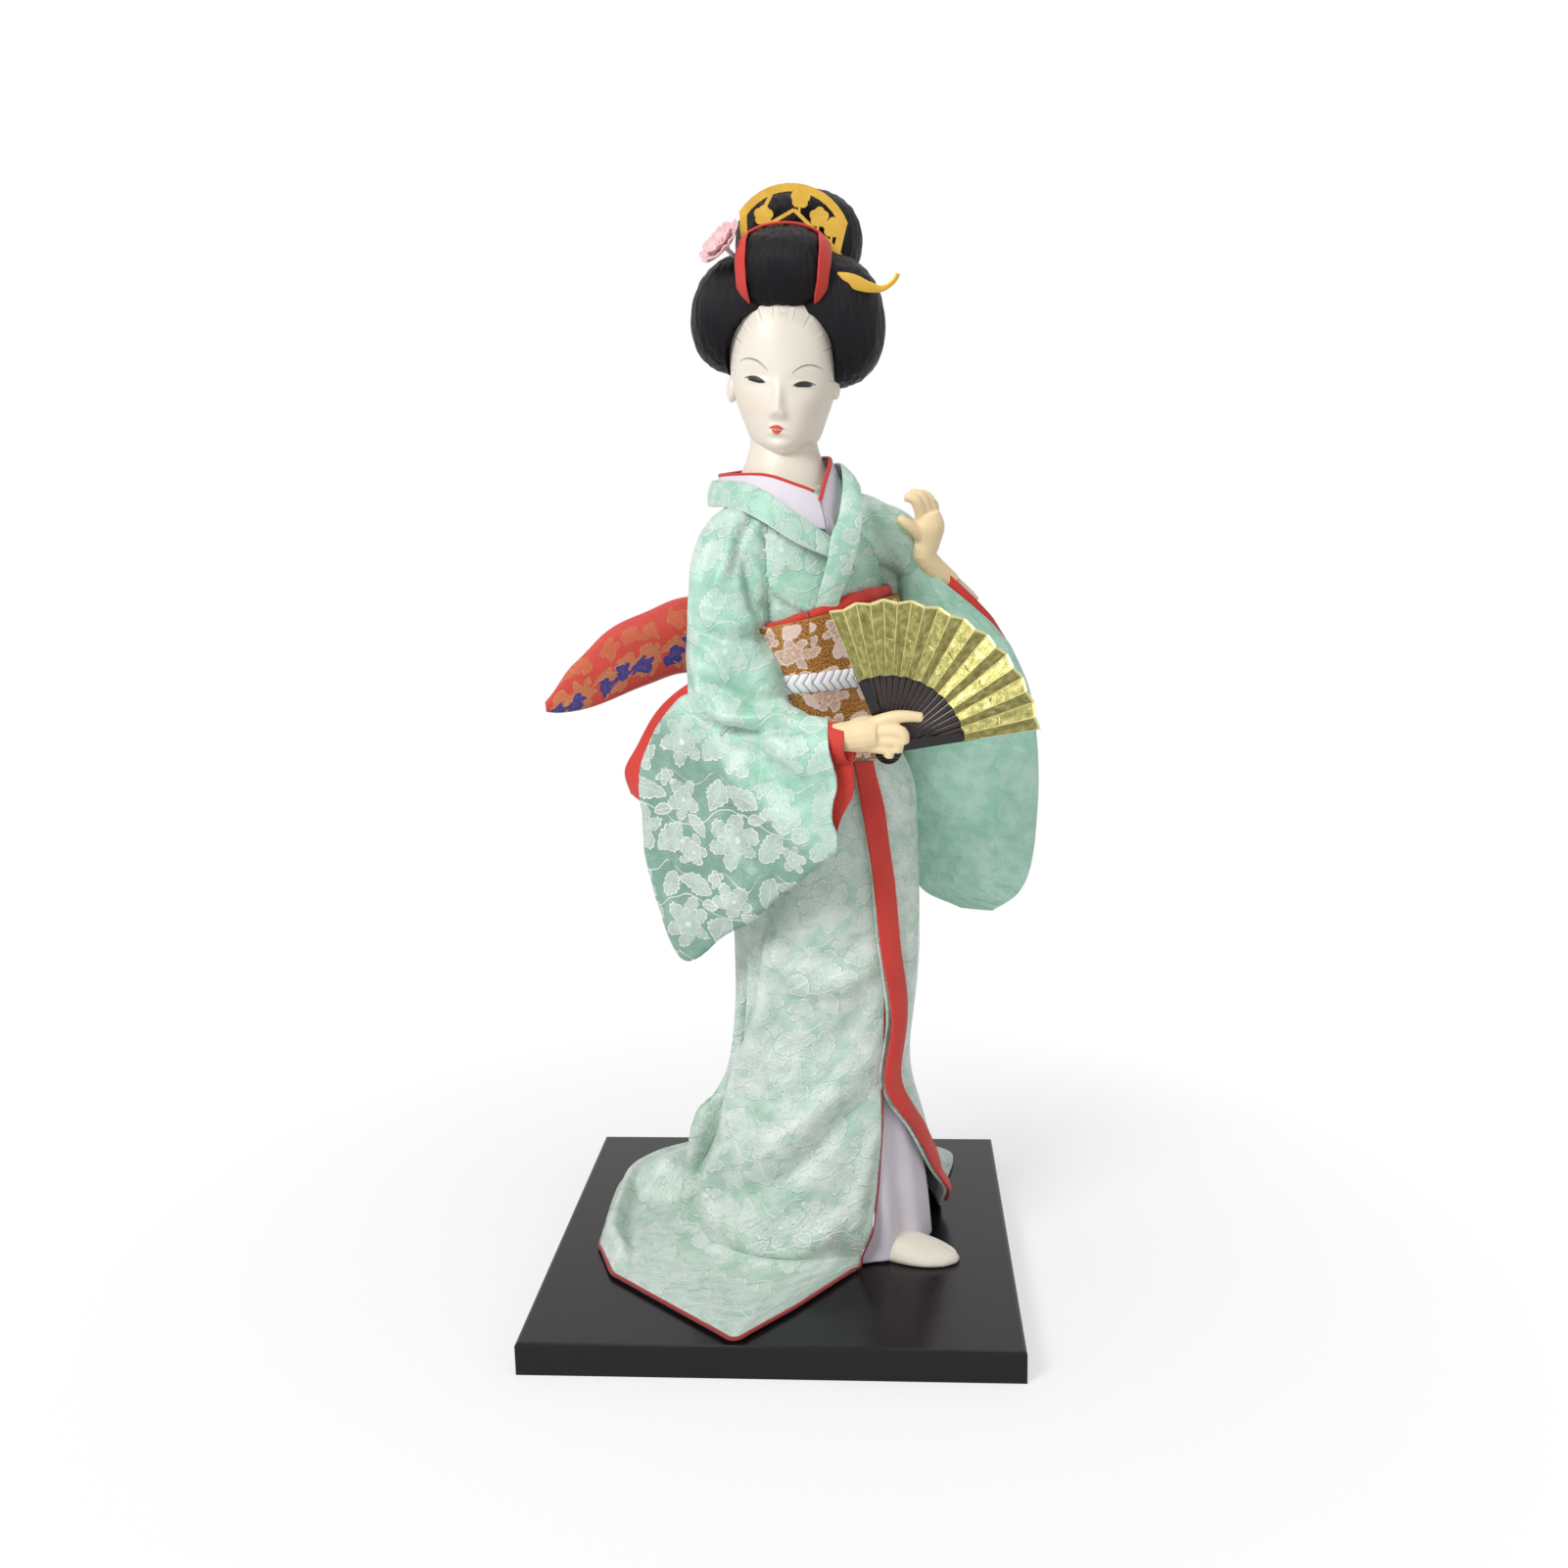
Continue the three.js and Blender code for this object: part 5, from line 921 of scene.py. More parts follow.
# Skirts
# The skirts from the waist down: height, centre X and Y, half width and half depth, as shares.
SKIRT = [
    [1.035, 0.245, 0.02, 0.384, 0.318], [0.972, 0.251, 0.025, 0.461, 0.353],
    [0.901, 0.255, 0.029, 0.496, 0.376], [0.773, 0.255, 0.039, 0.502, 0.384],
    [0.632, 0.255, 0.039, 0.496, 0.396], [0.49, 0.241, 0.039, 0.476, 0.416],
    [0.363, 0.212, 0.045, 0.494, 0.463], [0.249, 0.169, 0.059, 0.608, 0.529],
    [0.136, 0.157, 0.075, 0.678, 0.588], [0.03, 0.157, 0.088, 0.716, 0.618],
]
# The panels' free edges in degrees round the skirts, row by row.
RIGHT_EDGE = [-50, -50, -51, -51, -50, -49, -47, -43, -37, -27]
LEFT_EDGE = [332, 330, 329, 323, 319, 310, 315, 296, 282, 263]
# The hems on the board: degrees round the skirts, X and Y as shares of the board's side.
RIGHT_HEM = [
    [-34, 0.158, -0.208], [-15, 0.046, -0.358], [5, -0.065, -0.487], [30, -0.208, -0.358],
    [55, -0.349, -0.231], [75, -0.4, -0.108], [95, -0.412, 0.077], [120, -0.408, 0.246],
    [145, -0.308, 0.385], [165, -0.138, 0.438], [180, 0.031, 0.454],
]
LEFT_HEM = [
    [180, 0.035, 0.454], [200, 0.192, 0.458], [217, 0.323, 0.446], [230, 0.404, 0.4],
    [243, 0.392, 0.315], [255, 0.369, 0.215], [263, 0.354, 0.169],
]
# Upright folds: degrees round the skirts, width in degrees and depth as a share of the hips.
FOLDS = [
    [58, 7, 0.02], [67, 4, -0.06], [78, 7, 0.035], [102, 8, -0.045], [120, 8, 0.04],
    [140, 8, -0.04], [158, 8, 0.035], [178, 9, -0.035], [200, 9, 0.04], [222, 9, -0.03],
    [243, 8, 0.025],
]
# Where the train lifts off the board: degrees, width and height as a share of the skirts.
TRAIN_RISE = [[60, 12, 0.012], [150, 10, 0.02], [200, 14, 0.04], [235, 12, 0.035]]
# The train's crest and rim: degrees of start, full height, fall and end, then the height.
TRAIN_CREST = [100, 112, 132, 168, 0.075]
TRAIN_RIM = [50, 74, 150, 175, 0.04]
# Folds of the skirts as routes of X and Z, with width and depth.
SKIRT_FOLDS = [
    ([(-2, 108), (-5.5, 92), (-8.3, 78), (-11.6, 67), (-16.2, 56), (-18.7, 41),
      (-24, 30.5), (-25.4, 24), (-22.5, 14)], 1.5, -2.4),
    ([(3, 108), (-1, 92), (-3.8, 78), (-7.2, 67), (-11.8, 56), (-14.2, 41),
      (-19, 31), (-20.3, 24), (-17.5, 15)], 2.4, 1.3),
    ([(-13.9, 63.7), (-20.2, 51.1), (-24, 35.9), (-27.8, 20.6)], 1.7, 1.5),
    ([(-14, 37), (0, 45), (13, 56), (25, 68)], 4.0, 1.2),
    ([(-9, 29), (5, 37), (18, 50), (27, 58)], 3.0, -1.1),
    ([(-19, 21), (-6, 15.5), (8, 17), (20, 27)], 3.0, 0.9),
    ([(2, 104), (8, 97), (17, 96), (26, 102)], 2.6, -1.0),
    ([(-1, 97), (7, 90), (18, 89), (27, 95)], 3.0, 1.0),
    ([(26, 88), (20, 76), (9, 70), (-2, 74)], 3.2, -0.9),
    ([(27, 48), (24, 36), (22, 22)], 2.2, 0.8),
    ([(38, 140), (40, 120), (37, 95), (36, 70)], 2.2, 0.7),
    ([(12, 145), (10, 128), (14, 112)], 2.2, -0.8),
]
# The middle of the cloth that lies on the board.
HEM_FLOOR = BOARD_TOP + GAP + CLOTH / 2


def around(angle):
    """Degrees round the skirts, counted from -60 to 300."""
    return np.mod(np.degrees(angle) + 60, 360) - 60


def fold_depth(angle, height_share):
    """How far the upright folds stand out; they deepen towards the hem."""
    strength = smoothstep(1 - height_share, 0.15, 0.9)
    return sum(bump(around(angle), at, width) * depth * HIP_WIDTH for at, width, depth in FOLDS) * strength


def wall(t, angle, lift):
    """Points of the skirts' wall, t rows down the table."""
    row = spline(SKIRT, t)
    share = row[..., 0]
    yaw = -TORSO_YAW * smoothstep(share, 0.9, 1.03)
    x, y, half_x, half_y = [row[..., n] * HIP_WIDTH for n in range(1, 5)]
    extra = lift + fold_depth(angle, share) + bump(share, 0.075, 0.035) * 1.5
    return oval(x, y, BOARD_TOP + share * SKIRT_LENGTH, half_x, half_y, yaw, angle, extra)


def swell(way, start, full, fall, end, up):
    """A height that rises from start to full and falls again from fall to end."""
    return (smoothstep(way, start, full) - smoothstep(way, fall, end)) * up * SKIRT_LENGTH


WALL_ROWS = 110
# How the train's cloth drops from the crease at the skirt's foot to the board: reach and drop.
TRAIN_SINK = [[0, 0], [0.12, 0.6], [0.35, 0.92], [0.7, 1], [1, 1]]
# From this angle on the hem's outline is rounded off, in so many rounds.
HEM_ROUND_FROM = 82
HEM_ROUNDS = 90


def panel(edge, hem, lap, columns, wall_rows=WALL_ROWS, train_rows=60):
    """A skirt panel as a grid: its wall down to the crease, then the train out to the hem."""
    hem = np.array(hem, float)
    turned_in = np.linspace(hem[0, 0], hem[-1, 0], columns)
    share = (turned_in - hem[0, 0]) / (hem[-1, 0] - hem[0, 0])
    t = np.linspace(0, len(SKIRT) - 1, wall_rows)[:, None]
    free = spline(np.array(edge, float)[:, None], t[:, 0])
    first, last = (free, hem[-1, 0]) if edge is RIGHT_EDGE else (hem[0, 0], free)
    angle = np.radians(first + (last - first) * share)
    points = wall(np.broadcast_to(t, angle.shape), angle, lap * share)
    points[..., 2] = np.maximum(points[..., 2], HEM_FLOOR + 2 * CLOTH)
    crease = points[-1]
    end = np.stack([np.interp(turned_in, hem[:, 0], hem[:, k]) for k in (1, 2)], -1)
    rounding = (turned_in[1:-1, None] > HEM_ROUND_FROM) * 0.25
    for _ in range(HEM_ROUNDS):
        end[1:-1] += rounding * (end[:-2] - 2 * end[1:-1] + end[2:])
    out = np.linspace(0, 1, train_rows + 1)[1:, None]
    flat = crease[None, :, :2] + (end * BOARD_SIDE - crease[:, :2])[None] * out[..., None]
    sink = spline(TRAIN_SINK, place_in(TRAIN_SINK, out[:, 0]))
    height = crease[None, :, 2] + (HEM_FLOOR - crease[None, :, 2]) * np.minimum(sink[:, 1:2], 1)
    way = around(np.radians(turned_in))
    rise = sum(bump(way, at, width) * up for at, width, up in TRAIN_RISE) * SKIRT_LENGTH
    rise = rise + swell(way, *TRAIN_CREST)
    height = height + np.sin(np.minimum(out * 1.15, 1) * math.pi) * rise
    height = height + bump(out, 0.87, 0.08) * swell(way, *TRAIN_RIM)
    return np.concatenate([points, np.concatenate([flat, height[..., None]], -1)])


def skirt_panels():
    """Both panels as pieces; returns the right one's grid, which the hem roll follows."""
    right = panel(RIGHT_EDGE, RIGHT_HEM, 0.0, 190)
    left = panel(LEFT_EDGE, LEFT_HEM, CLOTH + GAP, 110)
    hung = {}
    for name, grid, seed, body_node, cut_width, share in (
        ("panel_right", right, 3, "skirt_panel_right", 150, 0.7),
        ("panel_left", left, 5, "skirt_panel_left", 90, 0.58),
    ):
        shaped = wrinkles(grid, 24, 1.5, seed, (1, 1, 0.45))
        shaped = wrinkles(shaped, 9, 0.35, seed + 1, (1, 1, 0.5))
        outward = normals_of(shaped).reshape(-1, 3)
        middle = np.array([WAIST[0], WAIST[1], 0])
        if ((shaped.reshape(-1, 3) - middle) * outward * [1, 1, 0]).sum() < 0:
            outward = -outward
        points = shaped.reshape(-1, 3)
        for route, width, depth in SKIRT_FOLDS:
            points = creased(points, outward, route, width, depth)
        shaped = points.reshape(shaped.shape)
        keep = smoothstep(grid[..., 2], HEM_FLOOR + 0.2, HEM_FLOOR + 6)[..., None]
        shaped = grid + (shaped - grid) * (0.25 + 0.75 * keep)
        shaped[..., 2] = np.maximum(shaped[..., 2], HEM_FLOOR)
        piece = thickened(grid_piece(name, shaped), CLOTH * 0.8)
        shown(piece, MINT_SKIRT, "doll", "mint_brocade", body_node)
        cut_cloth(cut_width, 190, share)
        hung[name] = shaped
    return hung["panel_right"]


right_panel = skirt_panels()


def hem_roll():
    """The red roll along the right panel's front edge and hem, and the white piping."""
    start = WALL_ROWS // 2
    edge = right_panel[start:, 0] - 0.25 * (right_panel[start:, 2] - right_panel[start:, 0])
    hem = right_panel[-1, 1:101]
    outward = hem + unit(hem - right_panel[-6, 1:101]) * 0.7
    route = np.concatenate([edge, outward])
    route[:, 2] = np.maximum(route[:, 2], BOARD_TOP + GAP + 0.8)
    piece = tube_piece("hem_roll_cloth", smooth(route[::3], 220), 0.55, 10)
    shown(piece, DARK_RED, "doll", "red_cloth", "hem_roll")
    front = right_panel[18:140, 0] + unit(right_panel[18:140, 0] - right_panel[18:140, 3]) * 0.1
    line = tube_piece("front_edge_piping", smooth(front[::4], 240), 0.45, 8)
    shown(line, PIPING, "doll", "mint_brocade")


hem_roll()


def front_facing():
    """The red facing turned out along the left panel's front edge."""
    t = np.linspace(0.6, len(SKIRT) - 1, 150)[:, None]
    row = spline(SKIRT, t[:, 0])
    width = (0.125 + (0.1 - 0.125) * t / (len(SKIRT) - 1)) * HIP_WIDTH
    sweep = width / (row[:, 3:4] * HIP_WIDTH)
    across = np.linspace(0, 1, 14)
    edge = np.radians(spline(np.array(LEFT_EDGE, float)[:, None], t[:, 0]))
    angle = edge - across * sweep
    lift = CLOTH * 2 + GAP * 2 + LINING / 2 + 0.25 * np.sin(across * math.pi)
    grid = wall(np.broadcast_to(t, angle.shape), angle, np.broadcast_to(lift, angle.shape))
    grid = wrinkles(grid, 7, 0.4, 9, (1, 1, 0.5))
    piece = grid_piece("facing_cloth", folded(grid, LINING * 0.9))
    shown(piece, RED, "doll", "red_cloth", "front_facing")
    cut_cloth(13, 145)


front_facing()

# The underskirt from the waist down, as the skirts.
UNDERSKIRT = [
    [0.98, 0.245, 0.02, 0.343, 0.27], [0.788, 0.255, 0.039, 0.431, 0.324],
    [0.504, 0.241, 0.039, 0.412, 0.355], [0.363, 0.225, 0.043, 0.437, 0.392],
    [0.235, 0.235, 0.039, 0.5, 0.441], [0.122, 0.245, 0.039, 0.545, 0.476],
    [0.004, 0.255, 0.039, 0.565, 0.5],
]


def underskirt():
    t = np.linspace(0, len(UNDERSKIRT) - 1, 90)[:, None]
    angle = full_turn(240)[None, :]
    row = spline(UNDERSKIRT, t[:, 0])[:, None, :]
    fall = smoothstep(1 - row[..., 0], 0.3, 0.9)
    pleat = (np.sin(angle * 9 + 0.8) + 0.5 * np.sin(angle * 17 + 1.3)) * 0.022 * HIP_WIDTH * fall
    x, y, half_x, half_y = [row[..., n] * HIP_WIDTH for n in range(1, 5)]
    grid = oval(x, y, BOARD_TOP + row[..., 0] * SKIRT_LENGTH, half_x, half_y, 0, angle, pleat)
    piece = thickened(grid_piece("underskirt_cloth", grid, closed=True), LINING * 0.8, -1)
    shown(piece, WHITE, "doll", "white_cloth", "underskirt")
    cut_cloth(150, 138, 0.95)


underskirt()


# Feet

# The left foot's heel and toe, X and Y as shares of the hips' width.
FOOT_LEFT = [[0.36, -0.16], [0.98, -0.385]]
# The foot from heel to toe: reach and half width in foot lengths, height in foot heights.
FOOT = [
    [0, 0.03, 0.3], [0.02, 0.1, 0.55], [0.06, 0.15, 0.8], [0.2, 0.19, 1], [0.4, 0.2, 0.8],
    [0.6, 0.22, 0.56], [0.76, 0.21, 0.42], [0.9, 0.15, 0.3], [0.97, 0.08, 0.22], [1, 0.03, 0.14],
]


def foot_left():
    heel, toe = [np.array([x * HIP_WIDTH, y * HIP_WIDTH, BOARD_TOP + GAP]) for x, y in FOOT_LEFT]
    way = unit(toe - heel)
    across = np.cross([0, 0, 1], way)
    shape = smooth(FOOT, 60)
    angle = full_turn(40)
    reach, half, height = [shape[:, n][:, None] for n in range(3)]
    rise = np.maximum(np.sin(angle), 0)[None] ** 0.8 * height * FOOT_HEIGHT
    split = bump(np.cos(angle)[None] * half, 0.06, 0.018) * smoothstep(reach, 0.8, 0.95)
    split = split * (np.sin(angle) > 0)
    wide = blunt(np.cos(angle), 0.8) * half * FOOT_LENGTH * np.where(np.sin(angle) < 0, 0.9, 1)
    centre = toe - way * FOOT_LENGTH * (1 - reach[..., None])
    grid = centre + across * wide[..., None]
    grid[..., 2] = BOARD_TOP + GAP + rise * (1 - 0.5 * split)
    piece = grid_piece("foot_left", grid, closed=True, ends=True)
    shown(piece, TABI, "doll", "tabi_cloth", "tabi_foot_left")


foot_left()


# Sleeves

# The right upper arm's cloth: height, X, Y, half width and half depth, as shares of the torso.
RIGHT_TUBE = [
    [0.933, -0.18, -0.093, 0.08, 0.067], [0.88, -0.22, -0.12, 0.133, 0.113],
    [0.787, -0.273, -0.147, 0.153, 0.133], [0.64, -0.3, -0.18, 0.147, 0.147],
    [0.48, -0.3, -0.213, 0.153, 0.16], [0.333, -0.273, -0.267, 0.173, 0.16],
    [0.213, -0.247, -0.293, 0.173, 0.14], [0.15, -0.215, -0.315, 0.15, 0.105],
    [0.12, -0.195, -0.325, 0.09, 0.06],
]
# The right bag: X, Y, top, bottom, half depth at the top and at the bottom, as shares of the torso.
RIGHT_BAG = [
    [-0.66, -0.147, -0.093, -0.147, 0.013, 0.01], [-0.633, -0.153, -0.007, -0.373, 0.027, 0.018],
    [-0.58, -0.173, 0.107, -0.613, 0.04, 0.022], [-0.513, -0.2, 0.193, -0.727, 0.059, 0.026],
    [-0.447, -0.233, 0.247, -0.72, 0.072, 0.028], [-0.327, -0.293, 0.247, -0.62, 0.083, 0.03],
    [-0.167, -0.373, 0.22, -0.484, 0.085, 0.034], [-0.033, -0.44, 0.2, -0.371, 0.083, 0.04],
    [0.06, -0.483, 0.191, -0.285, 0.077, 0.05],
]
# The left arm's cloth: X, Y, Z and radius, as shares of the torso.
LEFT_TUBE = [
    [0.02, 0.027, 0.827, 0.1], [0.127, 0.06, 0.83, 0.115], [0.26, 0.1, 0.79, 0.11],
    [0.39, 0.14, 0.685, 0.085],
]
# The left bag: near X and Z, far X and Z, Y and half thickness, as shares of the torso.
LEFT_BAG = [
    [0.527, -0.643, 0.66, -0.661, 0.2, 0.013], [0.38, -0.553, 0.76, -0.58, 0.193, 0.032],
    [0.333, -0.373, 0.809, -0.413, 0.187, 0.045], [0.313, -0.027, 0.823, -0.04, 0.173, 0.061],
    [0.293, 0.24, 0.793, 0.213, 0.16, 0.08], [0.287, 0.493, 0.733, 0.36, 0.147, 0.093],
    [0.327, 0.733, 0.687, 0.427, 0.133, 0.099],
]
# The lining's free back edge on the right: X, Z and Y, as shares of the torso.
BACK_EDGE = [
    [-0.44, 0.29, -0.17], [-0.56, 0.2, -0.13], [-0.655, 0.06, -0.1], [-0.71, -0.04, -0.09],
    [-0.692, -0.13, -0.09],
]


def right_bag(inset, first=0.0, reach=0.0, rows=90, sides=140):
    """The right sleeve's bag as rings from its far end to its mouth."""
    t = np.linspace(first, len(RIGHT_BAG) - 1, rows)
    row = spline(RIGHT_BAG, t) * TORSO_LENGTH
    x, y, top, bottom, top_half, bottom_half = [row[:, n][:, None] for n in range(6)]
    angle = full_turn(sides)
    share = (1 + np.cos(angle)) / 2
    height = bottom + inset + (top - bottom - 2 * inset) * share
    half = bottom_half + (top_half - bottom_half) * share**0.7 - inset
    side = blunt(np.sin(angle), 0.6)
    grid = stacked(WAIST[0] + x, WAIST[1] + y + side * half, WAIST[2] + height)
    if reach:
        way = unit(grid[-1] - grid[-4])
        grid = np.concatenate([grid, grid[-1:] + way[None] * reach])
    return grid


def left_bag(inset, first=0.0, reach=0.0, rows=90, sides=140):
    """The left sleeve's bag as rings from its hanging end up to the arm."""
    t = np.linspace(first, len(LEFT_BAG) - 1, rows)
    near_x, near_z, far_x, far_z, depth, half = spline(LEFT_BAG, t).T
    near = at_torso(np.stack([near_x, depth, near_z], -1))
    far = at_torso(np.stack([far_x, depth, far_z], -1))
    along = unit(far - near)
    extent = np.linalg.norm(far - near, axis=1) / 2 - inset
    thick = np.maximum(half * TORSO_LENGTH - inset, 0.3)
    angle = full_turn(sides)
    side = blunt(np.sin(angle), 0.7)
    grid = ((near + far) / 2)[:, None] + along[:, None] * (np.cos(angle) * extent[:, None])[..., None]
    grid[..., 1] += side * thick[:, None]
    if reach:
        grid = np.concatenate([grid, grid[-1:] + unit(grid[-1] - grid[-4])[None] * reach])
    return grid


# The right forearm's cloth: X, Y, Z and radius, as shares of the torso.
FOREARM = [
    [-0.25, -0.31, 0.2, 0.13], [-0.16, -0.355, 0.145, 0.115], [-0.06, -0.42, 0.105, 0.1],
    [0.04, -0.47, 0.085, 0.098], [0.12, -0.5, 0.08, 0.098],
]
# Folds of the kimono's upper part as routes of X and Z, with width and depth.
GARMENT_FOLDS = [
    ([(-20, 176), (-17, 166.5), (-12, 161), (-4, 160.3), (3, 162), (10, 162.5)], 1.4, -3.0),
    ([(-19, 180), (-16, 169), (-10.5, 165), (-3, 164.6), (4, 166)], 1.7, 1.0),
    ([(-8.4, 160.7), (-1.7, 153.7), (3, 147.7), (7, 143)], 2.6, -1.9),
    ([(-1.3, 163), (6.3, 157), (12.1, 151), (14.5, 146.2)], 2.8, 1.3),
    ([(-12, 153.5), (-4.1, 144.4), (3.6, 136.3), (11.5, 130.6)], 2.8, 1.1),
    ([(-17, 158), (-15, 146), (-9, 133), (-2, 123)], 3.4, -1.6),
    ([(-22, 160), (-25, 145), (-25, 128), (-24, 112)], 2.6, 0.8),
    ([(-28, 150), (-30, 135), (-29, 118)], 2.4, -0.7),
    ([(2, 127), (-8, 117), (-18, 106)], 2.6, 0.6),
    ([(-4.5, 205), (-3, 197), (-1.3, 189.5), (1, 182)], 1.5, -1.8),
    ([(-17.1, 190.9), (-9.8, 187.9), (-1.1, 188.5)], 1.8, 1.0),
    ([(-18, 186.8), (-10, 183.8), (-2, 184)], 1.6, -0.9),
    ([(-17.5, 174.6), (-10.1, 171.6), (-1.4, 168.5), (5, 169.4)], 1.9, -1.5),
    ([(-17, 184.3), (-12, 179.4), (-8, 173.5)], 1.7, 0.7),
    ([(-8, 213), (-10, 203), (-14, 196)], 2.2, 0.8),
    ([(-13, 211), (-16, 202), (-18, 194)], 1.6, -0.6),
    ([(-2, 216), (-6, 209), (-8, 199)], 1.6, -0.8),
    ([(4, 208), (11, 201), (18, 194)], 1.5, -0.9),
    ([(0.5, 199), (6.3, 193.5), (13, 190.5)], 1.5, 0.9),
    ([(-1, 193), (5, 189), (11, 187.5)], 1.2, -0.8),
    ([(24, 213), (30, 208), (34, 201)], 1.6, -0.7),
    ([(26, 217), (33, 212), (39, 206)], 1.6, 0.7),
]
# The right sleeve's mouth: height and X.
CUFF = [
    [164.4, 16.5], [157.3, 16.8], [151.5, 18.2], [147.6, 18.5], [142.8, 17.4], [138.9, 17.2],
    [134.9, 18.4], [128, 18.2],
]
# How far the bodice lies over the torso's own surface.
BODICE_LIFT = -0.1
# The skin round bodice and sleeves: voxel size and rounds of softening.
SKIN_VOXEL = 0.8
SKIN_ROUNDS = 5


def labelled(points, grids):
    """Which of the grids lies nearest to each point."""
    tree = KDTree(sum(grid.size // 3 for grid in grids))
    owner = np.concatenate([np.full(grid.size // 3, n) for n, grid in enumerate(grids)])
    for n, spot in enumerate(np.concatenate([grid.reshape(-1, 3) for grid in grids])):
        tree.insert(spot, n)
    tree.balance()
    return np.array([owner[tree.find(spot)[1]] for spot in points])


def rough_cloth(points, normals, size, depth, seed):
    """Points pushed along their normals by upright noise of one size."""
    waves = np.array([noise.noise(Vector(p)) for p in points * [1 / size, 1 / size, 0.62 / size] + seed])
    return points + normals * (waves * depth)[:, None]


def kept_out(points):
    """Points of the bodice moved out to the torso's own surface where they lie deeper."""
    height = np.minimum(points[:, 2], NECK_Z)
    row = spline(TORSO, place_in(TORSO, (height - WAIST_Z) / TORSO_LENGTH))
    axis = WAIST[:2] + row[:, 1:3] * TORSO_LENGTH
    across, deep = (points[:, :2] - axis).T
    edge = torso_point(np.arctan2(-across, -deep), height, BODICE_LIFT)
    reach = np.linalg.norm(edge[:, :2] - axis, axis=1)
    scale = np.maximum(reach / np.maximum(np.hypot(across, deep), 1), 1)
    scale = np.where(points[:, 2] < NECK_Z - 0.8, scale, 1)
    moved = points.copy()
    moved[:, :2] = axis + (points[:, :2] - axis) * scale[:, None]
    return moved


def cut_at(piece, mouth):
    """Cuts a piece off past the X that mouth gives for each height."""
    cloth = bmesh.new()
    cloth.from_mesh(piece.data)
    for vertex in cloth.verts:
        vertex.co.x -= mouth(vertex.co.z / MM) * MM
    everything = [*cloth.verts, *cloth.edges, *cloth.faces]
    bmesh.ops.bisect_plane(cloth, geom=everything, plane_co=(0, 0, 0), plane_no=(1, 0, 0), clear_outer=True)
    for vertex in cloth.verts:
        vertex.co.x += mouth(vertex.co.z / MM) * MM
    cloth.to_mesh(piece.data)
    cloth.free()


def seamed(points, normals, line):
    """A shallow groove along a line of the cloth's own points."""
    tree = KDTree(len(line))
    for n, spot in enumerate(points[line]):
        tree.insert(spot, n)
    tree.balance()
    away = np.array([tree.find(spot)[2] for spot in points])
    return points - normals * (0.3 * np.exp(-((away / 1.1) ** 2)))[:, None]


def arm_tube(table, count, sides):
    """A tube from rows of X, Y, Z and radius, as shares of the torso."""
    rows = smooth(table, count)
    return tube_grid(at_torso(rows[:, :3]), rows[:, 3] * TORSO_LENGTH, sides, up=(0, 1, 0.2))


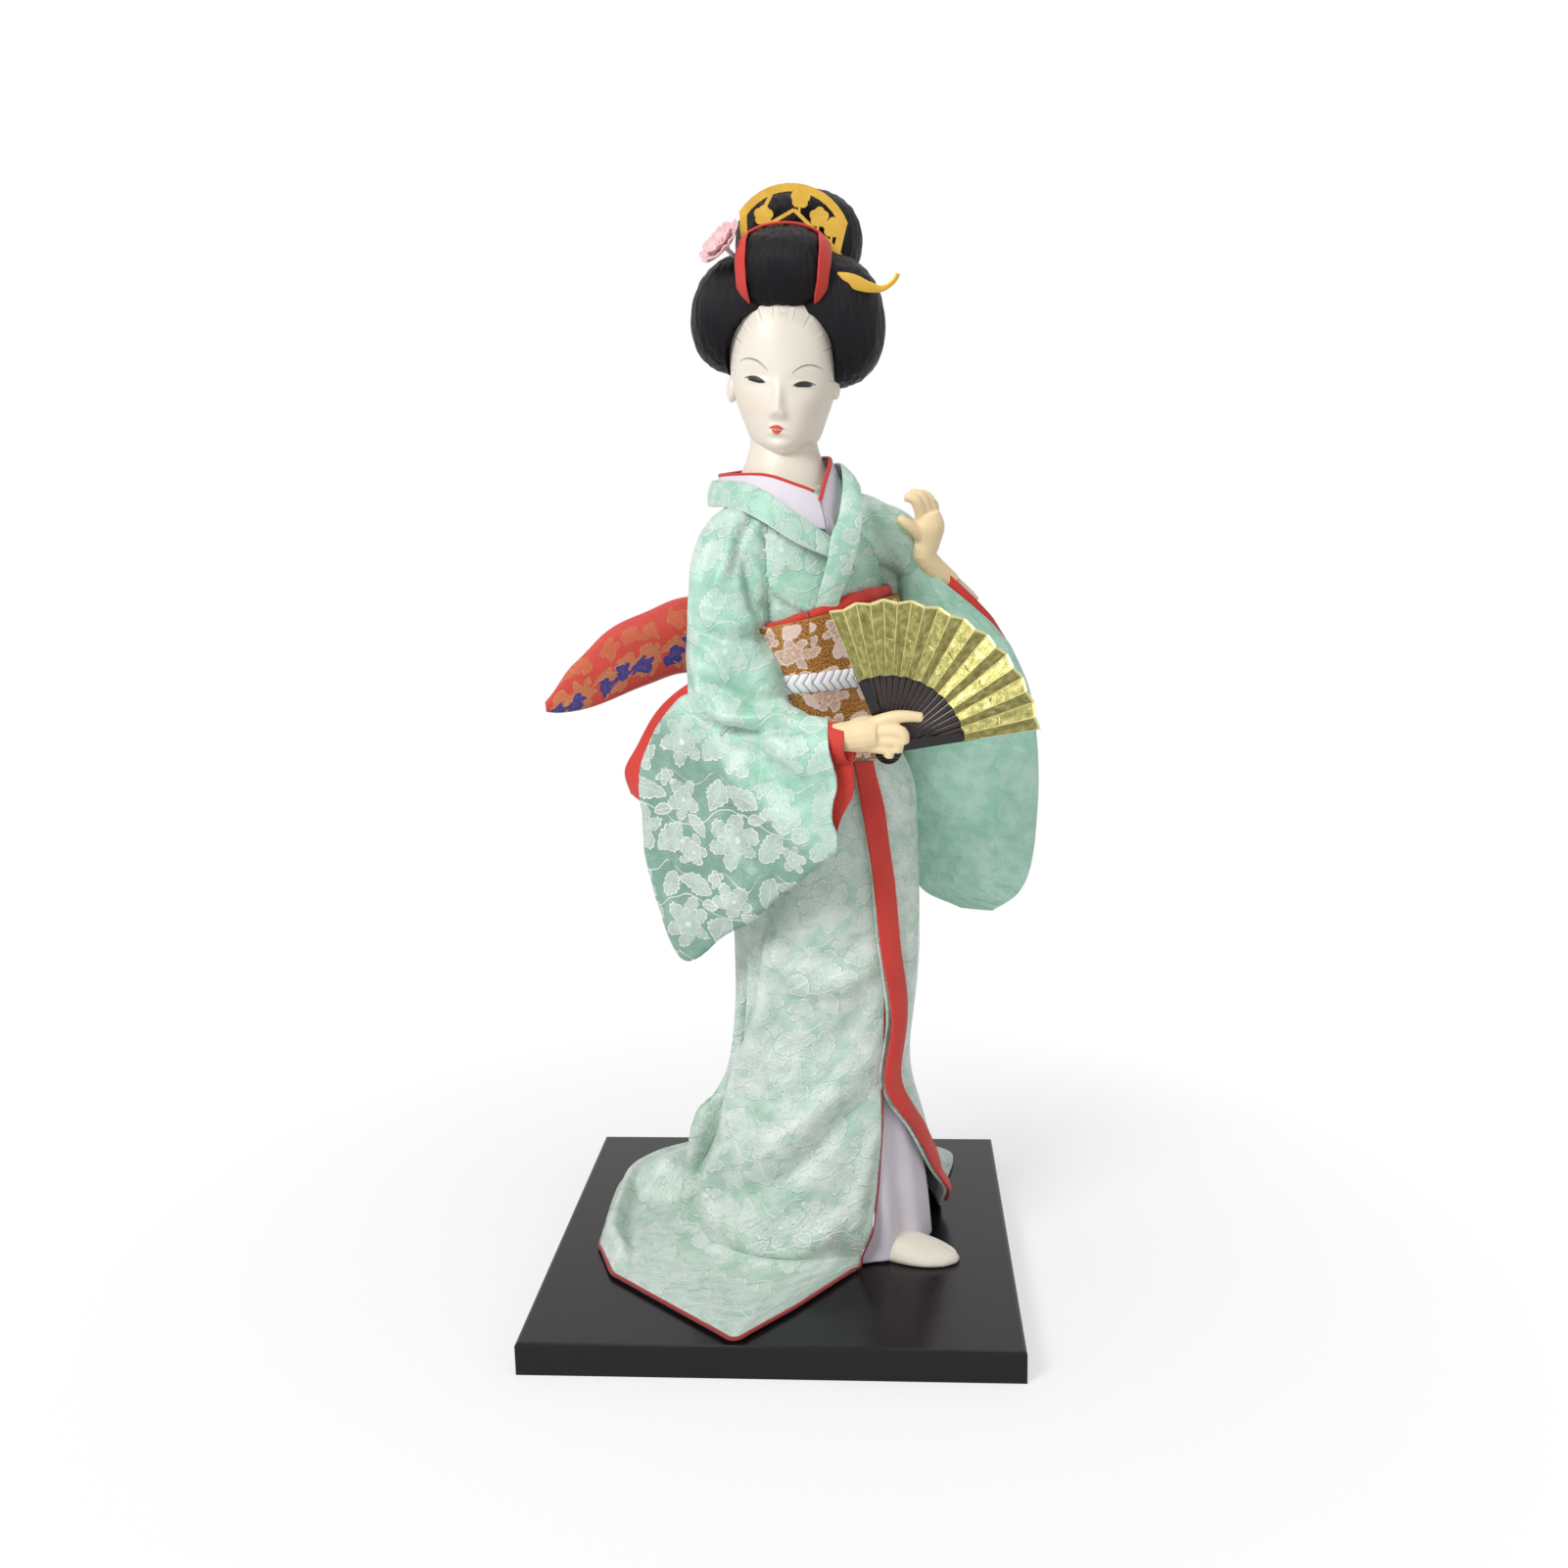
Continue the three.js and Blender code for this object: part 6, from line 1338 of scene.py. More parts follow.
def garment():
    """Bodice and sleeves as one cloth, cut apart at the armholes, with its folds laid in."""
    rows = smooth(RIGHT_TUBE, 70)
    z, x, y, half_x, half_y = [(rows[:, n] * TORSO_LENGTH)[:, None] for n in range(5)]
    angle = full_turn(72)[None]
    right_upper = oval(WAIST[0] + x, WAIST[1] + y, WAIST[2] + z, half_x, half_y, 0, angle, 0)
    forearm = arm_tube(FOREARM, 30, 48)
    left_upper = arm_tube(LEFT_TUBE, 50, 64)
    bottom = WAIST_Z + 0.2 * TORSO_LENGTH
    body = torso_band(bottom, NECK_Z - 0.5, 0, rows=60, columns=120)[::-1]
    bag = right_bag(0, reach=4.0, rows=80, sides=120)
    grids = [body, right_upper, forearm, bag, left_upper]
    solids = [grid_piece(f"solid_{n}", grid, closed=True, ends=True) for n, grid in enumerate(grids)]
    plain, normals, faces = skin_round(solids, SKIN_VOXEL, SKIN_ROUNDS)
    points = plain
    for route, width, depth in GARMENT_FOLDS:
        points = creased(points, normals, route, width, depth)
    for size, depth, seed in ((17, 1.1, 5.3), (9, 1.1, 3.1), (3.4, 0.22, 8.7)):
        points = rough_cloth(points, normals, size, depth, seed)
    owner = labelled(plain[faces].mean(axis=1), grids)
    on_body = np.unique(faces[owner == 0])
    points[on_body] = kept_out(points[on_body])
    points = seamed(points, normals, np.intersect1d(faces[owner == 0], faces[owner != 0]))
    middle = points[faces].mean(axis=1)
    cuff = np.array(CUFF)

    def mouth(height):
        return spline(cuff[:, 1:], place_in(cuff, height))[..., 0]

    away = np.hypot(middle[:, 0] - NECK_X, middle[:, 1] - NECK_Y)
    # Behind the neck only the faces that look up go, so that the wall reaches the collar.
    top = (middle[:, 1] < NECK_Y - 3) | (normals[faces].mean(axis=1)[:, 2] > 0.8)
    front = (middle[:, 2] > NECK_Z - 9) & (away < 1.55 * NECK_RADIUS) & (middle[:, 1] < NECK_Y)
    open_neck = ((middle[:, 2] > NECK_Z - 1.6) & top) | front
    capped = (owner == 0) & (open_neck | (middle[:, 2] < bottom + 1))
    past_left = (owner == 4) & (middle[:, 0] > at_torso(LEFT_TUBE[-1][:3])[0] + 2.5)
    right = (owner > 0) & (owner < 4)
    for name, chosen, finish, node, width, length, held, share in (
        ("bodice_cloth", (owner == 0) & ~capped, MINT, "kimono_bodice", 135, 58, "stretched", 0.69),
        ("sleeve_right_cloth", right, MINT_SLEEVE, "sleeve_right", 100, 130, "hung", 0.85),
        ("sleeve_left_upper", (owner == 4) & ~past_left, MINT, None, 48, 34, "stretched", 0.72),
    ):
        piece = cut_from(name, points, faces[chosen])
        if finish is MINT_SLEEVE:
            cut_at(piece, mouth)
            used = np.array([vertex.co for vertex in piece.data.vertices]) / MM
            masked(piece, "satin", 1 - smoothstep(bag_share(used), 0.0, 1.0))
        thickened(piece, 0.8 * CLOTH, -1)
        shown(piece, finish, "doll", "mint_brocade", *([node] if node else []))
        cut_cloth(width, length, share)


def bag_share(points):
    """1 on the bag's plain hanging part, falling to 0 over the arm and along the cuff."""
    past = (points[:, 0] + 10) * 0.66 + (points[:, 2] - 146) * 0.75
    return 1 - smoothstep(past, -5, 9)


# The lining round the right wrist: radius, and route as shares of the torso.
WRIST_LINING = 5.2
WRIST_ROUTE = [[0.035, -0.468, 0.106], [0.08, -0.484, 0.11], [0.128, -0.5, 0.112]]


def right_sleeve():
    lining = right_bag(CLOTH + 6 * GAP, 7.1, 0, 24)
    height = lining[-1, :, 2]
    share = (height - height.min()) / (height.max() - height.min())
    reach = 1.0 + 5.4 * smoothstep(share, 0.0, 0.75)
    reach = reach + 1.0 * bump(share, 0.45, 0.15) - 0.8 * bump(share, 0.72, 0.1)
    out = np.linspace(0, 1, 9)[1:, None, None]
    way = np.array([1.0, -0.12, 0.0])
    lip = lining[-1:] + way * (reach[None, :, None] * out)
    lining = wrinkles(np.concatenate([lining, lip]), 9, 0.45, 14)
    inner = thickened(grid_piece("sleeve_right_lining", lining, closed=True), LINING * 0.7, -1)
    route = at_torso(spline(WRIST_ROUTE, np.linspace(0, 2, 24)))
    ring = wrinkles(tube_grid(route, WRIST_LINING, 60, up=(0, 1, 0.2)), 7, 0.4, 16)
    wrist = thickened(grid_piece("wrist_lining", ring, closed=True), LINING * 0.7)
    inner = joined("sleeve_right_lining", [inner, wrist])
    shown(inner, RED, "doll", "red_cloth", "sleeve_lining_right")
    cut_cloth(16, 2 * 42)
    edge = spline(np.array([at_torso([x, y, z]) for x, z, y in BACK_EDGE]), np.linspace(0, 4, 50))
    inward = np.array([0.15, -0.13, -0.06]) * TORSO_LENGTH
    strip = edge[:, None] + inward * np.linspace(0, 0.5, 12)[None, :, None]
    strip = wrinkles(strip, 8, 0.6, 15)
    fin = thickened(grid_piece("sleeve_right_edge", strip), LINING * 0.7)
    shown(fin, RED, "doll", "red_cloth", "sleeve_edge_right")
    cut_cloth(10, 34)


garment()
right_sleeve()


def left_sleeve():
    grid = wrinkles(left_bag(0), 22, 1.4, 23, (1, 1, 0.5))
    grid = wrinkles(grid, 7, 0.3, 24, (1, 1, 0.5))
    bag = thickened(grid_piece("sleeve_left_bag", grid, closed=True), CLOTH * 0.7, 1)
    shown(bag, MINT_BACK, "doll", "mint_brocade", "sleeve_left")
    cut_cloth(38, 2 * 98)
    lining = left_bag(CLOTH + GAP, 4, 4 * LINING, 40)
    inner = thickened(grid_piece("sleeve_left_lining", lining, closed=True), LINING * 0.7, 1)
    shown(inner, RED, "doll", "red_cloth", "sleeve_lining_left")
    cut_cloth(34, 2 * 30)


left_sleeve()

# Cloth under the left arm, from bodice to bag: top X, Y, Z, bottom X, Y, Z, as shares of the torso.
UNDERARM = [
    [0.13, 0.04, 0.77, 0.15, 0.06, 0.5], [0.2, 0.07, 0.76, 0.205, 0.09, 0.47],
    [0.255, 0.1, 0.74, 0.25, 0.14, 0.42], [0.3, 0.125, 0.72, 0.29, 0.13, 0.38],
    [0.345, 0.145, 0.7, 0.325, 0.15, 0.36],
]


def underarm():
    rows = smooth(UNDERARM, 40)
    top, bottom = at_torso(rows[:, :3]), at_torso(rows[:, 3:])
    drop = np.linspace(0, 1, 44)[:, None, None]
    grid = wrinkles(top + (bottom - top) * drop, 8, 0.7, 27, (1, 1, 0.4))
    piece = thickened(grid_piece("sleeve_left_underarm", grid), CLOTH * 0.7)
    shown(piece, MINT, "doll", "mint_brocade")
    cut_cloth(17, 23)


underarm()


# Collars

# Collars along their length: upper X, Y, Z, lower X, Y, Z, as shares of the torso.
UNDER_COLLAR = [
    [0.053, -0.193, 0.853, 0.1, -0.173, 0.76], [0.025, -0.195, 0.928, 0.06, -0.2, 0.813],
    [-0.071, -0.207, 0.972, -0.06, -0.24, 0.84], [-0.164, -0.18, 1.001, -0.18, -0.22, 0.893],
    [-0.272, -0.093, 1.007, -0.293, -0.127, 0.92], [-0.34, 0.013, 1.007, -0.347, 0.007, 0.92],
    [-0.333, 0.133, 1.013, -0.333, 0.147, 0.92], [-0.247, 0.213, 1.027, -0.233, 0.233, 0.92],
    [-0.113, 0.207, 1.047, -0.087, 0.22, 0.933], [0, 0.127, 1.06, 0.033, 0.133, 0.947],
    [0.053, 0.027, 1.06, 0.093, 0.033, 0.947], [0.063, -0.067, 1.04, 0.093, -0.08, 0.92],
    [0.047, -0.147, 0.98, 0.073, -0.167, 0.853], [0.031, -0.213, 0.913, 0.053, -0.221, 0.787],
]
COLLAR = [
    [0.113, -0.2, 0.747, 0.153, -0.18, 0.667], [0.048, -0.231, 0.801, 0.087, -0.227, 0.713],
    [-0.053, -0.257, 0.871, -0.053, -0.275, 0.78], [-0.147, -0.227, 0.94, -0.167, -0.26, 0.853],
    [-0.243, -0.167, 0.981, -0.267, -0.193, 0.9], [-0.34, -0.047, 0.987, -0.36, -0.053, 0.907],
    [-0.373, 0.08, 0.993, -0.387, 0.087, 0.913], [-0.327, 0.2, 1, -0.333, 0.22, 0.92],
    [-0.207, 0.26, 1.013, -0.2, 0.28, 0.933], [-0.06, 0.233, 1.033, -0.04, 0.253, 0.947],
    [0.047, 0.133, 1.044, 0.08, 0.147, 0.96], [0.093, 0.027, 1.044, 0.14, 0.033, 0.967],
    [0.105, -0.08, 1.023, 0.16, -0.087, 0.967], [0.109, -0.16, 0.952, 0.167, -0.16, 0.92],
    [0.095, -0.213, 0.857, 0.169, -0.197, 0.847], [0.072, -0.256, 0.797, 0.156, -0.227, 0.767],
    [0.055, -0.262, 0.703, 0.132, -0.243, 0.68], [0.025, -0.255, 0.6, 0.097, -0.245, 0.6],
    [0, -0.24, 0.5, 0.07, -0.23, 0.5],
]


def band(rows, columns, count, puff):
    """A strip between the two edges that a collar's table gives, puffed in the middle."""
    rows = smooth(rows, count)
    top, bottom = at_torso(rows[:, :3]), at_torso(rows[:, 3:])
    share = np.linspace(0, 1, columns)[None, :, None]
    grid = top[:, None] * (1 - share) + bottom[:, None] * share
    return grid + normals_of(grid) * np.sin(share * math.pi) * puff


def collars():
    white = band(UNDER_COLLAR, 16, 150, 0.35)
    piece = grid_piece("under_collar_cloth", folded(white, 0.7))
    shown(piece, WHITE, "doll", "white_cloth", "under_collar")
    cut_cloth(18, 145)
    up = unit(white[:, 0] - white[:, 2])
    piping = tube_piece("under_collar_red_piping", (white[:, 0] + up * 0.55)[14:], 0.55, 10)
    shown(piping, RED, "doll", "red_cloth", "under_collar_piping")
    green = band(COLLAR, 18, 190, 0.5)
    piece = grid_piece("collar_cloth", folded(green, 0.8))
    shown(piece, MINT, "doll", "mint_brocade", "kimono_collar")
    cut_cloth(14, 165)
    for name, side in (("collar_piping_top", 0), ("collar_piping_low", -1)):
        line = tube_piece(name, green[:, side], 0.32, 8)
        shown(line, PIPING, "doll", "mint_brocade")


collars()


# Sash, scarf, cord and bow

OBI_BOTTOM = WAIST_Z + 0.01 * TORSO_LENGTH
OBI_FACE = CLOTH + 2 * GAP + OBI_THICKNESS
# Stitches along the braid, and how far they stand out.
CORD_STITCHES = 62
BRAID_RELIEF = 0.32


def braid_side(grid, route):
    """1 where the grid's normals point away from its route, else -1."""
    return 1 if (normals_of(grid) * (grid - route[:, None])).sum() > 0 else -1


def sash():
    grid = torso_band(OBI_BOTTOM, OBI_BOTTOM + OBI_HEIGHT, OBI_FACE, 0, OBI_TILT, 60, 200)[::-1]
    grid = wrinkles(grid, 16, 0.5, 31)
    piece = thickened(grid_piece("obi_cloth", grid, closed=True), OBI_THICKNESS * 0.8, -1)
    shown(piece, GOLD_BROCADE, "doll", "gold_brocade", "obi")
    cut_cloth(145, OBI_HEIGHT)
    angle = full_turn(260)
    tilt = 1.25 * OBI_TILT
    height = OBI_BOTTOM + OBI_HEIGHT - 0.05 * SCARF_HEIGHT - np.sin(angle) * 0.27 * TORSO_LENGTH * tilt
    route = torso_point(angle, height, OBI_FACE / 2)
    spread = 1 + 0.55 * bump(np.degrees(angle), 320, 26)
    scarf = tube_grid(route, spread * SCARF_HEIGHT / 2, 24, SCARF_THICKNESS * 1.4 / SCARF_HEIGHT)
    scarf = wrinkles(scarf, 5, 0.5, 33)
    piece = grid_piece("scarf_cloth", scarf, closed=True)
    shown(piece, RED, "doll", "red_cloth", "obi_scarf")
    height = OBI_BOTTOM + 0.56 * OBI_HEIGHT - np.sin(angle) * 0.27 * TORSO_LENGTH * 0.35 * OBI_TILT
    centre = torso_point(angle, height, OBI_FACE + GAP + CORD_THICKNESS / 2)
    route = spline(np.concatenate([centre, centre[:1]]), np.linspace(0, len(centre), 1300))[:-1]
    along = np.linspace(0, 1, len(route))[:, None] * CORD_STITCHES
    turn_round = full_turn(40)[None]
    chevron = np.sqrt(np.abs(np.sin(math.pi * (along + 0.75 * np.abs(np.sin(turn_round))))))
    braid = tube_grid(route, CORD_HEIGHT / 2, 40, 0.85 * CORD_THICKNESS / CORD_HEIGHT)
    braid = braid + normals_of(braid) * (chevron * BRAID_RELIEF)[..., None] * braid_side(braid, route)
    uv = stacked(along, np.abs(np.sin(turn_round)))
    piece = grid_piece("cord_braid", braid, closed=True, uv=uv)
    shown(piece, BRAID, "doll", "white_braid", "obi_cord")


sash()

BOW_CENTRE = at_torso([-0.15, 0.27, 0.42])
# A wing from knot to tip: reach, lift, half height and half depth, as shares of the bow.
WING = [
    [0.06, 0, 0.3, 0.3], [0.16, 0.02, 0.44, 0.5], [0.3, 0.06, 0.5, 0.5], [0.45, 0.03, 0.5, 0.46],
    [0.58, -0.12, 0.5, 0.4], [0.72, -0.32, 0.47, 0.32], [0.84, -0.52, 0.37, 0.22],
    [0.94, -0.72, 0.2, 0.12], [1, -0.84, 0.05, 0.05],
]
# The knot's rows: height, half width and half depth.
KNOT = [[-0.5, 0.7, 0.6], [-0.35, 0.95, 1], [0, 1, 1.1], [0.35, 0.95, 1], [0.5, 0.7, 0.6]]


def bow():
    for side, name, node in ((-1, "wing_right", "bow_wing_right"), (1, "wing_left", "bow_wing_left")):
        way = np.array([side * math.cos(BOW_YAW), side * math.sin(BOW_YAW), 0])
        deep = np.array([-math.sin(BOW_YAW), math.cos(BOW_YAW), 0])
        reach, lift, half, depth = smooth(WING, 90).T
        centre = BOW_CENTRE + way * (reach * BOW_LENGTH)[:, None]
        centre[:, 2] += lift * BOW_HEIGHT
        angle = full_turn(110)
        edge = blunt(np.sin(angle), 0.8)
        grid = centre[:, None] + deep * (edge * (depth * BOW_THICKNESS)[:, None])[..., None]
        grid[..., 2] += np.cos(angle) * (half * BOW_HEIGHT)[:, None]
        grid = wrinkles(grid, 14, 1.1, 41 + side, (0.5, 1, 1.6))
        grid = grid[:, ::side]
        height = grid[..., 2] - centre[:, None, 2]
        uv = stacked((reach * BOW_LENGTH)[:, None], height)
        piece = grid_piece(name, grid, closed=True, uv=uv, ends=True)
        shown(piece, RED_BROCADE, "doll", "red_brocade", node)
    rows = smooth(KNOT, 50)
    angle = full_turn(80)[None]
    x, y, z = BOW_CENTRE
    z = z + rows[:, :1] * 25
    grid = oval(x, y, z, rows[:, 1:2] * 6, rows[:, 2:] * 8, BOW_YAW, angle, 0)
    knot = grid_piece("knot_cloth", wrinkles(grid, 6, 0.7, 43)[::-1], closed=True, ends=True)
    shown(knot, RED_BROCADE, "doll", "red_brocade", "bow_knot")


bow()


# Head

# The head from the chin up: height, half width, front and back, as shares.
HEAD = [
    [0, 0.1, 0.3, -0.1], [0.03, 0.2, 0.4, 0.05], [0.09, 0.31, 0.455, 0.2], [0.2, 0.385, 0.48, 0.32],
    [0.31, 0.45, 0.485, 0.41], [0.43, 0.49, 0.485, 0.47], [0.56, 0.5, 0.48, 0.5],
    [0.68, 0.485, 0.455, 0.5], [0.8, 0.43, 0.385, 0.46], [0.91, 0.31, 0.26, 0.35],
    [0.98, 0.14, 0.1, 0.17], [1, 0.04, 0.03, 0.05],
]
FACE_LEAN = -0.03
BUST_LIFT = -CLOTH
FACE_TURN, FACE_TURN_AT = math.radians(4.5), 14


def face_relief(x, z):
    """How far the face stands out at a place on it, in millimetres; x from its middle, z above the chin."""
    ridge = np.exp(-((x / (1.5 + 0.6 * bump(z, 10.5, 2.2))) ** 2)) * (
        smoothstep(z, 8.2, 11.2) * (1 - smoothstep(z, 11.0, 21)) * 2.2
    )
    nostrils = sum(bump(x, s * 1.45, 0.8) * bump(z, 10.2, 0.9) * 0.5 for s in (-1, 1))
    sockets = sum(bump(x, s * 6.1, 3.6) * bump(z, 18.6, 2.4) * -0.8 for s in (-1, 1))
    lids = sum(bump(x, s * 6.1, 2.8) * bump(z, 18.4, 0.9) * 0.7 for s in (-1, 1))
    lips = bump(x, 0, 1.8) * (bump(z, 6.9, 0.6) * 0.7 + bump(z, 5.6, 0.7) * 0.8 - bump(z, 6.25, 0.3) * 0.6)
    chin = bump(x, 0, 3.2) * bump(z, 1.9, 2.0) * 0.8
    below_lip = bump(x, 0, 3.0) * bump(z, 4.1, 0.8) * -0.4
    cheeks = sum(bump(x, s * 7.0, 4.2) * bump(z, 11.5, 4.5) * 0.5 for s in (-1, 1))
    return ridge + nostrils + sockets + lids + lips + chin + below_lip + cheeks


def segment(x, z, ends, width):
    """1 near the curve through three points, fading at its sides."""
    a, b, c = [np.array(p, float) for p in ends]
    near = np.full(x.shape, 1e9)
    for t in np.linspace(0, 1, 60):
        p = a * (1 - t) ** 2 + b * 2 * t * (1 - t) + c * t**2
        thick = width * (0.35 + 0.65 * math.sin(math.pi * min(max(t, 0.03), 0.97)))
        near = np.minimum(near, np.hypot(x - p[0], z - p[1]) / thick)
    return np.clip((1.25 - near) / 0.5, 0, 1)


def face_marks(x, z):
    """Masks of what is painted on the face, from places in millimetres."""
    eyes = np.zeros(x.shape)
    lashes = np.zeros(x.shape)
    brows = np.zeros(x.shape)
    for s, tilt in ((-1, 0.14), (1, -0.14)):
        u = x - s * 6.2
        w = z - 18.2 + u * tilt
        almond = 1 - (u / 2.45) ** 2 - np.where(w > 0, w / 0.8, w / 0.5) ** 2
        eyes = np.maximum(eyes, np.clip(almond / 0.25, 0, 1))
        lash = segment(x, z, [(s * 3.7, 17.9), (s * 6.2, 19.8), (s * 9.2, 18.8)], 0.34)
        brow = segment(x, z, [(s * 3.2, 20.9), (s * 6.8, 24.9), (s * 10.8, 23.0)], 0.24)
        lashes = np.maximum(lashes, lash)
        brows = np.maximum(brows, brow)
    upper = segment(x, z, [(-1.7, 6.7), (0, 7.4), (1.6, 6.7)], 0.5)
    lower = segment(x, z, [(-1.1, 6.2), (0, 5.2), (1.1, 6.2)], 0.55)
    lips = np.maximum(upper, lower)
    blush = sum(bump(x, s * 7.6, 3.6) * bump(z, 12.2, 3.6) for s in (-1, 1)) * 0.22
    way = np.arctan2(x, z - 20)
    reach = np.hypot(x / 13.4, (z - 20) / 15.2)
    hairs = np.clip(np.abs(np.sin(way * 74 + 2.5 * np.sin(way * 23))) * 6 - 5.1, 0, 1)
    hairline = hairs * smoothstep(reach, 0.86, 1.04) * (z > 20) * 0.45
    return {
        "eyes": eyes, "lashes": lashes, "brows": brows,
        "lips": lips, "blush": blush, "hairline": hairline,
    }


# The neck from below: radius and height, as shares of the neck's own.
NECK = [[1.6, -0.5], [1.58, -0.3], [1.45, -0.1], [1.3, 0.08], [1.14, 0.26], [1.02, 0.45], [0.95, 0.75]]
FACE = np.array([FACE_X, NECK_Y, CHIN_Z])
HEAD_SCALE = np.array([HEAD_WIDTH, HEAD_WIDTH, HEAD_HEIGHT])


def head():
    rows, columns = 380, 420
    t = np.linspace(0, len(HEAD) - 1, rows)
    share, half, front, back = [v[:, None] for v in spline(HEAD, t).T]
    angle = full_turn(columns)[None]
    depth = np.where(np.cos(angle) > 0, -front, back) * HEAD_WIDTH * np.abs(np.cos(angle))
    x = FACE_X - np.sin(angle) * half * HEAD_WIDTH
    z = np.broadcast_to(CHIN_Z + share * HEAD_HEIGHT, x.shape)
    grid = np.stack([x, NECK_Y + depth, z], -1)
    flat_x, flat_z = x - FACE_X - FACE_LEAN * HEAD_WIDTH, z - CHIN_Z - FACE_TURN_AT
    across = flat_x * math.cos(FACE_TURN) - flat_z * math.sin(FACE_TURN)
    up = flat_z * math.cos(FACE_TURN) + flat_x * math.sin(FACE_TURN * 1.7) + FACE_TURN_AT
    facing = smoothstep(np.cos(angle), 0.05, 0.5)
    grid[..., 1] -= face_relief(across, up) * facing
    skull = grid_piece("head_skin", grid[::-1], closed=True, ends=True)
    marks = face_marks(across, up)
    for name, mask in marks.items():
        painted_on = mask * facing
        masked(skull, name, np.concatenate([painted_on, painted_on[:, :1]], axis=1)[::-1])
    paint = painted("face_paint", rgb(231, 223, 208), rgb(238, 231, 217), 0.42, [
        ("blush", rgb(236, 190, 176)), ("hairline", rgb(104, 94, 92)), ("brows", rgb(146, 136, 130)),
        ("lips", rgb(214, 80, 58)), ("eyes", rgb(6, 4, 4)), ("lashes", rgb(20, 13, 12)),
    ])
    shown(skull, paint, "head", "face_paint", "head")
    ring = smooth(NECK, 70)
    around_neck = full_turn(100)[None]
    radius = ring[:, :1] * NECK_RADIUS
    neck = stacked(
        NECK_X - np.sin(around_neck) * radius,
        NECK_Y - np.cos(around_neck) * radius,
        NECK_Z + ring[:, 1:] * NECK_LENGTH,
    )
    piece = grid_piece("neck_skin", neck[::-1], closed=True, ends=True)
    shown(piece, paint, "head", "face_paint")
    bust(paint)
    for side in (-1, 1):
        place = FACE + np.array([side * 0.455 - 0.012, -0.03, 0.385]) * HEAD_SCALE
        ear = ball(*place, *(np.array([0.062, 0.1, 0.085]) * HEAD_SCALE), 2, 40, 30, side * 0.35)
        lobe = grid_piece(f"ear_{'right' if side < 0 else 'left'}", ear, closed=True)
        shown(lobe, paint, "head", "face_paint")


def bust(paint):
    """The painted breast below the neck, which shows in the opening of the collars."""
    angle = full_turn(120)[None]
    height = NECK_Z - 11 + 15.5 * np.linspace(0, 1, 60)[:, None]
    level = np.broadcast_to(np.minimum(height, NECK_Z), (60, 120))
    ring = torso_point(np.broadcast_to(angle, level.shape), level, BUST_LIFT)
    middle = np.array([NECK_X, NECK_Y])
    out = ring[..., :2] - middle
    size = np.linalg.norm(out, axis=-1, keepdims=True)
    shrink = 1 - np.exp(-np.maximum(height - NECK_Z - 0.2, 0) / 1.5)[..., None]
    ring[..., :2] = middle + out / size * (size * (1 - shrink) + 1.07 * NECK_RADIUS * shrink)
    ring[..., 2] = height
    shown(grid_piece("bust_skin", ring[::-1], closed=True), paint, "doll", "face_paint")


def ball(x, y, z, half_x, half_y, half_z, squareness, columns=150, rows=110, lean=0.0):
    """A closed superellipsoid; lean shears it sideways with height."""
    angle = full_turn(columns)[None]
    up = np.linspace(math.pi - 0.01, 0.01, rows)[:, None]
    p = stacked(np.sin(up) * np.sin(angle), np.sin(up) * np.cos(angle), np.cos(up))
    p = p / (np.abs(p) ** squareness).sum(-1, keepdims=True) ** (1 / squareness)
    p[..., 0] -= lean * p[..., 2]
    return np.array([x, y, z]) + p * np.array([half_x, half_y, half_z])


head()


# Hair

# Centre, half sizes as shares of the hair's width and height, and lean.
HAIR_MASSES = {
    "hair_front_roll": [[0.012, -0.05, 0.822], [0.255, 0.26, 0.205], 0],
    "hair_wing_right": [[-0.15, 0.05, 0.656], [0.318, 0.25, 0.28], -0.1],
    "hair_wing_left": [[0.185, 0.05, 0.615], [0.325, 0.25, 0.311], 0.07],
    "hair_topknot": [[0.072, 0.25, 0.997], [0.325, 0.22, 0.242], 0],
    "hair_back_roll": [[0.02, 0.26, 0.6], [0.37, 0.27, 0.3], 0],
}
# How square the hair's masses and the arch for the face are; 2 is round.
SQUARENESS = 2.3
ARCH = 2.25
ARCH_X = FACE_X - 0.03 * HEAD_WIDTH
ARCH_Z = CHIN_Z + 0.43 * HEAD_HEIGHT


def face_clearance(points):
    """Pushes hair sideways and up out of the arched opening for the face."""
    x, y, z = np.moveaxis(points - [ARCH_X, NECK_Y, ARCH_Z], -1, 0)
    flare = 1 + np.clip(-y / HEAD_WIDTH - 0.1, 0, 1) * 0.42
    half = 0.487 * HEAD_WIDTH * flare
    rise = np.where(z > 0, 0.315 * HEAD_HEIGHT * flare, HEAD_HEIGHT)
    size = (np.abs(x / half) ** ARCH + np.abs(z / rise) ** ARCH) ** (1 / ARCH)
    inside = (size < 1) & (y < 0.05 * HEAD_WIDTH)
    push = np.where(inside, 1 / np.maximum(size, 0.3), 1)
    moved = points.copy()
    moved[..., 0] = ARCH_X + x * push
    moved[..., 2] = ARCH_Z + z * np.where(z > 0, push, 1)
    return moved


HAIR_SCALE = np.array([HAIR_WIDTH, HAIR_WIDTH, HAIR_HEIGHT])


def in_hair(shares):
    """A place in the hair, as shares of its width and height from the chin."""
    return FACE + np.array(shares) * HAIR_SCALE


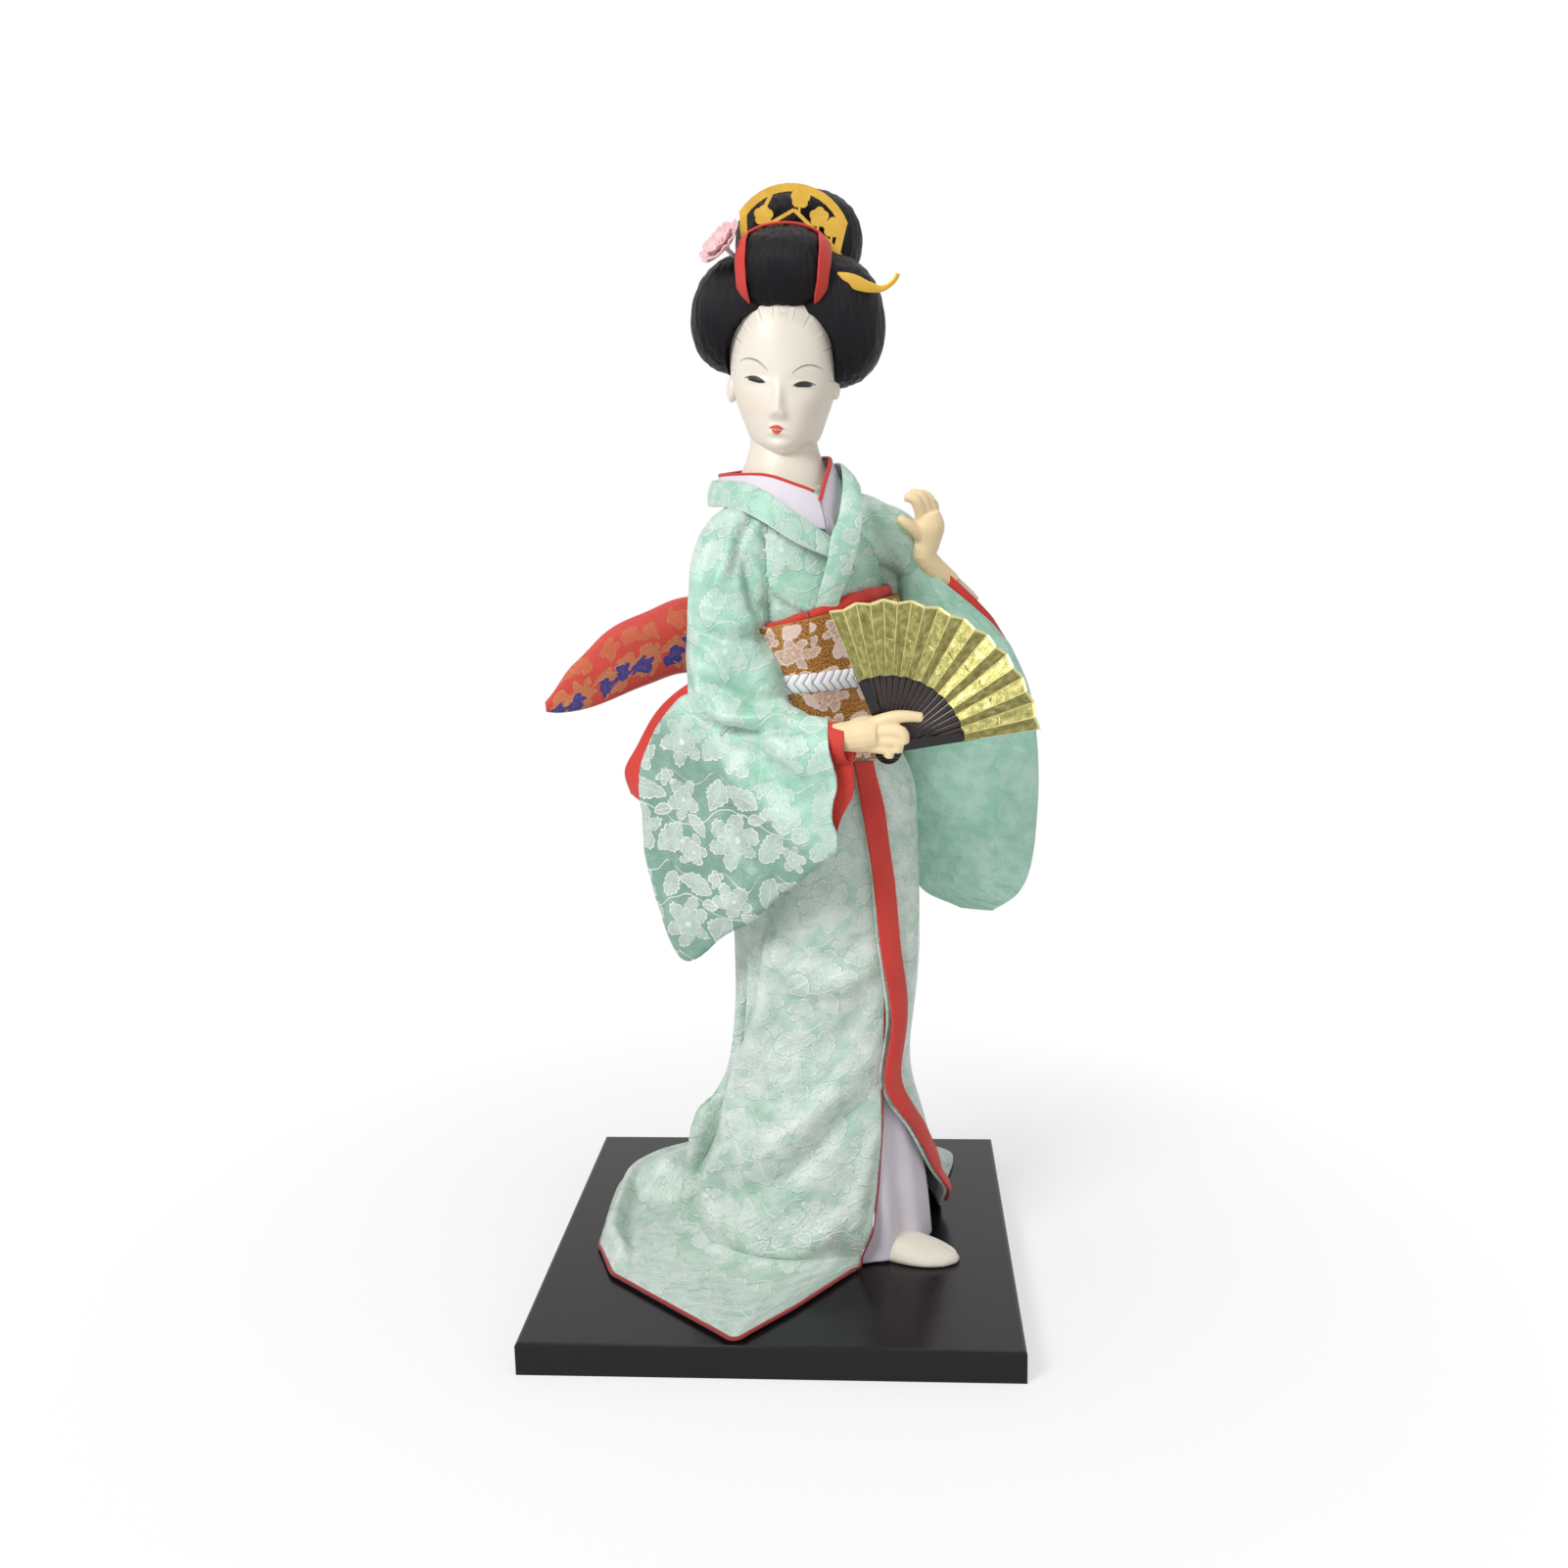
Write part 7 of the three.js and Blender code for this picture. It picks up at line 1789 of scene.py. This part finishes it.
def hair_masses():
    for name, (centre, halves, lean) in HAIR_MASSES.items():
        grid = ball(*in_hair(centre), *(np.array(halves) * HAIR_SCALE), SQUARENESS, 260, 200, lean)
        if name not in ("hair_topknot", "hair_back_roll"):
            grid = face_clearance(grid)
        grid = wrinkles(grid, 2.2, 0.28, 51, (1.6, 1.6, 0.3))
        piece = grid_piece(name.replace("hair_", "hairdo_"), grid, closed=True)
        shown(piece, HAIR, "head", "black_hair", name)


hair_masses()


def on_roll(u, lean, lift):
    """Places over the front roll at u, a share of its half width, in the direction lean."""
    centre, halves, _ = HAIR_MASSES["hair_front_roll"]
    x, y, z = in_hair(centre)
    half_x, half_y, half_z = np.array(halves) * HAIR_SCALE
    spread = np.abs(np.cos(lean)) ** SQUARENESS + np.abs(np.sin(lean)) ** SQUARENESS
    girth = ((1 - np.abs(u) ** SQUARENESS) / spread) ** (1 / SQUARENESS)
    out, up = half_y * girth + lift, half_z * girth + lift
    return stacked(x + u * half_x, y - np.cos(lean) * out, z + np.sin(lean) * up)


def ribbons():
    half_width = HAIR_MASSES["hair_front_roll"][1][0] * HAIR_WIDTH
    for side_name, top, bottom in (("right", -0.72, -0.74), ("left", 0.8, 0.7)):
        t = np.linspace(0, 1, 60)[:, None]
        lean = np.radians(72 + (-54 - 72) * t)
        side = np.linspace(-0.5, 0.5, 9)
        bulge = math.copysign(0.07, top) * np.sin(math.pi * t)
        u = top + (bottom - top) * t + bulge + side * 0.88 * RIBBON_WIDTH / half_width
        u = np.clip(u, -0.95, 0.95)
        grid = on_roll(u, lean, 0.8)
        piece = thickened(grid_piece(f"ribbon_{side_name}", wrinkles(grid, 3, 0.25, 61)), 0.4)
        shown(piece, RED, "head", "red_cloth", f"hair_ribbon_{side_name}")
    u = np.linspace(-0.72, 0.8, 60)
    lean = math.radians(66)
    thread = tube_piece("ribbon_thread", on_roll(u, lean, 0.5), 0.4, 8)
    shown(thread, RED, "head", "red_cloth")


ribbons()


# Hairpin

HAIRPIN_ROOT = in_hair((0.3, -0.15, 0.78))
HAIRPIN_LENGTH = 14.5
HAIRPIN_WIDTH = 3.4
HAIRPIN_WAY = unit(np.array([1, 0, 0.06]))
# The hairpin from its root: reach, bend and half height.
HAIRPIN = [
    [-0.45, 0, 0.3], [-0.05, 0, 0.42], [0.2, -0.09, 0.55], [0.45, -0.2, 0.42], [0.7, -0.25, 0.24],
    [0.9, -0.15, 0.2], [1, -0.02, 0.2],
]


def hairpin():
    """A gilt strip, broad where it leaves the hair, that dips and curls up to a blunt end."""
    reach, bend, half = smooth(HAIRPIN, 70).T
    upward = np.array([-HAIRPIN_WAY[2], 0, HAIRPIN_WAY[0]])
    way = HAIRPIN_WAY * reach[:, None] + upward * bend[:, None]
    route = HAIRPIN_ROOT + way * HAIRPIN_LENGTH
    grid = tube_grid(route, half * HAIRPIN_WIDTH, 28, 0.3)
    piece = grid_piece("hairpin_strip", grid, closed=True, ends=True)
    shown(piece, GILT, "hairpin", "gilt_metal", "hairpin")


hairpin()


# Blossom

BLOSSOM_PLACE = in_hair((-0.28, -0.11, 0.94))
BLOSSOM_WAY = np.array([-0.62, -0.5, 0.6])
STAMEN_RADII = [0.14, 0.12, 0.12, 0.12, 0.3, 0.26]


def blossom():
    parts = []
    for ring, (size, lifted) in enumerate(((1.22, 0.0), (0.8, 0.16))):
        for k in range(5):
            way = full_turn(36)[None]
            out = np.linspace(0.02, 1, 14)[:, None]
            edge = out * (1 - 0.16 * bump(np.sin(way / 2), 0, 0.16)) * (1 + 0.03 * np.sin(way * 7 + k))
            x = 0.56 + 0.47 * edge * np.cos(way)
            y = 0.52 * edge * np.sin(way)
            cup = 0.34 * x**2 + 0.2 * y**2 - 0.1 * bump(y, 0, 0.07)
            cup = cup + lifted * (1 + x) + 0.03 * np.sin(way * 4 + 2 * k) * out
            a = k * TURN / 5 + ring * TURN / 10
            turned_round = [x * math.cos(a) - y * math.sin(a), x * math.sin(a) + y * math.cos(a), cup]
            grid = stacked(*turned_round) * BLOSSOM_RADIUS * size
            parts.append(thickened(grid_piece(f"petal_{ring}_{k}", grid, closed=True), 0.35))
    for k in range(7):
        a = k * TURN / 7
        tip = np.array([math.cos(a) * 1.3, math.sin(a) * 1.3, 2.2])
        route = np.linspace([0, 0, 0.3], tip, 6)
        parts.append(tube_piece(f"stamen_{k}", route, STAMEN_RADII, 8, up=(0.3, 1, 0)))
    route = np.array([[0, 0, -11.5], [0, 0, -4], [0, 0, 0.2]])
    parts.append(tube_piece("pin", route, 0.6, 10, up=(1, 0, 0)))
    flower = joined("blossom_petals", parts)
    spin = Vector((0, 0, 1)).rotation_difference(Vector(BLOSSOM_WAY)).to_matrix().to_4x4()
    flower.data.transform(Matrix.Translation(Vector(BLOSSOM_PLACE * MM)) @ spin)
    pink = plain_cloth("pink_crepe", rgb(244, 188, 194), rgb(253, 224, 225), 0.5, 0.8, 0.3)
    shown(flower, pink, "blossom_pin", "pink_cloth", "blossom_pin")


blossom()


# Hands

HAND_VOXEL = 0.28
# Wrists as shares of the torso, then chains of X, Y, Z and radius in hand lengths: palm and fingers.
HANDS = {
    "right": ([0.06, -0.487, 0.133], [
        [[0, 0, 0, 0.15], [0.23, -0.07, 0.01, 0.18], [0.41, -0.13, 0.05, 0.21], [0.57, -0.18, 0.06, 0.16]],
        [[0.45, -0.17, 0.15, 0.09], [0.77, -0.21, 0.25, 0.075], [1.05, -0.2, 0.24, 0.055]],
        [[0.5, -0.19, 0.08, 0.09], [0.8, -0.25, 0.08, 0.08], [0.84, -0.24, -0.05, 0.065]],
        [[0.48, -0.18, -0.02, 0.085], [0.75, -0.24, -0.03, 0.075], [0.77, -0.23, -0.15, 0.06]],
        [[0.44, -0.16, -0.08, 0.08], [0.66, -0.21, -0.13, 0.065], [0.67, -0.21, -0.22, 0.05]],
        [[0.28, -0.04, 0.08, 0.1], [0.5, 0.15, 0.15, 0.08], [0.75, 0.18, 0.19, 0.06]],
    ]),
    "left": ([0.4, 0.035, 0.705], [
        [[0.3, 0.22, -0.32, 0.14], [0, 0, 0, 0.14], [0.01, -0.03, 0.18, 0.16], [0.03, -0.06, 0.39, 0.2],
         [0.01, -0.09, 0.55, 0.15]],
        [[-0.05, -0.13, 0.5, 0.08], [-0.13, -0.24, 0.7, 0.07], [-0.26, -0.25, 0.75, 0.055]],
        [[0, -0.1, 0.55, 0.08], [-0.06, -0.14, 0.75, 0.07], [-0.2, -0.16, 0.79, 0.055]],
        [[0.06, -0.04, 0.54, 0.08], [0.02, -0.04, 0.73, 0.07], [-0.11, -0.05, 0.79, 0.055]],
        [[0.1, 0.03, 0.48, 0.07], [0.09, 0.05, 0.66, 0.06], [-0.03, 0.05, 0.73, 0.045]],
        [[-0.06, -0.12, 0.28, 0.09], [-0.23, -0.25, 0.42, 0.07], [-0.34, -0.26, 0.5, 0.055]],
    ]),
}


def hands():
    for side, (wrist, chains) in HANDS.items():
        start = at_torso(wrist)
        parts = []
        for number, chain in enumerate(chains):
            rows = smooth(chain, 14) * HAND_LENGTH
            tip = rows[-1] + (rows[-1] - rows[-2]) * 0.5
            tip[3] = rows[-1, 3] * 0.5
            rows = np.concatenate([rows, tip[None]])
            finger = tube_piece(f"finger_{number}", rows[:, :3] + start, rows[:, 3], 16, up=(0.2, 1, 0.3))
            parts.append(finger)
        hand = joined(f"hand_{side}_skin", parts)
        fused = hand.modifiers.new("fused", "REMESH")
        fused.mode = "VOXEL"
        fused.voxel_size = HAND_VOXEL * MM
        fused.use_smooth_shade = True
        soft = hand.modifiers.new("soft", "SMOOTH")
        soft.iterations = 3
        shown(hand, PEACH, "doll", "hand_paint", f"hand_{side}")


hands()


# Fan

FAN_PIVOT = at_torso([0.256, -0.493, 0.079])


def on_fan(angle, radius, depth):
    """Places on the fan, by the angle and the distance from its rivet."""
    return stacked(*(
        centre + part
        for centre, part in zip(FAN_PIVOT, (np.cos(angle) * radius, depth, np.sin(angle) * radius))
    ))


def fan_leaf():
    folds = FAN_PLEATS * 2
    k = np.linspace(0, folds, folds * 8 + 1)[None]
    angle = FAN_LOW + (FAN_HIGH - FAN_LOW) * k / folds
    wave = np.abs(np.mod(k + 1, 2) - 1)
    radius = np.linspace(FAN_STICK_RADIUS, FAN_RADIUS, 40)[:, None]
    share = (radius - FAN_STICK_RADIUS) / (FAN_RADIUS - FAN_STICK_RADIUS)
    depth = (0.6 + 0.4 * share) * FAN_PLEAT_DEPTH * (1 - 2 * wave)
    scallop = wave * 0.02 * radius + (1 - share) * 0.9 * np.sin(wave * math.pi / 2)
    reach = radius - scallop * (share > 0.5) + scallop * 0.3 * (share <= 0.5)
    grid = on_fan(angle, reach, depth)
    piece = thickened(grid_piece("leaf_foil", grid, uv=stacked(k, radius), smooth=False), 0.25)
    shown(piece, FOIL, "fan", "gold_foil_paper", "fan_leaf")
    cut_cloth(82, 19, 0.75)


fan_leaf()


def fan_sticks():
    """The black sector below the leaf: sticks side by side that narrow towards the rivet, and their hub."""
    count = FAN_PLEATS * 2
    k = np.linspace(0, count, count * 8 + 1)[None]
    angle = FAN_LOW + (FAN_HIGH - FAN_LOW) * k / count
    radius = np.linspace(0.9 * FAN_TAIL, FAN_STICK_RADIUS + FAN_LAP, 40)[:, None]
    rib = np.abs(np.sin(k * math.pi)) * np.minimum(radius / FAN_STICK_RADIUS, 1) * 0.22
    depth = FAN_BACK + FAN_STICK_STACK / 2
    grid = on_fan(angle, radius, depth - rib)
    sector = grid_piece("stick_sector", grid, uv=stacked(k, radius))
    sector = thickened(sector, 0.8 * FAN_STICK_STACK, 1)
    front, back = [FAN_PIVOT + [0, FAN_BACK + FAN_STICK_STACK * share, 0] for share in (0.05, 0.95)]
    route = spline([front, front, back, back], np.linspace(0, 3, 9))
    radii = 1.05 * FAN_TAIL * np.array([0.86, 0.95, 0.99, 1, 1, 1, 0.99, 0.95, 0.86])
    hub = tube_piece("stick_hub", route, radii, 40)
    shown(joined("stick_fan", [sector, hub]), STICKS, "fan", "black_sticks", "fan_sticks")


fan_sticks()


# Camera, light and floor

# The camera as fitted to the board's four top corners in the photograph.
CAMERA_YAW, CAMERA_PITCH, CAMERA_ROLL = math.radians(-3.94), math.radians(10.3), math.radians(-1.23)
CAMERA_PLACE = Vector((0.03114, -0.41369, 0.21681))
CAMERA_LENS = 34.72
FLOOR_HALF = 4000


def camera():
    forward = Vector((
        math.sin(CAMERA_YAW) * math.cos(CAMERA_PITCH),
        math.cos(CAMERA_YAW) * math.cos(CAMERA_PITCH),
        -math.sin(CAMERA_PITCH),
    ))
    level = Vector((math.cos(CAMERA_YAW), -math.sin(CAMERA_YAW), 0))
    raised = level.cross(forward)
    right = level * math.cos(CAMERA_ROLL) + raised * math.sin(CAMERA_ROLL)
    up = raised * math.cos(CAMERA_ROLL) - level * math.sin(CAMERA_ROLL)
    data = bpy.data.cameras.new("photo_camera")
    data.lens = CAMERA_LENS
    data.sensor_width = 36
    data.clip_start = 0.01
    eye = bpy.data.objects.new("photo_camera", data)
    turned_to = Matrix((right, up, -forward)).transposed().to_4x4()
    eye.matrix_world = Matrix.Translation(CAMERA_PLACE) @ turned_to
    bpy.context.scene.collection.objects.link(eye)
    bpy.context.scene.camera = eye


def seen_rays(graph):
    """1 for the rays that show a backdrop to the eye: straight, mirrored or through glass."""
    path = graph.node("LightPath")
    kinds = ("Is Camera Ray", "Is Glossy Ray", "Is Transmission Ray")
    return graph.most(*[Wire(graph, path.outputs[kind]) for kind in kinds])


def floor():
    """A pale floor that keeps the doll's shadow and runs out into plain white."""
    ends = (-FLOOR_HALF, FLOOR_HALF)
    grid = np.array([[[x, y, 0] for x in ends] for y in ends], float)
    piece = grid_piece("floor", grid[:, ::-1])

    def build(graph):
        where = graph.where()
        tone = graph.noise(where, 3.0, 2.0)
        graph.set("Base Color", graph.mix(tone, rgb(250, 250, 250), rgb(255, 255, 255)))
        graph.set("Roughness", 0.9)
        away = graph.out("Value", "VectorMath", {0: where}, operation="LENGTH")
        far = graph.math("DIVIDE", away - 0.09, 0.12, clamp=True)
        white = far * 0.42 + 0.58
        plain = graph.out(0, "Emission", {"Color": (1, 1, 1, 1), "Strength": 1.0})
        graph.shown_to(white * seen_rays(graph), "Principled BSDF", plain, "Material Output")
    piece.data.materials.append(material("pale_floor", build))


def area_light(name, place, target, size, power, tint=(1, 1, 1)):
    data = bpy.data.lights.new(name, "AREA")
    data.shape = "RECTANGLE"
    data.size, data.size_y = size
    data.energy = power
    data.color = tint
    lamp = bpy.data.objects.new(name, data)
    lamp.location = place
    lamp.rotation_euler = (Vector(target) - Vector(place)).to_track_quat("-Z", "Y").to_euler()
    bpy.context.scene.collection.objects.link(lamp)


def light():
    aim = (0, 0, 0.15)
    area_light("key", (-0.55, -0.75, 0.85), aim, (0.4, 0.4), 9.0)
    area_light("fill", (0.8, -0.6, 0.45), aim, (0.7, 0.7), 1.3)
    area_light("top", (0.1, 0.1, 1.1), aim, (0.7, 0.7), 2.4)
    world = bpy.data.worlds.new("studio")
    bpy.context.scene.world = world
    world.use_nodes = True
    graph = Graph(world.node_tree)
    ambient = world.node_tree.nodes["Background"]
    ambient.inputs["Color"].default_value = (1, 1, 1, 1)
    ambient.inputs["Strength"].default_value = 0.27
    white = graph.out(0, "Background", {"Color": (1, 1, 1, 1), "Strength": 1.0})
    graph.shown_to(seen_rays(graph), "Background", white, "World Output")


camera()
floor()
light()
bpy.context.scene.view_settings.view_transform = "Standard"
